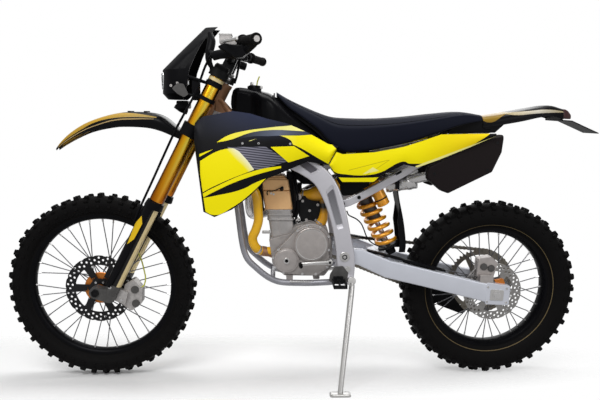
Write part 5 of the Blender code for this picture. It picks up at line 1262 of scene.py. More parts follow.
def fork_legs():
    for side, name in SIDES:
        bore = SLIDER_RADIUS + 0.0006
        tube_profile = [(0.4, bore), (0.4005, 0.0258), (0.406, 0.0262), (0.43, 0.0262), (0.433, 0.0255),
            (0.615, 0.0255), (0.65, OUTER_RADIUS), (0.9245, OUTER_RADIUS), (0.926, 0.026), (0.926, bore - 0.006)]
        fitted(f"fork_tube_{name}", on_fork(along_leg(tube_profile), side), "fork", "gold anodising",
            f"fork_outer_{name}", sharp=25)
        cap_profile = [(0.92, 0.012), (0.92, 0.0254), (0.931, 0.025), (0.9335, 0.0225), (0.9338, 0.012)]
        cap = merged(along_leg(cap_profile), along_leg([(0.93, 0.0098), (0.936, 0.0094), (0.9362, 0.0)], 6, False))
        fitted(f"fork_cap_{name}", on_fork(cap, side), "fork", "dark metal", sharp=30)
        for start, end, finish in ((0.905, 0.9262, "black moulding"), (0.8722, 0.884, "cream slider"),
                (0.862, 0.872, "black moulding")):
            ring = along_leg([(start, OUTER_RADIUS - 0.0005), (start, OUTER_RADIUS + 0.0009),
                (end, OUTER_RADIUS + 0.0009), (end, OUTER_RADIUS - 0.0005)])
            fitted(f"fork_band_{name}_{round(start * 1000)}", on_fork(ring, side), "fork", finish, sharp=30)
    inner, feet = [], []
    for side in (-1, 1):
        inner.append(on_fork(along_leg([(0.04, SLIDER_RADIUS), (0.4235, SLIDER_RADIUS)], 40, False), side))
        socket = along_leg([(0.0, 0.014), (0.006, 0.018), (0.02, 0.0246), (0.05, 0.025), (0.056, 0.0238)], 40, False)
        edge = arc((-AXLE_LEAD, 0.0), 0.0222, 80, 290, 20) + arc((0.0, 0.012), 0.026, -70, 80, 12)
        lug = moved(pierced([edge], 0.036), Matrix.Translation((0, -LEG_SPREAD, 0)) @ FLAT_TO_SIDE)
        feet.append(on_fork(united(socket, lug), side))
    fitted("fork_inner_tubes", merged(*inner), "fork", "cream slider", "fork_sliders")
    fitted("fork_feet", merged(*feet), "fork", "dark casting", "fork_sliders", bevel=0.0012)
    marks = [(fork_point(-0.01, s * (LEG_SPREAD + 0.024), 0.046), SIDE * s) for s in (-1, 1)]
    bolts("fork_foot_bolts", marks, 0.0062, "fork", "ground steel")
    reach = LEG_SPREAD + 0.0215
    axle = merged(bar(FRONT_AXLE - SIDE * reach, FRONT_AXLE + SIDE * reach, AXLE_BAR, 24),
        turned([(-0.004, 0.0095), (-0.004, 0.015), (0.004, 0.015), (0.004, 0.0095)],
        FRONT_AXLE - SIDE * (reach - 0.002), SIDE, 6))
    fitted("front_axle_bar", axle, "fork", "dark metal", sharp=30)


def fork_guards():
    """Half shells over the inner tubes, with a yellow flash on the flank."""
    inner, outer = SLIDER_RADIUS + 0.006, SLIDER_RADIUS + 0.009
    stations = curve_through([(0.045, 70), (0.06, 76), (0.12, 84), (0.25, 88), (0.376, 96)], 4)
    for side, name in SIDES:
        rings = []
        for height, reach in stations:
            shell = arc((0, -LEG_SPREAD), outer, 180 - 62, 180 + reach, 24)
            shell += arc((0, -LEG_SPREAD), inner, 180 + reach, 180 - 62, 24)
            rings.append([Vector((x, y, height)) for x, y in shell])
        collar = along_leg([(0.371, SLIDER_RADIUS + 0.0006), (0.371, 0.0338), (0.374, 0.0345), (0.396, 0.0312),
            (0.399, SLIDER_RADIUS + 0.0006)])
        fitted(f"fork_guard_shell_{name}", on_fork(merged(loft(rings), collar), side), "fork", "guard film",
            f"fork_guard_{name}", sharp=40)


def clamp_outline(ring, middle):
    left = arc((0.0, -LEG_SPREAD), ring, 100, 390, 24)
    rear = arc((STEM_OFFSET, 0.0), middle, -50, 50, 10)
    right = [(x, -y) for x, y in reversed(left)]
    return left + rear + right + [(-0.004, 0.035), (-0.004, -0.035)]


BAR_HEIGHT = 0.966
BAR_BACK = 0.01
BAR_RADIUS = 0.0143
BAR_END_RADIUS = 0.011
BAR_END = Vector((0.5914, -0.4, 1.2165))
GRIP_LENGTH = 0.125


def triple_clamps():
    holes = [circle(OUTER_RADIUS + 0.0004, 40, (0.0, s * LEG_SPREAD)) for s in (-1, 1)]
    for name, low, high, ring, middle, finish in (("lower", 0.6585, 0.7035, 0.036, 0.034, "black moulding"),
            ("upper", 0.887, 0.915, 0.035, 0.03, "dark metal")):
        plate = moved(pierced([clamp_outline(ring, middle), *holes], high - low),
            Matrix.Translation((0, 0, (low + high) / 2)))
        fitted(f"{name}_clamp_plate", on_fork(plate), "fork", finish, f"{name}_triple_clamp", bevel=0.0025, sharp=30)
        marks = []
        for side in (-1, 1):
            for level in ((low + 0.01, high - 0.01) if name == "lower" else ((low + high) / 2,)):
                marks.append((fork_point(0.037, side * (LEG_SPREAD - 0.014), level), BACK_FORK))
        bolts(f"{name}_clamp_bolts", marks, 0.0055, "fork", "ground steel", 0.006)
    stem = turned([(0.66, 0.0), (0.66, 0.0155), (0.916, 0.0155), (0.916, 0.02), (0.9225, 0.02), (0.924, 0.017),
        (0.924, 0.0)], (STEM_OFFSET, 0, 0), UP, 32)
    fitted("steering_stem", on_fork(stem), "fork", "ground steel", sharp=30)
    risers = []
    for s in (-1, 1):
        edge = rounded([(-0.012, 0.909), (0.032, 0.909), (0.03, BAR_HEIGHT + 0.0215), (-0.01, BAR_HEIGHT + 0.0215)],
            0.01, 6)
        hole = circle(BAR_RADIUS + 0.0006, 32, (BAR_BACK, BAR_HEIGHT))
        risers.append(on_fork(moved(pierced([edge, hole], 0.026), Matrix.Translation((0, s * 0.04, 0))
            @ FLAT_TO_SIDE)))
    fitted("bar_risers", merged(*risers), "fork", "dark metal", bevel=0.0015, sharp=30)
    marks = [(fork_point(BAR_BACK + dx, s * 0.04 + dy, BAR_HEIGHT + 0.0225), UP_FORK) for s in (-1, 1)
        for dx in (-0.013, 0.013) for dy in (-0.007, 0.007)]
    bolts("riser_bolts", marks, 0.0042, "fork", "ground steel")


def bar_points():
    centre = fork_point(BAR_BACK, 0.0, BAR_HEIGHT)
    outer = BAR_END + (Vector((0.525, -0.24, 1.2205)) - BAR_END) * 0.02
    left = [outer, Vector((0.551, -0.3, 1.2205)), Vector((0.525, -0.235, 1.2205)), Vector((0.505, -0.165, 1.211)),
        centre + Vector((0.0, -0.085, 0.004)), centre + Vector((0.0, -0.055, 0.0))]
    return left + [Vector((p.x, -p.y, p.z)) for p in reversed(left)]


def both_sides(make):
    """The shape for the left side and its mirror image in one mesh."""
    return merged(make(), mirrored(make()))


def handlebar():
    points = curve_through(bar_points(), 6)
    radii = [BAR_RADIUS if abs(p.y) < 0.095 else BAR_END_RADIUS + (BAR_RADIUS - BAR_END_RADIUS)
        * max(0.0, min(1.0, (0.155 - abs(p.y)) / 0.06)) for p in points]
    fitted("handlebar_tube", tube(points, radii, 24), "fork", "dark metal", "handlebar", sharp=30)
    inward = (Vector((0.551, -0.3, 1.2205)) - BAR_END).normalized()
    grip = [(-0.003, 0.0), (-0.003, 0.0165), (-0.001, 0.0185), (0.008, 0.018)]
    for i in range(14):
        start = 0.012 + i * 0.0074
        grip += [(start, 0.0154), (start + 0.0012, 0.0166), (start + 0.0054, 0.0166), (start + 0.0066, 0.0154)]
    grip += [(GRIP_LENGTH - 0.009, 0.017), (GRIP_LENGTH - 0.006, 0.022), (GRIP_LENGTH - 0.001, 0.022),
        (GRIP_LENGTH, 0.0112), (GRIP_LENGTH, 0.0)]
    fitted("hand_grips", both_sides(lambda: turned(grip, BAR_END, inward, 28, False)), "fork", "tyre rubber",
        sharp=40)
    plug = [(-0.0062, 0.0), (-0.0062, 0.0095), (-0.003, 0.0108), (-0.003, 0.0)]
    fitted("bar_ends", both_sides(lambda: turned(plug, BAR_END, inward, 24)), "fork", "brake disc")


LEVER_MOUNT = Vector((0.531, -0.25, 1.2205))
RING_AXIS = (-0.34, -0.94, 0.0)


def lever_perch():
    ring = turned([(-0.014, BAR_END_RADIUS + 0.0002), (-0.014, 0.0165), (-0.012, 0.018), (0.012, 0.018),
        (0.014, 0.0165), (0.014, BAR_END_RADIUS + 0.0002)], LEVER_MOUNT, RING_AXIS, 28)
    neck = bar(LEVER_MOUNT + Vector((-0.013, 0.0, 0.0)), LEVER_MOUNT + Vector((-0.05, 0.012, 0.004)), 0.0115, 20)
    return merged(ring, neck)


def fluid_tank():
    low, high = LEVER_MOUNT + Vector((-0.062, -0.018, -0.006)), LEVER_MOUNT + Vector((-0.022, 0.03, 0.0245))
    return block(low, high, 0.006)


def tank_lid():
    low, high = LEVER_MOUNT + Vector((-0.0635, -0.0195, 0.0225)), LEVER_MOUNT + Vector((-0.0205, 0.0315, 0.027))
    return block(low, high, 0.002)


def hand_lever():
    path = curve_through([LEVER_MOUNT + Vector(p)
        for p in ((-0.046, 0.006, 0.002), (-0.052, -0.03, 0.0), (-0.036, -0.075, -0.002), (-0.014, -0.12, -0.004),
        (0.001, -0.143, -0.003))], 8)
    radii = tapered(path, 0.0062, 0.002)
    knob = turned([(-0.006, 0.0), (-0.0045, 0.0045), (0.0, 0.0062), (0.0045, 0.0045), (0.006, 0.0)], path[-1],
        (0.4, -0.9, 0.0), 16, False)
    return merged(tube(path, radii, 16, 0.72), knob)


def hand_controls():
    fitted("lever_perches", both_sides(lever_perch), "fork", "dark metal", sharp=30)
    fitted("fluid_tanks", both_sides(fluid_tank), "fork", "pale casting", bevel=0.002, sharp=30)
    fitted("tank_lids", both_sides(tank_lid), "fork", "bright alloy", bevel=0.001, sharp=30)
    fitted("hand_levers", both_sides(hand_lever), "fork", "bright alloy", sharp=45)


def lever_guard():
    """Black cover under the grip, from the perch out to the bar's end."""
    path = curve_through(((0.508, -0.222, 1.19), (0.53, -0.255, 1.188), (0.556, -0.305, 1.194), (0.58, -0.352, 1.205),
        (0.593, -0.385, 1.212)), 6)
    return tube(path, tapered(path, 0.019, 0.009), 18, 0.9)


def hand_cylinder():
    return tube(curve_through(((0.444, -0.205, 1.183), (0.47, -0.215, 1.188), (0.505, -0.228, 1.188),
        (0.527, -0.236, 1.182)), 5), 0.0155, 20)


def lever_covers():
    plate = side_plate(rounded([(0.464, 1.201), (0.49, 1.19), (0.522, 1.169), (0.546, 1.17), (0.566, 1.188),
        (0.578, 1.208), (0.56, 1.211), (0.53, 1.206), (0.49, 1.212)], 0.005, 4), -0.318, -0.262)
    fitted("lever_shield", plate, "fork", "black moulding", bevel=0.004, sharp=40)
    clip = side_plate(rounded([(0.476, 1.215), (0.49, 1.225), (0.52, 1.223), (0.53, 1.21), (0.49, 1.209)], 0.003, 3),
        -0.3, -0.276)
    fitted("lever_clip", clip, "fork", "pale casting", bevel=0.002, sharp=40)
    fitted("lever_guard", lever_guard(), "fork", "black moulding", sharp=40)
    fitted("hand_cylinders", both_sides(hand_cylinder), "fork", "black moulding", sharp=40)


def bar_fittings():
    trunk = curve_through(((0.419, -0.08, 1.272), (0.426, -0.092, 1.242), (0.42, -0.104, 1.208),
        (0.418, -0.108, 1.176), (0.429, -0.106, 1.149)), 6)
    girth = [0.009, 0.015, 0.015, 0.011, 0.007]
    widths = [girth[min(3, i // 6)] + (girth[min(4, i // 6 + 1)] - girth[min(3, i // 6)]) * ((i % 6) / 6)
        for i in range(len(trunk))]
    fitted("cable_trunk", tube(trunk, widths, 16), "fork", "black cable", sharp=50)
    bridge = curve_through(((0.42, -0.104, 1.205), (0.434, -0.15, 1.196), (0.45, -0.2, 1.185)), 5)
    wires("cable_bridge", [bridge], 0.009, "fork", "black cable")
    switch = both_sides(lambda: block(Vector((0.508, -0.212, 1.203)), Vector((0.538, -0.184, 1.238)), 0.006))
    fitted("switch_blocks", switch, "fork", "black moulding", bevel=0.002, sharp=30)
    centre = fork_point(BAR_BACK, 0.0, BAR_HEIGHT)
    pad = block(centre + Vector((-0.03, -0.07, 0.018)), centre + Vector((0.024, 0.07, 0.032)), 0.006)
    fitted("instrument", pad, "fork", "black moulding", bevel=0.003, sharp=30)


def arched_section(x, z, half, drop, wall, steps=7):
    """Section of a fender: a low arch with its two skirts, as one closed ring."""
    outer = curve_through([(-half, -drop), (-half * 0.97, -drop * 0.35), (-half * 0.7, -drop * 0.06), (0.0, 0.0),
        (half * 0.7, -drop * 0.06), (half * 0.97, -drop * 0.35), (half, -drop)], steps)
    inner = [(y * (half - wall) / half, h - wall) for y, h in reversed(outer[1:-1])]
    inner = [(half - wall, -drop)] + inner + [(-half + wall, -drop)]
    return [Vector((x, p[0], z + p[1])) for p in [*outer, *inner]]


def fender_shell(stations, wall):
    return loft([arched_section(*station, wall) for station in curve_through(stations, 5)])


def front_fender():
    stations = [(-0.15, 0.867, 0.018, 0.008), (-0.125, 0.893, 0.038, 0.015), (-0.085, 0.927, 0.054, 0.026),
        (-0.03, 0.96, 0.063, 0.036), (0.04, 0.985, 0.067, 0.046), (0.11, 0.998, 0.069, 0.053),
        (0.19, 0.997, 0.069, 0.055), (0.24, 0.984, 0.068, 0.054), (0.282, 0.952, 0.064, 0.04),
        (0.325, 0.9185, 0.06, 0.024), (0.37, 0.8955, 0.056, 0.014)]
    fitted("front_fender_shell", fender_shell(stations, 0.0035), "fork", "front fender film", "front_fender",
        sharp=45)
    boss = moved(block((-0.022, -0.034, 0.64), (0.02, 0.034, 0.658), 0.004), FORK_FRAME)
    fitted("front_fender_mount", boss, "fork", "black moulding", bevel=0.001)
    marks = [((x, y, 1.0005 - 0.02 * (y / 0.069) ** 4), UP) for x in (0.12, 0.178) for y in (-0.026, 0.026)]
    bolts("front_fender_bolts", marks, 0.006, "fork", "dark metal")


def mask_ring(z, front, rear, half, wall=0.004):
    outer = curve_through([(rear, -half), (front + 0.045, -half * 0.98), (front + 0.01, -half * 0.62), (front, 0.0),
        (front + 0.01, half * 0.62), (front + 0.045, half * 0.98), (rear, half)], 4)
    inner = curve_through([(rear, half - wall), (front + 0.046, half * 0.98 - wall),
        (front + 0.012 + wall, half * 0.6), (front + wall + 0.001, 0.0), (front + 0.012 + wall, -half * 0.6),
        (front + 0.046, -half * 0.98 + wall), (rear, -half + wall)], 4)
    return [Vector((p[0], p[1], z)) for p in [*outer, *inner]]


LAMP_MIDDLE = 1.107


def headlamp_mask():
    levels = [(1.044, 0.258, 0.318, 0.07), (1.064, 0.241, 0.335, 0.095), (1.146, 0.243, 0.35, 0.108),
        (1.2, 0.296, 0.372, 0.095), (1.25, 0.346, 0.398, 0.075), (1.298, 0.394, 0.444, 0.045)]
    fine = []
    for start, end in zip(levels, levels[1:]):
        fine += [tuple(a + (b - a) * t for a, b in zip(start, end)) for t in (0.0, 0.08, 0.5, 0.92)]
    fine.append(levels[-1])
    rings = [mask_ring(*level) for level in fine]
    opening = rounded([(-0.058, 1.076), (0.058, 1.076), (0.072, 1.138), (-0.072, 1.138)], 0.012, 6)
    cutter = loft([[Vector((x, y, z)) for y, z in opening] for x in (0.2, 0.275)])
    fitted("headlamp_mask_shell", cut(loft(rings), cutter), "fork", "black moulding", "headlamp_mask", bevel=0.0012,
        sharp=32)
    straps = []
    for s in (-1, 1):
        straps.append(bar((0.342, s * 0.102, 1.124), (0.424, s * 0.102, 1.096), 0.005, 12))
        straps.append(bar((0.324, s * 0.09, 1.066), (0.402, s * 0.101, 1.046), 0.005, 12))
        for level in (0.796, 0.853):
            straps.append(
                on_fork(along_leg([(level, OUTER_RADIUS + 0.0002), (level, OUTER_RADIUS + 0.004),
                (level + 0.014, OUTER_RADIUS + 0.004), (level + 0.014, OUTER_RADIUS + 0.0002)]), s))
    fitted("mask_straps", merged(*straps), "fork", "black moulding", sharp=35)

    def lamp(stations):
        return loft([[Vector((x, y * scale, LAMP_MIDDLE + (z - LAMP_MIDDLE) * scale)) for y, z in opening]
            for x, scale in stations])

    fitted("headlamp_glass", lamp(((0.2445, 0.9), (0.247, 0.97), (0.249, 0.97), (0.2495, 0.9))), "fork", "lamp glass",
        sharp=30)
    bowl = lamp(((0.25, 0.975), (0.262, 1.0), (0.285, 0.96), (0.315, 0.52), (0.33, 0.3), (0.326, 0.28), (0.31, 0.46),
        (0.283, 0.88), (0.262, 0.93), (0.25, 0.93)))
    fitted("headlamp_bowl", bowl, "fork", "reflector", "headlamp", sharp=30)
    bulb = turned([(0.0, 0.0), (0.0, 0.012), (0.01, 0.013), (0.02, 0.008), (0.04, 0.0)], (0.3, 0.0, LAMP_MIDDLE),
        (-1.0, 0.0, 0.0), 20, False)
    fitted("headlamp_bulb", bulb, "fork", "ground steel", sharp=30)
    horn = merged(block(Vector((0.292, -0.04, 1.012)), Vector((0.334, 0.04, 1.04)), 0.006),
        turned([(0.0, 0.0), (0.0, 0.022), (0.012, 0.026), (0.022, 0.026), (0.026, 0.0)], (0.31, 0.0, 1.022),
        (-0.5, 0.0, -0.86), 28, False))
    fitted("horn", horn, "fork", "black moulding", sharp=30)
    stays = [((x, -0.1105, z), -SIDE) for x, z in ((0.286, 1.09), (0.308, 1.0985), (0.326, 1.082), (0.318, 1.064))]
    bolts("mask_screws", stays, 0.0046, "fork", "pale casting", 0.0024)
    plate = side_plate(rounded([(0.289, 1.08), (0.308, 1.098), (0.33, 1.096), (0.346, 1.06), (0.33, 1.05),
        (0.308, 1.062)], 0.005, 3), -0.1125, -0.1105)
    fitted("mask_bracket", plate, "fork", "dark casting", sharp=30)
    relay = block(Vector((0.356, -0.0985, 1.04)), Vector((0.384, -0.078, 1.112)), 0.006)
    fitted("relay_box", relay, "fork", "black moulding", bevel=0.002, sharp=30)


def front_brake():
    edge = rounded([(0.082, 0.3), (0.118, 0.27), (0.158, 0.3), (0.16, 0.35), (0.13, 0.392), (0.098, 0.372)], 0.012, 5)
    body = side_plate(edge, FRONT_DISC_Y - 0.024, FRONT_DISC_Y + 0.022)
    slot = side_plate([(0.0, 0.2), (0.131, 0.2), (0.131, 0.45), (0.0, 0.45)], FRONT_DISC_Y - 0.005,
        FRONT_DISC_Y + 0.005)
    lugs = side_plate([(0.058, 0.318), (0.1, 0.3), (0.112, 0.345), (0.072, 0.365)], -0.1, -0.079)
    fitted("front_caliper_body", united(cut(body, slot), lugs), "fork", "pale casting", "front_caliper", bevel=0.0018,
        sharp=32)
    caps = merged(*[turned([(0.0, 0.0), (0.0, 0.0135), (0.003, 0.0145), (0.006, 0.0145), (0.006, 0.0)],
        (x, FRONT_DISC_Y - 0.029, z), SIDE, 28) for x, z in ((0.136, 0.3), (0.134, 0.352))])
    fitted("front_caliper_caps", caps, "fork", "dark casting", sharp=30)
    marks = [((x, -0.1005, z), -SIDE) for x, z in ((0.072, 0.345), (0.088, 0.318))]
    bolts("front_caliper_bolts", marks, 0.005, "fork", "ground steel")


class ENDURO_OT_fork(bpy.types.Operator):
    """Fork tubes, guards, clamps, handlebar, headlamp mask, front fender and front brake"""

    bl_idname = "enduro.fork"
    bl_label = "Fork and front end"

    def execute(self, context):
        fork_legs()
        fork_guards()
        triple_clamps()
        handlebar()
        hand_controls()
        lever_covers()
        bar_fittings()
        front_fender()
        headlamp_mask()
        front_brake()
        return {"FINISHED"}


# Frame

HEAD = FORK_FRAME @ Vector((STEM_OFFSET, 0.0, 0.795))
CROSS_TUBE = Vector((0.866, 0.0, 0.672))
SHOCK_TOP = Vector((0.962, 0.0, 0.73))
SHOCK_FOOT = Vector((1.093, 0.0, 0.478))
SPAR = [(HEAD.x - 0.0099, HEAD.z - 0.0485, 0.032, -0.018, 0.014),
    (HEAD.x + 0.0561, HEAD.z - 0.0785, 0.036, -0.055, 0.014), (0.57, 0.905, 0.034, -0.09, 0.014),
    (0.67, 0.852, 0.032, -0.106, 0.014), (0.755, 0.812, 0.033, -0.114, 0.014), (0.812, 0.772, 0.034, -0.119, 0.014),
    (0.848, 0.712, 0.034, -0.124, 0.014), (0.872, 0.64, 0.031, -0.129, 0.013),
    (0.89, 0.56, 0.03, -PLATE_Y, PLATE_HALF), (0.902, 0.488, 0.033, -PLATE_Y, PLATE_HALF),
    (0.905, 0.43, 0.03, -PLATE_Y, PLATE_HALF), (0.903, 0.386, 0.026, -PLATE_Y, PLATE_HALF)]
POCKETS = ([(0.714, 0.827), (0.758, 0.835), (0.81, 0.796), (0.779, 0.782), (0.728, 0.82)],
    [(0.852, 0.752), (0.827, 0.727), (0.869, 0.588), (0.894, 0.594)])
POCKET_DEPTH = 0.0062


def beam(stations, steps=4, radius=0.007):
    """Box beam with rounded edges through stations of (x, z, half height, y, half width)."""
    fine = curve_through(stations, steps)
    rings = []
    for i, (x, z, half_height, y, half_width) in enumerate(fine):
        before, after = fine[max(i - 1, 0)], fine[min(i + 1, len(fine) - 1)]
        along = Vector((after[0] - before[0], 0.0, after[1] - before[1])).normalized()
        up = Vector((-along.z, 0.0, along.x))
        h, w = half_height, half_width
        section = rounded([(h, w), (-h, w), (-h, -w), (h, -w)], radius, 3)
        rings.append([Vector((x, y, z)) + up * a + SIDE * b for a, b in section])
    return loft(rings)


def spar_side(x, z):
    """Y of the left spar's outer face beside a point of the side view."""
    shares = [(math.hypot(s[0] - x, s[1] - z) ** -4, s[3] - s[4]) for s in curve_through(SPAR, 4)]
    return sum(share * y for share, y in shares) / sum(share for share, _ in shares)


def shrunk(outline, scale):
    middle = sum((Vector(p) for p in outline), Vector((0.0, 0.0))) / len(outline)
    return [middle + (Vector(p) - middle) * scale for p in outline]


def main_frame():
    left = beam(SPAR)
    floors = []
    for pocket in POCKETS:
        outline = rounded(pocket, 0.006, 4)
        floor = shrunk(outline, 0.82)
        cutter = loft([[Vector((x, -0.2, z)) for x, z in outline],
            [Vector((x, spar_side(x, z), z)) for x, z in outline],
            [Vector((x, spar_side(x, z) + POCKET_DEPTH, z)) for x, z in floor]])
        left = cut(left, cutter)
        inset = shrunk(outline, 0.8)
        floors.append(loft([[Vector((x, spar_side(x, z) + POCKET_DEPTH - rise, z)) for x, z in inset]
            for rise in (-0.0004, 0.0004)]))
    spars = merged(left.copy(), mirrored(left))
    fitted("twin_spars", spars, "frame", "silver paint", "main_frame", bevel=0.0012, sharp=34)
    floors += [mirrored(floor.copy()) for floor in floors]
    # Thin sheets on the pocket floors carry the painted recess shade.
    fitted("spar_pocket_floors", merged(*floors), "frame", "dark recess")
    low, high = 0.7075, 0.883
    head = turned([(low, 0.017), (low, 0.03), (low + 0.012, 0.03), (low + 0.016, 0.0285), (high - 0.016, 0.0285),
        (high - 0.012, 0.03), (high, 0.03), (high, 0.017)], (STEM_OFFSET, 0, 0), UP, 40)
    # The head tube and gussets carry painted shade and a painted gold reflection in place of the frame's silver.
    fitted("head_tube", on_fork(head), "frame", "copper bracket", "main_frame", sharp=30)
    gussets = [tube([(HEAD.x + 0.008, s * 0.016, HEAD.z + 0.032), (0.522, s * 0.058, 0.956)], 0.0095, 16, 0.7)
        for s in (-1, 1)]
    webs = [side_plate([(HEAD.x + 0.01, HEAD.z + 0.02), (0.512, 0.966), (0.5, 0.94), (HEAD.x + 0.006, HEAD.z - 0.03)],
        y, y + 0.004) for y in (-0.034, 0.03)]
    fitted("head_gussets", merged(*gussets, *webs), "frame", "copper bracket", bevel=0.0006, sharp=30)
    cross_y = Vector((0.0, PLATE_Y - 0.004, 0.0))
    crossing = merged(bar(CROSS_TUBE - cross_y, CROSS_TUBE + cross_y, 0.013, 24),
        bar(PIVOT - SIDE * (PLATE_FACE + 0.001), PIVOT + SIDE * (PLATE_FACE + 0.001), AXLE_BAR, 24))
    fitted("cross_tubes", crossing, "frame", "silver paint", "main_frame", sharp=30)
    eye = SHOCK_TOP + (SHOCK_TOP - SHOCK_FOOT).normalized() * 0.03
    ears = [
        side_plate(rounded([(CROSS_TUBE.x - 0.008, CROSS_TUBE.z + 0.009),
        (CROSS_TUBE.x + 0.008, CROSS_TUBE.z - 0.009), (eye.x + 0.007, eye.z - 0.008), (eye.x + 0.01, eye.z + 0.004),
        (eye.x - 0.002, eye.z + 0.011), (eye.x - 0.01, eye.z + 0.007)], 0.004, 3), y, y + 0.006)
        for y in (-0.0164, 0.0104)]
    fitted("shock_ears", merged(*ears), "frame", "silver paint", bevel=0.0008)
    nut = both_sides(lambda: turned([(0.0, 0.0), (0.0, 0.0175), (0.0016, 0.0182), (0.0024, 0.0172), (0.0026, 0.012),
        (0.0034, 0.0112), (0.0034, 0.0)], PIVOT - SIDE * PLATE_FACE, -SIDE, 40, False))
    fitted("pivot_washers", nut, "frame", "bright alloy", sharp=30)
    cores = both_sides(lambda: turned([(0.0, 0.0), (0.0, 0.01), (0.004, 0.01), (0.004, 0.0062), (0.0012, 0.0058),
        (0.0012, 0.0)], PIVOT - SIDE * (PLATE_FACE + 0.0004), -SIDE, 6, False))
    fitted("pivot_bolts", cores, "frame", "dark metal", sharp=30)
    lower = both_sides(lambda: turned([(0.0, 0.0), (0.0, 0.012), (0.002, 0.0125), (0.0024, 0.0085), (0.004, 0.008),
        (0.004, 0.0)], (0.91, -PLATE_FACE, 0.444), -SIDE, 6, False))
    fitted("plate_bolts", lower, "frame", "bright alloy", sharp=30)
    stand_axis = Vector((0.0, -0.951, 0.308)).normalized()
    boss = bar(STAND_PIVOT - stand_axis * 0.018, STAND_PIVOT - stand_axis * 0.0003, 0.015, 28)
    fitted("stand_bracket", boss, "frame", "silver paint", bevel=0.001, sharp=30)


CRADLE = [(0.484, -0.02, 0.805), (0.501, -0.05, 0.725), (0.513, -0.078, 0.645), (0.536, -0.088, 0.495),
    (0.58, -0.09, 0.435), (0.65, -0.092, 0.387), (0.74, -0.095, 0.379), (0.83, -0.106, 0.384), (0.862, -0.122, 0.392),
    (0.888, -PLATE_Y, 0.402)]


def lower_cradle():
    sides = both_sides(lambda: tube(curve_through(CRADLE, 6), 0.0115, 20))
    down = tube(curve_through([(HEAD.x + 0.0131, 0.0, HEAD.z - 0.0815), (0.462, 0.0, 0.85), (0.486, 0.0, 0.785)], 4),
        [0.018 + 0.01 * i / 8 for i in range(9)], 24)
    cross = bar((0.64, -0.092, 0.39), (0.64, 0.092, 0.39), 0.009, 16)
    fitted("cradle_tubes", merged(sides, down, cross), "frame", "cradle paint", "lower_cradle", sharp=40)
    guard = [side_plate([(0.7, 0.39), (0.812, 0.389), (0.806, 0.3835), (0.706, 0.384)], y, y + 0.01)
        for y in (-0.1085, 0.0985)]
    fitted("cradle_plates", merged(*guard), "frame", "ground steel", bevel=0.0008)


def subframe():
    rails = [(0.822, 0.806, 0.012, -0.088, 0.008), (0.9, 0.828, 0.012, -0.086, 0.008),
        (1.05, 0.85, 0.012, -0.082, 0.008), (1.25, 0.895, 0.012, -0.076, 0.008), (1.43, 0.945, 0.012, -0.07, 0.008)]
    struts = [(0.889, 0.672, 0.014, -0.086, 0.008), (0.94, 0.69, 0.014, -0.086, 0.008),
        (1.13, 0.795, 0.014, -0.08, 0.008), (1.3, 0.905, 0.012, -0.075, 0.0075)]
    pieces = [both_sides(lambda: beam(rails, 4, 0.004)), both_sides(lambda: beam(struts, 4, 0.004))]
    for x, z in ((0.93, 0.8335), (1.17, 0.877), (1.4, 0.937)):
        pieces.append(bar((x, -0.08, z), (x, 0.08, z), 0.008, 16))
    for s in (-1, 1):
        pieces.append(bar((0.886, s * 0.084, 0.673), (0.874, s * 0.125, 0.676), 0.008, 16))
    pieces.append(bar((0.822, -0.112, 0.806), (0.822, 0.112, 0.806), 0.007, 16))
    fitted("subframe_rails", merged(*pieces), "frame", "silver paint", "subframe", sharp=34)
    marks = [((x, s * 0.0945, z), SIDE * s) for s in (-1, 1) for x, z in ((0.895, 0.674), (0.952, 0.697))]
    bolts("subframe_bolts", marks, 0.0065, "frame", "dark metal", 0.004)
    slots = both_sides(lambda: side_plate(rounded([(1.079, 0.772), (1.108, 0.789), (1.104, 0.796), (1.075, 0.779)],
        0.003, 4), -0.0893, -0.088))
    fitted("strut_slots", slots, "frame", "dark metal")


def along_arm(reach, rise=0.0):
    point = PIVOT.lerp(REAR_AXLE, reach)
    return (point.x, point.z + rise)


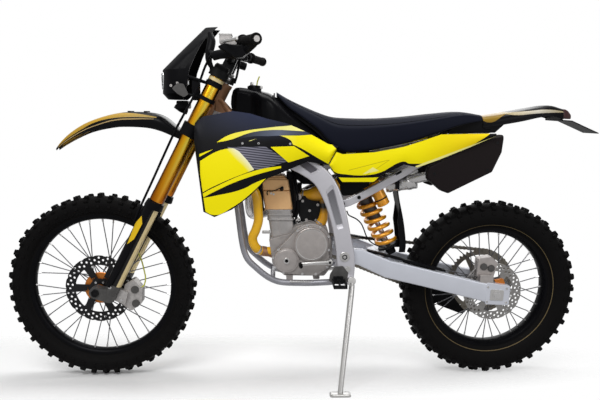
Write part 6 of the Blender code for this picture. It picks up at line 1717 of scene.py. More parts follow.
def swingarm():
    arm = [(*along_arm(-0.035, -0.0013), 0.024, -ARM_Y, ARM_HALF),
        (*along_arm(0.109, 0.0083), 0.03, -ARM_Y, ARM_HALF), (*along_arm(0.284, -0.0094), 0.033, -ARM_Y, ARM_HALF),
        (*along_arm(0.53, -0.0065), 0.033, -ARM_Y, ARM_HALF), (*along_arm(0.881, -0.0039), 0.034, -ARM_Y, ARM_HALF),
        (*along_arm(0.951, -0.0024), 0.036, -ARM_Y, ARM_HALF)]
    fitted("swingarm_arms", both_sides(lambda: beam(arm, 1, 0.006)), "frame", "pale swingarm", "swingarm", sharp=34)
    x, z = along_arm(0.247, 0.0031)
    bridge = block((x - 0.039, -ARM_Y + 0.004, z - 0.024), (x + 0.039, ARM_Y - 0.004, z + 0.024), 0.014)
    spine = turned([(-ARM_Y + 0.002, 0.0105), (-ARM_Y + 0.002, 0.021), (ARM_Y - 0.002, 0.021),
        (ARM_Y - 0.002, 0.0105)], PIVOT, SIDE, 32)
    fitted("swingarm_bridge", merged(bridge, spine), "frame", "pale swingarm", bevel=0.002, sharp=30)
    centre_x, centre_z = REAR_AXLE.x, REAR_AXLE.z
    edge = rounded(by_rear_axle([(-0.043, -0.036), (0.047, -0.04), (0.05, 0.034), (-0.038, 0.047)]), 0.008, 4)
    ends = both_sides(lambda: side_plate(edge, -ARM_Y - ARM_HALF - 0.001, -ARM_Y + ARM_HALF + 0.001))
    fitted("axle_blocks", ends, "frame", "pale swingarm", bevel=0.0015, sharp=30)
    face = -ARM_Y - ARM_HALF - 0.001
    plates = both_sides(
        lambda: side_plate(rounded(by_rear_axle([(-0.026, -0.02), (0.024, -0.022), (0.026, 0.018), (-0.024, 0.022)]),
        0.004, 3), face - 0.0022, face + 0.001))
    fitted("axle_plates", plates, "frame", "bright alloy", bevel=0.0008, sharp=30)
    nuts = both_sides(lambda: merged(turned([(0.0, 0.0), (0.0, 0.0155), (0.002, 0.0155), (0.0022, 0.0)],
        (centre_x, face - 0.002, centre_z), -SIDE, 32, False),
        turned([(0.002, 0.0), (0.002, 0.0118), (0.0036, 0.0118), (0.004, 0.0)], (centre_x, face - 0.002, centre_z),
        -SIDE, 6, False)))
    fitted("axle_nuts", nuts, "frame", "ground steel", sharp=30)
    reach = ARM_Y + 0.0195
    fitted("rear_axle_bar", bar(REAR_AXLE - SIDE * reach, REAR_AXLE + SIDE * reach, AXLE_BAR, 24), "frame",
        "ground steel", "swingarm", sharp=30)
    marks = [(Vector((centre_x + dx, face, centre_z + dz)), -SIDE)
        for dx, dz in ((-0.034, 0.03), (-0.036, -0.026), (0.036, 0.024), (0.036, -0.029))]
    marks += [(Vector((p.x, -p.y, p.z)), SIDE) for p, _ in marks]
    bolts("axle_block_bolts", marks, 0.0042, "frame", "ground steel", 0.003)
    adjusters = []
    for s in (-1, 1):
        for dz in (-0.01, 0.012):
            start = Vector((centre_x + 0.047, s * ARM_Y, centre_z + dz))
            adjusters.append(bar(start, start + Vector((0.01, 0.0, 0.0)), 0.0045, 6))
    fitted("chain_adjusters", merged(*adjusters), "frame", "ground steel", sharp=30)
    wear = side_plate([(0.945, 0.521), (1.06, 0.5), (1.062, 0.506), (0.946, 0.527)], ARM_Y - 0.036, ARM_Y - 0.014)
    top = [along_arm(reach, 0.0345) for reach in (0.15, 0.34, 0.5, 0.66)]
    strip = [*top, *[(x, z + 0.0085) for x, z in reversed(top)]]
    cover = side_plate(strip, -ARM_Y - 0.011, -ARM_Y + 0.011)
    fitted("chain_slider", merged(wear, cover), "frame", "black moulding", bevel=0.001)
    bracket = side_plate(rounded([(0.862, 0.453), (0.892, 0.456), (0.912, 0.43), (0.908, 0.395), (0.87, 0.388),
        (0.842, 0.4), (0.846, 0.426)], 0.008, 4), -PLATE_FACE - 0.0048, -PLATE_FACE - 0.0004)
    fitted("peg_brackets", both_sides(lambda: bracket.copy()), "frame", "dark casting", bevel=0.0012, sharp=30)


STAND_FOOT = Vector((0.872, -0.315, 0.0))


def side_stand():
    """Leg and boss of the stand, round a foot whose sole stays flat on the floor."""
    lean = lean_of_the_machine()
    floor = -0.017 * 0.94 * math.sin(lean)
    to_bike = Matrix.Rotation(-lean, 3, "X")
    sole = Vector((STAND_FOOT.x, (Matrix.Rotation(lean, 3, "X") @ STAND_FOOT).y, floor))
    rings = []
    for height, half_x, half_y in ((0.0002, 0.0345, 0.0205), (0.0012, 0.0358, 0.0218), (0.0062, 0.0358, 0.0218),
            (0.009, 0.0325, 0.019), (0.01, 0.029, 0.016)):
        edge = rounded(rectangle(half_x, half_y), 0.01, 6)
        rings.append([to_bike @ (sole + Vector((x, y, height))) for x, y in edge])
    ankle = to_bike @ (sole + Vector((0.0, 0.0, 0.008)))
    leg = tube(curve_through([STAND_PIVOT + Vector((0, -0.014, -0.002)), STAND_PIVOT + Vector((-0.004, -0.03, -0.05)),
        ankle], 6), [0.0092 + 0.0012 * math.sin(math.pi * i / 12) for i in range(13)], 24)
    axis = Vector((0.0, -0.951, 0.308)).normalized()
    boss = turned([(0.0004, 0.0), (0.0004, 0.0148), (0.018, 0.0148), (0.0195, 0.0135), (0.0198, 0.008),
        (0.0198, 0.0)], STAND_PIVOT, axis, 32, False)
    fitted("stand_leg", merged(loft(rings), leg, boss), "side_stand", "bright alloy", "side_stand", bevel=0.0006,
        sharp=34)


class ENDURO_OT_frame(bpy.types.Operator):
    """Twin-spar frame, cradle, subframe, swingarm and side stand"""

    bl_idname = "enduro.frame"
    bl_label = "Frame"

    def execute(self, context):
        main_frame()
        lower_cradle()
        subframe()
        swingarm()
        side_stand()
        return {"FINISHED"}


# Engine

CASE = [(0.626, 0.54), (0.64, 0.45), (0.682, 0.405), (0.83, 0.403), (0.858, 0.44), (0.858, 0.52), (0.838, 0.585),
    (0.775, 0.604), (0.722, 0.588), (0.7, 0.56)]
CYLINDER_FOOT = Vector((0.676, 0.0, 0.56))
CYLINDER_AXIS = Vector((-0.16, 0.0, 1.0)).normalized()


def stage(low, high, half_x, half_y, radius):
    """Slice of the cylinder: a rounded block between two heights along the cylinder's axis."""
    edge = rounded(rectangle(half_x, half_y), radius, 6)
    return loft([[CYLINDER_FOOT + CYLINDER_AXIS * h + Vector((x, y, 0.0)) for x, y in edge] for h in (low, high)])


def crankcase():
    case = rounded(CASE, 0.014, 5)
    body = side_plate(case, -0.0855, 0.0615)
    ribs = [side_plate(shrunk(case, 1.012), y, y + 0.004) for y in (-0.048, -0.004, 0.04)]
    lugs = [block((0.69, -0.092, 0.386), (0.714, 0.092, 0.41), 0.004),
        block((0.79, -0.07, 0.386), (0.814, 0.096, 0.41), 0.004)]
    shaft = bar(DRIVE_SHAFT + SIDE * 0.05, DRIVE_SHAFT + SIDE * (CHAIN_Y + 0.0078), 0.012, 24)
    fitted("crankcase_body", merged(body, *ribs, *lugs, shaft), "frame", "cast case", "crankcase", bevel=0.002,
        sharp=30)
    generator = turned([(-0.006, 0.0), (-0.006, 0.058), (0.018, 0.0575), (0.0245, 0.054), (0.028, 0.047),
        (0.0285, 0.032), (0.0298, 0.03), (0.03, 0.0)], CRANK + SIDE * 0.062, SIDE, 64, False)
    fitted("generator_cover", generator, "frame", "machined lid", sharp=25)
    marks = [(CRANK + Vector((0.0515 * math.cos(a), 0.087, 0.0515 * math.sin(a))), SIDE)
        for a in (2 * math.pi * i / 6 for i in range(6))]
    bolts("generator_bolts", marks, 0.0042, "frame", "ground steel")
    fitted("drive_sprocket", sprocket(DRIVE_SHAFT, DRIVE_TEETH, 0, 0.01), "frame", "dark metal", sharp=30)


def left_cover(sizes):
    face = COVER_FACE
    edge = arc((CRANK.x, CRANK.z), 0.052, 120, 262, 24)
    edge += [(0.8, 0.408), (0.848, 0.44)]
    edge += arc((CLUTCH.x, CLUTCH.z), 0.073, -25, 140, 32)
    plate = side_plate(edge, face - 0.0185, face)
    flange = side_plate(shrunk(edge, 1.015), face - 0.005, face)
    fitted("left_cover_plate", merged(plate, flange), "frame", "cast case", "left_engine_cover", bevel=0.0022,
        sharp=30)
    clutch = turned([(-0.04, 0.0), (-0.04, 0.0545), (-0.0396, 0.0562), (-0.038, 0.057), (-0.0372, 0.0572),
        (-0.037, 0.0592), (-0.0355, 0.0612), (-0.033, 0.0622), (-0.019, 0.0632), (-0.017, 0.066), (-0.015, 0.0665)],
        CLUTCH + SIDE * face, SIDE, 96, False)
    fitted("clutch_lid", clutch, "frame", "machined lid", sharp=22)
    rim = turned([(-0.0402, 0.053), (-0.0406, 0.054), (-0.0404, 0.056), (-0.0392, 0.0566), (-0.039, 0.053)],
        CLUTCH + SIDE * face, SIDE, 96)
    fitted("clutch_lid_rim", rim, "frame", "bright alloy", sharp=40)
    crank = turned([(-0.03, 0.0), (-0.03, 0.034), (-0.0292, 0.0375), (-0.027, 0.04), (-0.0262, 0.044),
        (-0.024, 0.0455), (-0.0185, 0.0465)], CRANK + SIDE * face, SIDE, 80, False)
    fitted("crank_lid", crank, "frame", "machined lid", sharp=22)
    plug = turned([(-0.0358, 0.0064), (-0.036, 0.007), (-0.036, 0.01), (-0.035, 0.0112), (-0.029, 0.0118),
        (-0.029, 0.0064)], CRANK + SIDE * face, SIDE, 40)
    fitted("crank_plug", plug, "frame", "bright alloy", sharp=30)
    hollow = turned([(-0.0302, 0.0), (-0.0302, 0.0066), (-0.029, 0.0066)], CRANK + SIDE * face, SIDE, 24, False)
    fitted("crank_plug_hollow", hollow, "frame", "dark metal")
    marks = [((CLUTCH.x + 0.0688 * math.cos(math.radians(a)), face - 0.0195,
        CLUTCH.z + 0.0688 * math.sin(math.radians(a))), -SIDE) for a in (-20, 22, 62, 102, 136)]
    marks += [((CRANK.x + 0.0485 * math.cos(math.radians(a)), face - 0.0195,
        CRANK.z + 0.0485 * math.sin(math.radians(a))), -SIDE) for a in (128, 170, 214, 256)]
    marks += [((x, face - 0.0195, z), -SIDE) for x, z in ((0.748, 0.4165), (0.797, 0.4155), (0.838, 0.441))]
    bolts("left_cover_bolts", marks, sizes.bolt_radius, "frame", "ground steel")


def cylinder_and_head():
    block_shape = merged(stage(-0.03, 0.0455, 0.045, 0.056, 0.012), stage(0.0475, 0.0855, 0.0452, 0.0562, 0.012),
        stage(0.046, 0.054, 0.0488, 0.0598, 0.014), stage(0.064, 0.072, 0.0488, 0.0598, 0.014))
    fitted("cylinder_block", block_shape, "frame", "cylinder casting", "cylinder", bevel=0.0014, sharp=30)
    gasket = stage(0.0845, 0.087, 0.0505, 0.0572, 0.012)
    fitted("head_gasket", gasket, "frame", "ground steel")
    rib = side_plate([(0.652, 0.64), (0.654, 0.64), (0.668, 0.556), (0.666, 0.556)], -0.0578, -0.056)
    fitted("cylinder_seam", rib, "frame", "machined lid")
    head = merged(stage(0.0872, 0.158, 0.0515, 0.0575, 0.01), stage(0.1595, 0.2, 0.0518, 0.0578, 0.011),
        stage(0.195, 0.2065, 0.0475, 0.0535, 0.011), stage(0.205, 0.2138, 0.043, 0.049, 0.012))
    fitted("head_block", head, "frame", "bronze head", "cylinder_head", bevel=0.0026, sharp=30)
    y = -0.06
    handle = curve_through(((0.6205, y, 0.7005), (0.6185, y - 0.004, 0.71), (0.6225, y - 0.006, 0.7165),
        (0.6325, y - 0.006, 0.7155), (0.6455, y - 0.006, 0.718), (0.661, y - 0.005, 0.7245),
        (0.669, y - 0.004, 0.7265)), 4)
    wires("head_clip", [handle], 0.0017, "frame", "dark metal")
    marks = [((0.6335, -0.0585, 0.7065), -SIDE), ((0.6425, -0.0585, 0.7035), -SIDE)]
    bolts("head_clip_bolts", marks, 0.0038, "frame", "bright alloy")
    plug = turned([(0.0, 0.0), (0.0, 0.007), (0.006, 0.007), (0.008, 0.0055), (0.018, 0.005), (0.019, 0.0)],
        (0.672, -0.056, 0.7215), (0.1, -0.85, 0.4), 20, False)
    fitted("head_plug", plug, "frame", "dark metal", sharp=30)
    studs = [(CYLINDER_FOOT + CYLINDER_AXIS * h + Vector((x, -0.058, 0.0)), -SIDE) for h in (0.094, 0.15)
        for x in (-0.043, 0.043)]
    bolts("head_bolts", studs, 0.0036, "frame", "bronze head", 0.003)
    intake_port = turned([(0.0, 0.0), (0.0, 0.025), (0.006, 0.024), (0.007, 0.0)], (0.702, 0.0, 0.689),
        (1.0, 0.0, 0.05), 32, False)
    fitted("intake_flange", intake_port, "frame", "cast case")
    tension = merged(bar((0.714, -0.03, 0.6), (0.734, -0.03, 0.603), 0.0062, 16),
        bar((0.718, -0.05, 0.612), (0.736, -0.05, 0.614), 0.004, 12),
        block((0.6, -0.056, 0.556), (0.634, -0.04, 0.566), 0.003))
    fitted("cylinder_fittings", tension, "frame", "bright alloy", bevel=0.0008, sharp=30)


def behind_the_cylinder():
    """Chain tunnel, electrics and the dark ducting seen between the head and the spars."""
    tunnel = side_plate(rounded([(0.694, 0.59), (0.722, 0.588), (0.729, 0.64), (0.722, 0.77), (0.69, 0.79)], 0.008,
        4), -0.046, 0.046)
    box = side_plate(rounded([(0.7, 0.8), (0.716, 0.765), (0.75, 0.738), (0.8, 0.738), (0.842, 0.77), (0.85, 0.842),
        (0.7, 0.862)], 0.01, 4), -0.034, 0.034)
    side_hose = tube(curve_through([(0.6, -0.052, 0.64), (0.596, -0.056, 0.69), (0.594, -0.056, 0.74),
        (0.606, -0.052, 0.775), (0.64, -0.046, 0.792), (0.68, -0.044, 0.79)], 6), 0.0085, 20)
    float_bowl = side_plate(rounded([(0.736, 0.69), (0.77, 0.7), (0.815, 0.68), (0.823, 0.625), (0.805, 0.585),
        (0.756, 0.585), (0.736, 0.62)], 0.01, 4), -0.04, 0.036)
    fitted("float_bowl", float_bowl, "frame", "dark metal", bevel=0.003, sharp=35)
    studs = [((x, -0.04, z), -SIDE) for x, z in ((0.75, 0.676), (0.776, 0.64), (0.806, 0.662), (0.764, 0.606),
        (0.8, 0.604))]
    bolts("bowl_screws", studs, 0.005, "frame", "pale casting", 0.004)
    fitted("engine_ducting", merged(tunnel, box, side_hose), "frame", "black moulding", bevel=0.002, sharp=35)


def intake():
    start, end = Vector((0.7, 0.0, 0.689)), Vector((0.752, -0.012, 0.692))
    axis = end - start
    body = turned([(0.0, 0.0), (0.0, 0.029), (0.009, 0.029), (0.01, 0.021), (0.016, 0.0225), (0.019, 0.0258),
        (0.042, 0.026), (0.045, 0.0225), (0.046, 0.019), (axis.length, 0.019)], start, axis, 40, False)
    drum = turned([(0.0, 0.0), (0.0, 0.014), (0.022, 0.014), (0.024, 0.0125), (0.0262, 0.0125), (0.027, 0.0)],
        (0.732, -0.02, 0.692), -SIDE, 32, False)
    fitted("carburettor_body", merged(body, drum), "frame", "machined lid", "carburettor", sharp=28)
    bowl = block((0.717, -0.028, 0.636), (0.749, 0.02, 0.678), 0.006)
    nut = turned([(0.0, 0.0), (0.0, 0.007), (0.005, 0.007), (0.006, 0.0)], (0.733, -0.004, 0.637), -UP, 6, False)
    top = turned([(0.0, 0.019), (0.04, 0.019), (0.042, 0.0218), (0.048, 0.0218), (0.05, 0.02), (0.0505, 0.0)],
        (0.732, -0.006, 0.69), (-0.1, 0.0, 1.0), 36, False)
    fitted("carburettor_bowl", merged(bowl, nut, top), "frame", "dark metal", bevel=0.001, sharp=28)
    marks = [((x, -0.0285, z), -SIDE) for x in (0.7205, 0.7455) for z in (0.642, 0.672)]
    bolts("carburettor_screws", marks, 0.0026, "frame", "ground steel", 0.002)
    points = curve_through([(0.7515, -0.012, 0.692), (0.775, -0.022, 0.697), (0.8, -0.034, 0.703),
        (0.83, -0.045, 0.713), (0.86, -0.054, 0.728), (0.884, -0.058, 0.745)], 6)
    sizes = [s[0] for s in curve_through([(r, 0.0) for r in (0.0225, 0.0225, 0.0285, 0.0325, 0.0305, 0.0215)], 6)]
    fitted("intake_boot_duct", tube(points, sizes, 40), "frame", "amber boot", "intake_boot", sharp=40)
    lines = curve_through([(0.812, -0.046, 0.59), (0.824, -0.048, 0.606), (0.829, -0.048, 0.645),
        (0.822, -0.044, 0.7)], 6)
    widths = [s[0] for s in curve_through([(r, 0.0) for r in (0.0178, 0.0178, 0.014, 0.0138)], 6)]
    fitted("breather_duct", tube(lines, widths, 28), "frame", "amber boot", "intake_boot", sharp=40)
    bands = merged(turned([(0.0, 0.0222), (0.0, 0.0236), (0.0065, 0.0236), (0.0065, 0.0222)], (0.756, -0.0135, 0.693),
        (0.9, -0.38, 0.18), 36), turned([(0.0, 0.0172), (0.0, 0.019), (0.006, 0.019), (0.006, 0.0172)],
        (0.8145, -0.0465, 0.5945), (0.5, -0.08, 0.86), 36))
    fitted("intake_clamps", bands, "frame", "ground steel", sharp=30)
    cables = [curve_through([Vector(p) for p in path], 5)
        for path in (((0.728, -0.006, 0.738), (0.722, -0.01, 0.78), (0.7, -0.02, 0.82), (0.67, -0.03, 0.85)),
        ((0.732, -0.047, 0.703), (0.742, -0.052, 0.735), (0.748, -0.054, 0.77), (0.735, -0.05, 0.815)),
        ((0.742, 0.0, 0.64), (0.752, -0.012, 0.62), (0.748, -0.03, 0.604), (0.735, -0.046, 0.597)))]
    wires("carburettor_lines", cables, 0.003, "frame", "black cable")
    loom = [curve_through([Vector(p) for p in path], 5)
        for path in (((0.716, -0.062, 0.64), (0.722, -0.066, 0.675), (0.72, -0.064, 0.715), (0.712, -0.058, 0.76)),
        ((0.724, -0.058, 0.612), (0.732, -0.064, 0.645), (0.731, -0.066, 0.69), (0.724, -0.06, 0.74),
        (0.712, -0.05, 0.79)))]
    wires("engine_loom", loom, 0.0042, "frame", "black cable")


def exhaust():
    route = [(0.61, 0.0, 0.726), (0.58, 0.001, 0.72), (0.556, 0.01, 0.695), (0.552, 0.036, 0.64),
        (0.566, 0.076, 0.606), (0.63, 0.1, 0.62), (0.72, 0.096, 0.668), (0.84, 0.068, 0.735), (0.96, 0.058, 0.762),
        (1.09, 0.05, 0.757), (1.15, 0.07, 0.762), (1.196, 0.106, 0.777)]
    pipe = tube(curve_through(route, 6), 0.0188, 28)
    branch = tube(curve_through([(1.02, 0.052, 0.76), (1.07, 0.01, 0.757), (1.125, -0.05, 0.757),
        (1.155, -0.078, 0.764), (1.196, -0.106, 0.777)], 6), 0.0178, 28)
    flange = turned([(0.0, 0.0192), (0.0, 0.026), (0.006, 0.026), (0.006, 0.0192)], (0.5985, 0.0, 0.7235),
        (-1.0, 0.0, -0.2), 32)
    fitted("exhaust_tubes", merged(pipe, branch, flange), "frame", "ground steel", "exhaust_pipe", sharp=40)
    rings = []
    for place, heading, radius in (((0.7, 0.0975, 0.657), (0.86, -0.1, 0.5), 0.019),
            ((1.14, -0.0645, 0.76), (0.6, -0.72, 0.18), 0.018), ((1.143, 0.066, 0.761), (0.8, 0.56, 0.12), 0.019)):
        rings.append(turned([(-0.008, radius - 0.0004), (-0.008, radius + 0.0018), (-0.0065, radius + 0.0024),
            (0.0065, radius + 0.0024), (0.008, radius + 0.0018), (0.008, radius - 0.0004)], place, heading, 36))
    fitted("exhaust_clamps", merged(*rings), "frame", "bright alloy", sharp=30)
    route = curve_through([(1.06, -0.03, 0.733), (1.09, -0.038, 0.739), (1.125, -0.052, 0.745),
        (1.165, -0.068, 0.753)], 6)
    sleeve = tube(route, [0.0275 if i % 6 in (2, 3) else 0.0255 for i in range(len(route))], 32)
    fitted("exhaust_sleeve", sleeve, "frame", "ground steel", sharp=40)


SILENCER = [(1.185, 0.772), (1.24, 0.727), (1.266, 0.718), (1.42, 0.796), (1.452, 0.87), (1.458, 0.93), (1.4, 0.918),
    (1.19, 0.812)]


def silencers():
    edge = rounded(SILENCER, 0.01, 6)
    core = [(1.2 + (x - 1.2) * 0.97 + 0.004, 0.8 + (z - 0.8) * 0.94) for x, z in edge]
    middle = [((x1 + x2) / 2, (z1 + z2) / 2) for (x1, z1), (x2, z2) in zip(edge, core)]
    for side, name in SIDES:
        rings = [(0.1005, core), (0.103, middle), (0.1065, edge), (0.134, edge), (0.14, middle), (0.145, core)]
        shell = loft([[Vector((x, side * y, z)) for x, z in outline] for y, outline in rings])
        fitted(f"silencer_cover_{name}", shell, "frame", "silencer coat", f"silencer_{name}", bevel=0.0016, sharp=26)
        tab = block((1.355, min(side * 0.11, side * 0.0885), 0.872), (1.375, max(side * 0.11, side * 0.0885), 0.922))
        fitted(f"silencer_tab_{name}", tab, "frame", "dark metal", bevel=0.001)
        marks = [((x, side * 0.1452, z), SIDE * side) for x, z in ((1.212, 0.79), (1.4325, 0.9), (1.401, 0.803))]
        bolts(f"silencer_bolts_{name}", marks, 0.005, "frame", "dark metal", 0.0022)
        end = turned([(0.0, 0.0135), (0.0, 0.0165), (0.007, 0.0165), (0.007, 0.0135)], (1.434, side * 0.121, 0.848),
            (0.92, 0.0, -0.38), 32)
        fitted(f"silencer_outlet_{name}", end, "frame", "ground steel", sharp=30)


def cooling(sizes):
    edge = rounded([(0.46, 0.69), (0.49, 0.682), (0.474, 0.85), (0.445, 0.855)], 0.004, 3)
    slim = shrunk(edge, 0.9)
    tanks, fins = [], []
    for side in (-1, 1):
        for y_low, y_high in ((0.062, 0.072), (0.155, 0.165)):
            low, high = sorted((side * y_low, side * y_high))
            tanks.append(side_plate(edge, low, high))
        for i in range(30):
            y = side * (0.0735 + i * 0.00278)
            fins.append(side_plate(slim, y - 0.0004, y + 0.0004))
        for k in range(12):
            t = (k + 0.5) / 12
            x, z = 0.4755 - 0.0145 * t, 0.69 + 0.158 * t
            low, high = sorted((side * 0.07, side * 0.157))
            fins.append(block((x - 0.0105, low, z - 0.0016), (x + 0.0105, high, z + 0.0016)))
    fitted("radiator_tanks", merged(*tanks), "frame", "dark metal", "radiators", bevel=0.0015)
    fitted("radiator_fins", merged(*fins), "frame", "dark metal", "radiators", sharp=30)
    links = merged(bar((0.476, -0.07, 0.715), (0.476, 0.07, 0.715), 0.007, 20),
        bar((0.457, -0.07, 0.845), (0.457, 0.07, 0.845), 0.006, 20))
    fitted("radiator_links", links, "frame", "black moulding", "radiators")
    route = [(0.486, -0.105, 0.728), (0.51, -0.105, 0.7285), (0.548, -0.103, 0.729), (0.572, -0.1, 0.72),
        (0.582, -0.1, 0.695), (0.586, -0.1, 0.655), (0.588, -0.1, 0.615), (0.578, -0.098, 0.578),
        (0.566, -0.092, 0.546), (0.576, -0.084, 0.512), (0.598, -0.068, 0.494), (0.64, -0.06, 0.4905)]
    path = curve_through(route, 6)
    fitted("coolant_hose_run", tube(path, sizes.hose_radius, 32), "frame", "silicone hose", "coolant_hose", sharp=60)
    rings = []
    for i in (7, 57):
        heading = path[i + 1] - path[i - 1]
        r = sizes.hose_radius
        rings.append(turned([(-0.005, r - 0.0004), (-0.005, r + 0.001), (0.005, r + 0.001), (0.005, r - 0.0004)],
            path[i], heading, 36))
    fitted("hose_clamps", merged(*rings), "frame", "ground steel", sharp=30)
    pump = turned([(0.0, 0.0148), (0.0, 0.0185), (0.01, 0.019), (0.03, 0.0172), (0.044, 0.02), (0.05, 0.022),
        (0.05, 0.0)], path[60], (0.86, 0.25, -0.2), 32, False)
    fitted("pump_elbow", pump, "frame", "copper bracket", sharp=30)


class ENDURO_OT_engine(bpy.types.Operator):
    """Engine cases, covers, cylinder, bronze head, carburettor, exhaust and cooling"""

    bl_idname = "enduro.engine"
    bl_label = "Engine"

    def execute(self, context):
        sizes = context.scene.enduro_sizes
        crankcase()
        left_cover(sizes)
        cylinder_and_head()
        behind_the_cylinder()
        intake()
        exhaust()
        silencers()
        cooling(sizes)
        return {"FINISHED"}


# Tank, seat and bodywork

def soft_section(x, top, bottom, half_top, half_bottom, crown=0.35):
    """Section across the machine: rounded top, sides that widen to the bottom."""
    height = top - bottom
    side = [(half_bottom * 0.94, bottom), (half_bottom, bottom + height * 0.06),
        (half_bottom, bottom + height * 0.25), ((half_bottom + half_top) / 2, bottom + height * 0.62),
        (half_top, top - height * crown * 0.5), (half_top * 0.7, top - height * 0.06),
        (half_top * 0.3, top - height * 0.01), (0.0, top)]
    fine = [tuple(p) for p in curve_through(side, 4)]
    return [Vector((x, y, z)) for y, z in fine + [(-y, z) for y, z in reversed(fine[:-1])]]


def soft_body(stations, steps=5, crown=0.35):
    return loft([soft_section(*station, crown=crown) for station in curve_through(stations, steps)])


TANK = [(0.5, 1.08, 1.0, 0.03, 0.036), (0.512, 1.09, 0.992, 0.038, 0.046), (0.562, 1.085, 0.95, 0.044, 0.05),
    (0.6, 1.077, 0.92, 0.086, 0.104), (0.64, 1.063, 0.9, 0.1, 0.122), (0.7, 1.01, 0.868, 0.1, 0.122),
    (0.79, 0.94, 0.843, 0.098, 0.118), (0.828, 0.905, 0.84, 0.09, 0.108)]
SEAT = [(0.652, 1.074, 1.0645, 0.04, 0.048), (0.69, 1.052, 1.022, 0.062, 0.076), (0.74, 1.028, 0.985, 0.08, 0.1),
    (0.8, 1.003, 0.94, 0.095, 0.118), (0.85, 0.987, 0.888, 0.104, 0.128), (0.9, 0.982, 0.862, 0.11, 0.131),
    (1.0, 0.981, 0.872, 0.116, 0.132), (1.11, 0.988, 0.895, 0.118, 0.13), (1.23, 1.001, 0.933, 0.114, 0.124),
    (1.32, 1.008, 0.962, 0.104, 0.112), (1.392, 0.998, 0.975, 0.085, 0.092)]


def fuel_tank():
    fitted("tank_shell", soft_body(TANK), "frame", "gloss black", "fuel_tank", sharp=50)
    axis = (0.06, 0.0, 1.0)
    place = Vector((0.572, 0.0, 1.083))
    cap = turned([(-0.01, 0.0), (-0.01, 0.0245), (0.005, 0.025), (0.0075, 0.024), (0.0095, 0.0232), (0.0125, 0.0222),
        (0.015, 0.018), (0.016, 0.0)], place, axis, 48, False)
    grips = []
    for i in range(10):
        a = 2 * math.pi * i / 10
        at = place + Vector((0.0225 * math.cos(a), 0.0225 * math.sin(a), 0.0045))
        grips.append(bar(at, at + Vector(axis) * 0.008, 0.004, 10))
    fitted("tank_cap", merged(cap, *grips), "frame", "black moulding", sharp=35)
    stubs = [turned([(0.0, 0.0), (0.0, 0.0055), (0.004, 0.0062), (0.01, 0.005), (0.0115, 0.0)], Vector(p), axis, 20,
        False) for p in ((0.562, -0.01, 1.0985), (0.596, -0.03, 1.085))]
    fitted("cap_fittings", merged(*stubs), "frame", "bright alloy", sharp=35)
    breather = curve_through(((0.58, -0.004, 1.098), (0.582, -0.005, 1.11), (0.5855, -0.006, 1.12),
        (0.59, -0.006, 1.13)), 6)
    wires("tank_breather", [breather], 0.0024, "frame", "brake line")
    nose = side_plate([(0.488, 1.056), (0.494, 1.078), (0.504, 1.088), (0.516, 1.089), (0.516, 0.995), (0.492, 0.995),
        (0.486, 1.03)], -0.025, 0.025)
    fitted("tank_nose_cover", nose, "frame", "black moulding", bevel=0.004, sharp=30)
    strap = curve_through(((0.63, -0.098, 0.99), (0.642, -0.09, 1.04), (0.644, -0.06, 1.064), (0.644, 0.0, 1.068),
        (0.644, 0.06, 1.064), (0.642, 0.09, 1.04), (0.63, 0.098, 0.99)), 6)
    wires("tank_joint", [strap], 0.0026, "frame", "black moulding")


def seat():
    fitted("seat_foam", soft_body(SEAT, 6, 0.5), "frame", "seat cover", "seat", sharp=60)
    skirt = [(x, bottom + 0.01, bottom - 0.016, half_bottom - 0.012, half_bottom - 0.014)
        for x, _, bottom, _, half_bottom in SEAT[:6]]
    fitted("seat_skirt", soft_body(skirt), "frame", "black moulding", sharp=50)
    base = [block((0.96, -0.096, 0.846), (0.985, 0.096, 0.885), 0.004),
        block((1.24, -0.09, 0.901), (1.265, 0.09, 0.95), 0.004)]
    fitted("seat_lugs", merged(*base), "frame", "black moulding", bevel=0.001)
    seams = []
    for side in (-1, 1):
        path = []
        for x, top, bottom, half_top, half_bottom in curve_through(SEAT[1:-1], 6):
            section = soft_section(x, top, bottom, half_top, half_bottom, crown=0.5)
            z = bottom + (top - bottom) * 0.8
            near = min((p for p in section if p.y > 0), key=lambda p: abs(p.z - z))
            path.append(Vector((x, side * (near.y + 0.0004), near.z)))
        seams.append(path)
    wires("seat_seams", seams, 0.0011, "frame", "black cable", sides=6)


def sheet_between(rows, wall):
    """Moulded panel: rows of outside points, given the wall's thickness inwards."""
    inner = [[Vector(p) + SIDE * wall for p in row] for row in rows]
    return loft([list(row) + list(reversed(back)) for row, back in zip(rows, inner)])


SHROUD = [(0.372, 0.962, 0.88, 0.15, 0.168), (0.402, 0.985, 0.66, 0.15, 0.196), (0.44, 0.992, 0.642, 0.146, 0.2),
    (0.5, 1.004, 0.668, 0.14, 0.198), (0.56, 0.996, 0.712, 0.138, 0.188), (0.62, 0.978, 0.772, 0.137, 0.172),
    (0.69, 0.962, 0.8, 0.136, 0.156), (0.76, 0.932, 0.83, 0.136, 0.146), (0.834, 0.8915, 0.819, 0.136, 0.142),
    (0.868, 0.886, 0.883, 0.136, 0.138)]
SIDE_PANEL = [(0.8385, 0.821, 0.816), (0.863, 0.8645, 0.786), (0.884, 0.857, 0.7595), (0.996, 0.864, 0.76),
    (1.016, 0.868, 0.78), (1.06, 0.876, 0.8), (1.1, 0.884, 0.822), (1.15, 0.9, 0.812), (1.23, 0.928, 0.842),
    (1.33, 0.931, 0.884), (1.42, 0.9325, 0.924)]


def straight_between(stations, steps):
    """Stations filled in along straight lines, so that corners stay where they are."""
    fine = []
    for start, end in zip(stations, stations[1:]):
        fine += [tuple(a + (b - a) * k / steps for a, b in zip(start, end)) for k in range(steps)]
    return [*fine, stations[-1]]


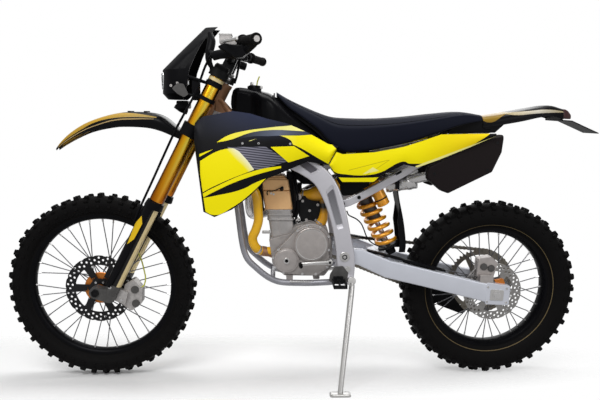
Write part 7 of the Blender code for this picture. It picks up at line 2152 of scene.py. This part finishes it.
def shrouds():
    rows = []
    for x, top, bottom, y_top, y_bottom in straight_between(SHROUD, 5):
        row = []
        for k in range(25):
            t = k / 24
            bulge = 0.016 * math.sin(math.pi * t)
            row.append(Vector((x, -(y_top + (y_bottom - y_top) * t + bulge), top + (bottom - top) * t)))
        rows.append(row)
    for side, name in SIDES:
        shell = sheet_between(rows, 0.004)
        fitted(f"shroud_shell_{name}", on_side(shell, side), "frame", "shroud film", f"shroud_{name}", bevel=0.0012,
            sharp=50)
        studs = merged(bar((0.462, side * 0.186, 0.8), (0.462, side * 0.16, 0.8), 0.007, 20),
            bar((0.69, side * 0.153, 0.9), (0.69, side * 0.112, 0.9), 0.007, 20))
        fitted(f"shroud_studs_{name}", studs, "frame", "black moulding")
        marks = [((x, side * y, z), SIDE * side) for x, y, z in ((0.536, 0.1735, 0.894), (0.591, 0.168, 0.894),
            (0.7, 0.16, 0.893))]
        bolts(f"shroud_bolts_{name}", marks, 0.004, "frame", "ground steel", 0.0024)


def side_panels():
    rows = []
    for x, top, bottom in straight_between(SIDE_PANEL, 5):
        tail = max(0.0, (x - 1.1) / 0.32)
        row = []
        for k in range(13):
            t = k / 12
            y = 0.14 + 0.012 * tail + 0.006 * math.sin(math.pi * t)
            row.append(Vector((x, -y - 0.008, top + (bottom - top) * t)))
        rows.append(row)
    for side, name in SIDES:
        shell = sheet_between(rows, 0.004)
        fitted(f"side_panel_shell_{name}", on_side(shell, side), "frame", "side panel film", f"side_panel_{name}",
            bevel=0.0012, sharp=50)
        studs = merged(*[bar((x, side * 0.147, z), (x, side * 0.082, z), 0.006, 16)
            for x, z in ((0.905, 0.828), (1.13, 0.866))])
        fitted(f"side_panel_studs_{name}", studs, "frame", "black moulding")


def airbox():
    edge = rounded([(0.894, 0.7), (0.93, 0.704), (0.985, 0.735), (1.0, 0.77), (1.01, 0.826), (0.9, 0.812),
        (0.872, 0.78), (0.884, 0.73)], 0.01, 6)
    shell = merged(side_plate(edge, -0.079, -0.038), side_plate(shrunk(edge, 0.8), -0.0815, -0.07),
        block((0.904, -0.088, 0.79), (0.922, -0.05, 0.823), 0.003))
    fitted("airbox_shell", shell, "frame", "black moulding", "airbox", bevel=0.002, sharp=30)


def rear_fender():
    stations = [(1.396, 0.992, 0.092, 0.04), (1.46, 1.001, 0.092, 0.04), (1.54, 1.015, 0.088, 0.04),
        (1.6, 1.026, 0.082, 0.038), (1.655, 1.034, 0.075, 0.04), (1.7, 1.024, 0.066, 0.04)]
    fitted("rear_fender_shell", fender_shell(stations, 0.004), "frame", "rear fender film", "rear_fender",
        bevel=0.001, sharp=45)
    blade = side_plate([(1.69, 0.9785), (1.69, 0.9825), (1.738, 0.979), (1.841, 0.9345), (1.84, 0.9312),
        (1.737, 0.9755)], -0.058, 0.058)
    plates = [block((1.69, -0.064, 0.9786), (1.7001, 0.064, 1.015), 0.002),
        block((1.4, -0.09, 0.945), (1.426, 0.09, 0.976), 0.004)]
    fitted("plate_holder", merged(blade, *plates), "frame", "black moulding", "rear_fender", bevel=0.001)
    filler = side_plate([(1.265, 0.93), (1.3, 0.97), (1.472, 0.987), (1.48, 0.969), (1.4417, 0.9335)], -0.088, -0.084)
    fitted("tail_side_covers", both_sides(lambda: filler.copy()), "frame", "black moulding", bevel=0.001)
    board = side_plate([(1.7425, 0.9772), (1.7428, 0.9784), (1.838, 0.9372), (1.8376, 0.9362)], -0.05, 0.05)
    fitted("blank_plate", board, "frame", "bright alloy", bevel=0.0004)
    glass = [rounded([(-h, low), (h, low), (h, high), (-h, high)], 0.006, 5)
        for h, low, high in ((0.06, 0.986, 1.021), (0.0585, 0.9855, 1.019), (0.056, 0.985, 1.014),
        (0.048, 0.984, 1.0))]
    lamp = loft([[Vector((x, y, z)) for y, z in outline] for x, outline in zip((1.7005, 1.712, 1.722, 1.737), glass)])
    fitted("tail_lamp_lens", lamp, "frame", "red lens", "tail_lamp", bevel=0.002, sharp=32)


def mud_flap():
    spine = curve_through([(1.1, 0.0, 0.733), (1.106, 0.0, 0.69), (1.126, 0.0, 0.598), (1.136, 0.0, 0.52),
        (1.134, 0.0, 0.484)], 8)
    edge = [(p.x, p.z) for p in spine] + [(p.x - 0.003, p.z) for p in reversed(spine)]
    ribs = []
    for y in (-0.052, 0.039):
        deep = [0.003 + 0.019 * max(0.0, min(1.0, (0.66 - p.z) / 0.06)) for p in spine]
        ridge = [(p.x + 0.0015, p.z) for p in spine] + [(p.x - d, p.z)
            for p, d in zip(reversed(spine), reversed(deep))]
        ribs.append(side_plate(ridge, y, y + 0.003))
    tabs = [side_plate([(1.086, 0.727), (1.1, 0.727), (1.1, 0.77), (1.086, 0.763)], y, y + 0.012)
        for y in (-0.088, 0.076)]
    hanger = block((1.094, -0.088, 0.7265), (1.1, 0.088, 0.7345), 0.002)
    fitted("mud_flap_sheet", merged(side_plate(edge, -0.055, 0.045), *ribs, *tabs, hanger), "frame", "black moulding",
        "mud_flap", sharp=40)


class ENDURO_OT_bodywork(bpy.types.Operator):
    """Tank, seat, shrouds, side panels, airbox, rear fender and mud flap"""

    bl_idname = "enduro.bodywork"
    bl_label = "Bodywork"

    def execute(self, context):
        fuel_tank()
        seat()
        shrouds()
        side_panels()
        airbox()
        rear_fender()
        mud_flap()
        return {"FINISHED"}


# Rear suspension, brake and chain

SPRING_TURNS = 6


def shock_absorber():
    axis = (SHOCK_FOOT - SHOCK_TOP).normalized()
    length = (SHOCK_FOOT - SHOCK_TOP).length
    collar = [(0.0415, 0.026), (0.0425, 0.04), (0.0435, 0.0415), (0.049, 0.0415), (0.05, 0.04), (0.051, 0.025)]
    body = turned([(-0.012, 0.0), (-0.012, 0.016), (-0.009, 0.0235), (-0.004, 0.0258), (0.0405, 0.0258), *collar,
        (0.148, 0.0245), (0.151, 0.0235), (0.152, 0.0)], SHOCK_TOP, axis, 56, False)
    fitted("shock_cylinder", body, "frame", "dark casting", "shock_body", sharp=28)
    crown = turned([(0.0415, 0.0262), (0.0425, 0.0402), (0.0435, 0.042), (0.049, 0.042), (0.05, 0.0402),
        (0.051, 0.0255)], SHOCK_TOP, axis, 56)
    fitted("spring_crown", crown, "frame", "spring paint", sharp=28)
    rod = turned([(0.14, 0.0), (0.14, 0.0098), (length - 0.031, 0.0098), (length - 0.031, 0.0)], SHOCK_TOP, axis, 32,
        False)
    fitted("shock_rod", rod, "frame", "ground steel", sharp=30)
    foot = turned([(length - 0.032, 0.0), (length - 0.031, 0.04), (length - 0.029, 0.0418), (length - 0.023, 0.0418),
        (length - 0.021, 0.038), (length - 0.018, 0.019), (length + 0.008, 0.0165), (length + 0.01, 0.0)], SHOCK_TOP,
        axis, 56, False)
    fitted("spring_seat", foot, "frame", "dark metal", sharp=28)
    can_foot = Vector((1.052, -0.05, 0.664))
    can = turned([(-0.0955, 0.0), (-0.0955, 0.017), (-0.0935, 0.0212), (-0.089, 0.0238), (-0.012, 0.0238),
        (-0.011, 0.0226), (-0.0085, 0.0226), (-0.0075, 0.0238), (-0.003, 0.0238), (-0.0004, 0.0205), (-0.0004, 0.0)],
        can_foot, axis, 48, False)
    neck = bar(SHOCK_TOP + axis * 0.01, can_foot - axis * 0.08, 0.012, 24)
    fitted("shock_reservoir", merged(can, neck), "frame", "spring paint", "shock_body", sharp=28)
    lid = turned([(-0.0004, 0.0), (-0.0004, 0.018), (0.0004, 0.018), (0.0006, 0.0)], can_foot, axis, 40, False)
    fitted("reservoir_lid", lid, "frame", "dark metal")
    band = turned([(-0.029, 0.0236), (-0.029, 0.0243), (-0.024, 0.0243), (-0.024, 0.0236)], can_foot, axis, 48)
    fitted("reservoir_band", band, "frame", "dark metal")
    eye_at = SHOCK_TOP + (SHOCK_TOP - SHOCK_FOOT).normalized() * 0.03
    eye = merged(bar(eye_at - SIDE * 0.0098, eye_at + SIDE * 0.0098, 0.011, 28), bar(eye_at, SHOCK_TOP, 0.009, 20),
        bar(SHOCK_FOOT, (1.062, 0.0, 0.456), 0.01, 20))
    fitted("shock_eyes", eye, "frame", "dark metal", "shock_body", sharp=30)
    first = axis.cross(SIDE).normalized()
    wire, coil = 0.0076, 0.0358
    start, end = 0.05 + wire + 0.0006, length - 0.031 - wire - 0.0006
    steps = SPRING_TURNS * 28
    points = []
    for i in range(steps + 1):
        t = i / steps
        angle = 2 * math.pi * SPRING_TURNS * t
        points.append(SHOCK_TOP + axis * (start + (end - start) * t)
            + (first * math.cos(angle) + SIDE * math.sin(angle)) * coil)
    fitted("shock_spring_coil", tube(points, wire, 16), "frame", "spring paint", "shock_spring", sharp=60)


def rear_caliper():
    x, z = REAR_AXLE.x, REAR_AXLE.z
    edge = rounded(by_rear_axle([(-0.07, 0.06), (-0.006, 0.058), (0.01, 0.114), (-0.016, 0.138), (-0.064, 0.13)]),
        0.01, 5)
    body = side_plate(edge, REAR_DISC_Y - 0.022, REAR_DISC_Y + 0.02)
    gap = side_plate(by_rear_axle([(-0.088, -0.038), (0.032, -0.038), (0.032, 0.114), (-0.088, 0.114)]),
        REAR_DISC_Y - 0.005, REAR_DISC_Y + 0.005)
    arm = side_plate(rounded(by_rear_axle([(-0.063, 0.038), (-0.013, 0.038), (-0.013, 0.074), (-0.063, 0.074)]),
        0.006, 4), -0.1155, -0.086)
    fitted("rear_caliper_body", merged(cut(body, gap), arm), "frame", "machined lid", "rear_caliper", bevel=0.0018,
        sharp=30)
    caps = merged(*[turned([(0.0, 0.0), (0.0, 0.0125), (0.003, 0.0135), (0.0055, 0.0135), (0.0055, 0.0)],
        (x + dx, REAR_DISC_Y - 0.0272, z + dz), SIDE, 28) for dx, dz in ((-0.044, 0.1), (-0.016, 0.094))])
    fitted("rear_caliper_caps", caps, "frame", "dark casting", sharp=30)
    anchor = side_plate(rounded(by_rear_axle([(-0.004, 0.05), (0.03, 0.056), (0.038, 0.036), (0.006, 0.036)]), 0.003,
        3), -0.098, -0.086)
    fitted("caliper_anchor", anchor, "frame", "copper hub", bevel=0.001)


def chain_path():
    """Chain centre line round both sprockets, in the side view."""
    drive_radius = CHAIN_PITCH / (2 * math.sin(math.pi / DRIVE_TEETH))
    rear_radius = CHAIN_PITCH / (2 * math.sin(math.pi / REAR_TEETH))
    between = REAR_AXLE - DRIVE_SHAFT
    distance = math.hypot(between.x, between.z)
    heading = math.degrees(math.atan2(between.z, between.x))
    spread = math.degrees(math.acos((drive_radius - rear_radius) / distance))
    path = arc((DRIVE_SHAFT.x, DRIVE_SHAFT.z), drive_radius, heading + spread, heading - spread + 360, 60)
    path += arc((REAR_AXLE.x, REAR_AXLE.z), rear_radius, heading - spread, heading + spread, 180)
    return [Vector(p) for p in path]


def drive_chain():
    """Rollers and the two kinds of link plates, each copied along the chain's own loop."""
    path = chain_path()
    lengths = [(b - a).length for a, b in zip(path, path[1:] + path[:1])]
    total = sum(lengths)
    links = 2 * round(total / CHAIN_PITCH / 2)
    pins = []
    for i in range(links):
        along = total * i / links
        k = 0
        while along > lengths[k]:
            along -= lengths[k]
            k += 1
        point = path[k] + (path[(k + 1) % len(path)] - path[k]).normalized() * along
        pins.append(Vector((point.x, CHAIN_Y, point.y)))
    pitch = total / links
    roller = turned([(-0.0055, 0.0), (-0.0055, 0.0025), (-0.004, 0.0025), (-0.004, 0.005), (0.004, 0.005),
        (0.004, 0.0025), (0.0055, 0.0025), (0.0055, 0.0)], (0, 0, 0), UP, 14, False)

    def plate(offset, thickness, height):
        half = pitch / 2
        edge = arc((half, 0.0), height, -90, 90, 8) + [(0.0, height * 0.74)] + arc((-half, 0.0), height, 90, 270, 8)
        edge.append((0.0, -height * 0.74))
        return merged(*[moved(pierced([edge], thickness), Matrix.Translation((0, 0, s * offset))) for s in (-1, 1)])

    marks = [(p, SIDE, Vector((1.0, 0.0, 0.0))) for p in pins]
    meshes = [copies(roller, marks, "chain steel")]
    for first, shape in ((0, plate(0.0053, 0.0011, 0.0066)), (1, plate(0.0039, 0.0011, 0.0064))):
        marks = []
        for i in range(first, links, 2):
            start, end = pins[i], pins[(i + 1) % links]
            marks.append(((start + end) / 2, SIDE, (end - start).normalized()))
        meshes.append(copies(shape, marks, "chain steel"))
    fitted("drive_chain_links", gathered(meshes), "frame", "chain steel", "drive_chain", sharp=35)


def chain_guide():
    edge = rounded(by_rear_axle([(-0.198, -0.026), (-0.123, -0.04), (-0.07, -0.108), (-0.052, -0.126),
        (-0.073, -0.132), (-0.188, -0.088)]), 0.008, 5)
    cheeks = [side_plate(edge, CHAIN_Y - 0.0145, CHAIN_Y - 0.0098),
        side_plate(edge, CHAIN_Y + 0.0098, CHAIN_Y + 0.0145)]
    tab = side_plate(by_rear_axle([(-0.183, -0.048), (-0.138, -0.054), (-0.138, 0.006), (-0.183, 0.016)]),
        CHAIN_Y + 0.01, 0.1115)
    floor = side_plate(rounded(by_rear_axle([(-0.186, -0.089), (-0.074, -0.133), (-0.054, -0.127), (-0.066, -0.117),
        (-0.182, -0.072)]), 0.003, 3), CHAIN_Y - 0.014, CHAIN_Y + 0.014)
    fitted("chain_guide_cheeks", merged(*cheeks, tab, floor), "frame", "black moulding", "chain_guide", bevel=0.001,
        sharp=30)


class ENDURO_OT_suspension(bpy.types.Operator):
    """Shock absorber, rear caliper, chain and chain guide"""

    bl_idname = "enduro.suspension"
    bl_label = "Rear suspension and drive"

    def execute(self, context):
        shock_absorber()
        rear_caliper()
        drive_chain()
        chain_guide()
        return {"FINISHED"}


# Foot controls

def footpegs():
    at = Vector((0.875, -PLATE_FACE - 0.0064, 0.405))

    def hinge():
        return merged(block(at + Vector((-0.018, -0.006, -0.014)), at + Vector((0.018, 0.0058, 0.014)), 0.004),
            bar(at, at - SIDE * 0.03, 0.009, 20))

    def tray():
        """Open tray with a row of teeth on each long edge."""
        low, high = at + Vector((-0.024, -0.09, -0.008)), at + Vector((0.024, -0.012, 0.005))
        shells = [block(low, Vector((low.x + 0.004, high.y, high.z)), 0.001),
            block(Vector((high.x - 0.004, low.y, low.z)), high, 0.001),
            block(low, Vector((high.x, low.y + 0.004, high.z)), 0.003),
            block(Vector((low.x, high.y - 0.004, low.z)), high, 0.003),
            block(Vector((-0.002 + at.x, low.y, low.z)), Vector((at.x + 0.002, high.y, high.z - 0.001)), 0.001)]
        for x in (low.x + 0.002, high.x - 0.002):
            for i in range(10):
                y = low.y + 0.0045 + i * 0.0077
                shells.append(
                    loft([[Vector((x + u * 0.0019, y + v * 0.0026 * s, z))
                    for u, v in ((-1, -1), (1, -1), (1, 1), (-1, 1))]
                    for z, s in ((high.z - 0.001, 1.0), (high.z + 0.0046, 0.25))]))
        return merged(*shells)

    for side, name in SIDES:
        for label, make in (("hinge", hinge), ("tray", tray)):
            fitted(f"footpeg_{label}_{name}", on_side(make(), side), "frame", "dark metal", f"footpeg_{name}",
                bevel=0.0006, sharp=34)


def foot_levers():
    pivot = Vector((0.846, -0.1225, 0.466))
    hub = turned([(-0.0155, 0.0), (-0.0155, 0.0095), (0.014, 0.0105), (0.017, 0.01), (0.0178, 0.008), (0.0178, 0.0)],
        pivot, -SIDE, 32, False)
    path = curve_through([pivot - SIDE * 0.012, (0.828, -0.137, 0.4655), (0.79, -0.141, 0.464),
        (0.74, -0.142, 0.4615)], 6)
    widths = tapered(path, 0.0085, 0.0028)
    fitted("gear_lever_arm", merged(hub, tube(path, widths, 20, 0.7)), "frame", "bright alloy", "gear_lever",
        sharp=34)
    core = turned([(0.016, 0.0), (0.016, 0.0052), (0.0184, 0.0052), (0.0186, 0.0)], pivot, -SIDE, 6, False)
    fitted("gear_lever_bolt", core, "frame", "dark metal")
    toe = [(-0.18, 0.0), (-0.18, 0.0062), (-0.1785, 0.007), (-0.15, 0.007), (-0.148, 0.006), (-0.136, 0.006),
        (-0.136, 0.0)]
    fitted("gear_lever_toe", turned(toe, (0.74, 0.0, 0.4615), SIDE, 24, False), "frame", "tyre rubber", "gear_lever",
        sharp=34)
    pivot = Vector((0.92, PLATE_FACE + 0.0004, 0.408))
    hub = bar(pivot, pivot + SIDE * 0.0195, 0.0098, 24)
    arm = tube(curve_through([pivot + SIDE * 0.01, (0.9, 0.154, 0.376), (0.86, 0.154, 0.368), (0.79, 0.15, 0.386),
        (0.74, 0.15, 0.425)], 6), 0.0068, 20, 0.8)
    pad = block((0.722, 0.136, 0.4245), (0.756, 0.172, 0.432), 0.003)
    teeth = [block((0.724 + i * 0.0075, 0.138, 0.431), (0.7275 + i * 0.0075, 0.17, 0.4338)) for i in range(5)]
    fitted("brake_pedal_arm", merged(hub, arm, pad, *teeth), "frame", "bright alloy", "brake_pedal", bevel=0.0006,
        sharp=34)


class ENDURO_OT_controls(bpy.types.Operator):
    """Footpegs, gear lever and brake pedal"""

    bl_idname = "enduro.controls"
    bl_label = "Foot controls"

    def execute(self, context):
        footpegs()
        foot_levers()
        return {"FINISHED"}


# Cables and brake lines

FORK_LINES = {"front_brake_line": ("black cable", 0.0042,
    ((0.478, -0.214, 1.202), (0.452, -0.196, 1.196), (0.43, -0.17, 1.186), (0.416, -0.14, 1.168),
    (0.404, -0.124, 1.148), (0.393, -0.12, 1.12), (0.379, -0.118, 1.085), (0.36, -0.118, 1.044),
    (0.333, -0.12, 0.996), (0.306, -0.118, 0.948), (0.279, -0.114, 0.895), (0.25, -0.11, 0.835),
    (0.22, -0.106, 0.772), (0.19, -0.104, 0.71), (0.164, -0.104, 0.655), (0.144, -0.106, 0.608))),
    "lower_brake_line": ("brake line", 0.0026, ((0.124, -0.07, 0.54), (0.13, -0.062, 0.52), (0.136, -0.056, 0.502),
    (0.1407, -0.052, 0.4885), (0.147, -0.05, 0.474), (0.1522, -0.05, 0.4596), (0.157, -0.05, 0.442),
    (0.1605, -0.05, 0.426), (0.1635, -0.05, 0.41), (0.166, -0.05, 0.396), (0.1668, -0.051, 0.384),
    (0.1652, -0.053, 0.372), (0.162, -0.055, 0.362), (0.156, -0.058, 0.356), (0.148, -0.06, 0.354))),
    "bar_cable": ("black cable", 0.0044, ((0.527, -0.08, 1.204), (0.5245, -0.072, 1.193), (0.5215, -0.064, 1.181),
    (0.519, -0.057, 1.17), (0.5165, -0.05, 1.159), (0.514, -0.044, 1.148), (0.5115, -0.039, 1.138),
    (0.509, -0.035, 1.128), (0.506, -0.032, 1.119), (0.503, -0.03, 1.111), (0.5, -0.029, 1.103)))}


def lines():
    for name, (finish, radius, points) in FORK_LINES.items():
        path = curve_through([Vector(p) for p in points], 5)
        wires(name, [path], radius, "fork", finish)


def shock_cable():
    """Thin cable that loops from the spar down past the spring."""
    path = curve_through(((0.908, -0.098, 0.648), (0.9171, -0.09, 0.6312), (0.945, -0.08, 0.616),
        (0.9644, -0.075, 0.5976), (0.976, -0.072, 0.574), (0.9855, -0.07, 0.5502), (1.002, -0.07, 0.528),
        (1.0268, -0.072, 0.514), (1.056, -0.078, 0.508)), 6)
    wires("shock_cable", [path], 0.0024, "frame", "black cable")


class ENDURO_OT_cables(bpy.types.Operator):
    """Brake lines and cables"""

    bl_idname = "enduro.cables"
    bl_label = "Cables"

    def execute(self, context):
        lines()
        shock_cable()
        return {"FINISHED"}


# Stage

def soft_light(name, place, aim, size, power):
    light = bpy.data.lights.new(name, "AREA")
    light.shape = "RECTANGLE"
    light.size, light.size_y = size
    light.energy = power
    lamp = placed(name, light)
    lamp.location = place
    lamp.rotation_euler = (Vector(aim) - Vector(place)).to_track_quat("-Z", "Y").to_euler()


def studio_world():
    """White to the camera and in reflections, softer as light."""
    world = bpy.data.worlds.new("studio")
    world.use_nodes = True
    bpy.context.scene.world = world
    tree = world.node_tree
    ray = tree.nodes.new("ShaderNodeLightPath")
    seen = Value(tree, ray.outputs["Is Camera Ray"]).most(Value(tree, ray.outputs["Is Transmission Ray"]))
    glossy = Value(tree, ray.outputs["Is Glossy Ray"])
    strength = seen.most(glossy * 0.5).most(0.34)
    background = tree.nodes["Background"]
    background.inputs["Color"].default_value = (1.0, 1.0, 1.0, 1.0)
    tree.links.new(strength.socket, background.inputs["Strength"])


FLOOR_HALF = (3.6, 2.4)
FLOOR_FADE = (0.85, 1.6)


def pale_floor():
    """Pale sheet under the tyres that fades out before its own edge."""
    bm = bmesh.new()
    half_x, half_y = FLOOR_HALF
    corners = rectangle(half_x, half_y)
    bm.faces.new([bm.verts.new((x, y, -0.0006)) for x, y in corners])
    mesh = bpy.data.meshes.new("floor")
    bm.to_mesh(mesh)
    bm.free()
    floor = placed("floor", mesh)
    finish = Finish("pale floor", None, (0.96, 0.96, 0.96), 1.0, 0.0, specular_ior_level=0.0)
    x, y, _ = finish.axes()
    along, across = x / 1.35, (y - 0.14) / 0.34
    reach = (along * along + across * across).root()
    first, last = FLOOR_FADE
    finish.set("Alpha", ((reach - last) * (-1.0 / (last - first))).clamped())
    mesh.materials.append(finish.material)


def photograph_camera():
    back = Vector((math.sin(CAMERA_AZIMUTH) * math.cos(CAMERA_ELEVATION),
        -math.cos(CAMERA_AZIMUTH) * math.cos(CAMERA_ELEVATION), math.sin(CAMERA_ELEVATION)))
    eye = CAMERA_AIM + back * CAMERA_DISTANCE
    right = (-back).cross(UP).normalized()
    above = right.cross(-back)
    c, s = math.cos(CAMERA_ROLL), math.sin(CAMERA_ROLL)
    right, above = right * c + above * s, above * c - right * s
    stance = Matrix(((right.x, above.x, back.x, eye.x), (right.y, above.y, back.y, eye.y),
        (right.z, above.z, back.z, eye.z), (0.0, 0.0, 0.0, 1.0)))
    data = bpy.data.cameras.new("camera")
    data.lens = CAMERA_LENS
    data.sensor_width = 36.0
    data.sensor_fit = "HORIZONTAL"
    camera = placed("camera", data)
    camera.matrix_world = MACHINE @ stance
    bpy.context.scene.camera = camera


class ENDURO_OT_stage(bpy.types.Operator):
    """Pale floor, soft light and the photograph's camera"""

    bl_idname = "enduro.stage"
    bl_label = "Stage"

    def execute(self, context):
        context.scene.view_settings.view_transform = "Standard"
        studio_world()
        pale_floor()
        soft_light("key", (-1.0, -3.2, 3.2), (0.0, 0.0, 0.5), (2.6, 1.8), 105.0)
        soft_light("fill", (2.4, -3.0, 1.4), (0.2, 0.0, 0.5), (1.8, 1.8), 20.0)
        soft_light("top", (0.2, 0.4, 3.4), (0.1, 0.0, 0.4), (3.0, 1.2), 50.0)
        soft_light("rear", (0.6, 3.2, 2.2), (0.1, 0.0, 0.6), (3.0, 2.0), 30.0)
        photograph_camera()
        return {"FINISHED"}


class ENDURO_OT_finishes(bpy.types.Operator):
    """Materials of every surface"""

    bl_idname = "enduro.finishes"
    bl_label = "Finishes"

    def execute(self, context):
        FINISH.update(make_finishes(context.scene.enduro_colours))
        return {"FINISHED"}


OPERATORS = (ENDURO_OT_finishes, ENDURO_OT_wheels, ENDURO_OT_fork, ENDURO_OT_frame, ENDURO_OT_engine,
    ENDURO_OT_bodywork, ENDURO_OT_suspension, ENDURO_OT_controls, ENDURO_OT_cables, ENDURO_OT_stage)


class ENDURO_PT_motorcycle(bpy.types.Panel):
    """Buttons of the motorcycle, in the order in which it is made"""

    bl_idname = "ENDURO_PT_motorcycle"
    bl_label = "Enduro Motorcycle"
    bl_space_type = "VIEW_3D"
    bl_region_type = "UI"
    bl_category = "Motorcycle"

    def draw(self, context):
        for group in (context.scene.enduro_sizes, context.scene.enduro_colours):
            for name in group.bl_rna.properties.keys():
                if name not in ("rna_type", "name"):
                    self.layout.prop(group, name)
        for operator in OPERATORS:
            self.layout.operator(operator.bl_idname)


CLASSES = (EnduroSizes, EnduroColours, *OPERATORS, ENDURO_PT_motorcycle)


def register():
    for cls in CLASSES:
        bpy.utils.register_class(cls)
    bpy.types.Scene.enduro_sizes = PointerProperty(type=EnduroSizes)
    bpy.types.Scene.enduro_colours = PointerProperty(type=EnduroColours)


def unregister():
    del bpy.types.Scene.enduro_sizes
    del bpy.types.Scene.enduro_colours
    for cls in reversed(CLASSES):
        bpy.utils.unregister_class(cls)


def main():
    register()
    for operator in OPERATORS:
        group, name = operator.bl_idname.split(".")
        getattr(getattr(bpy.ops, group), name)()


if __name__ == "__main__":
    main()
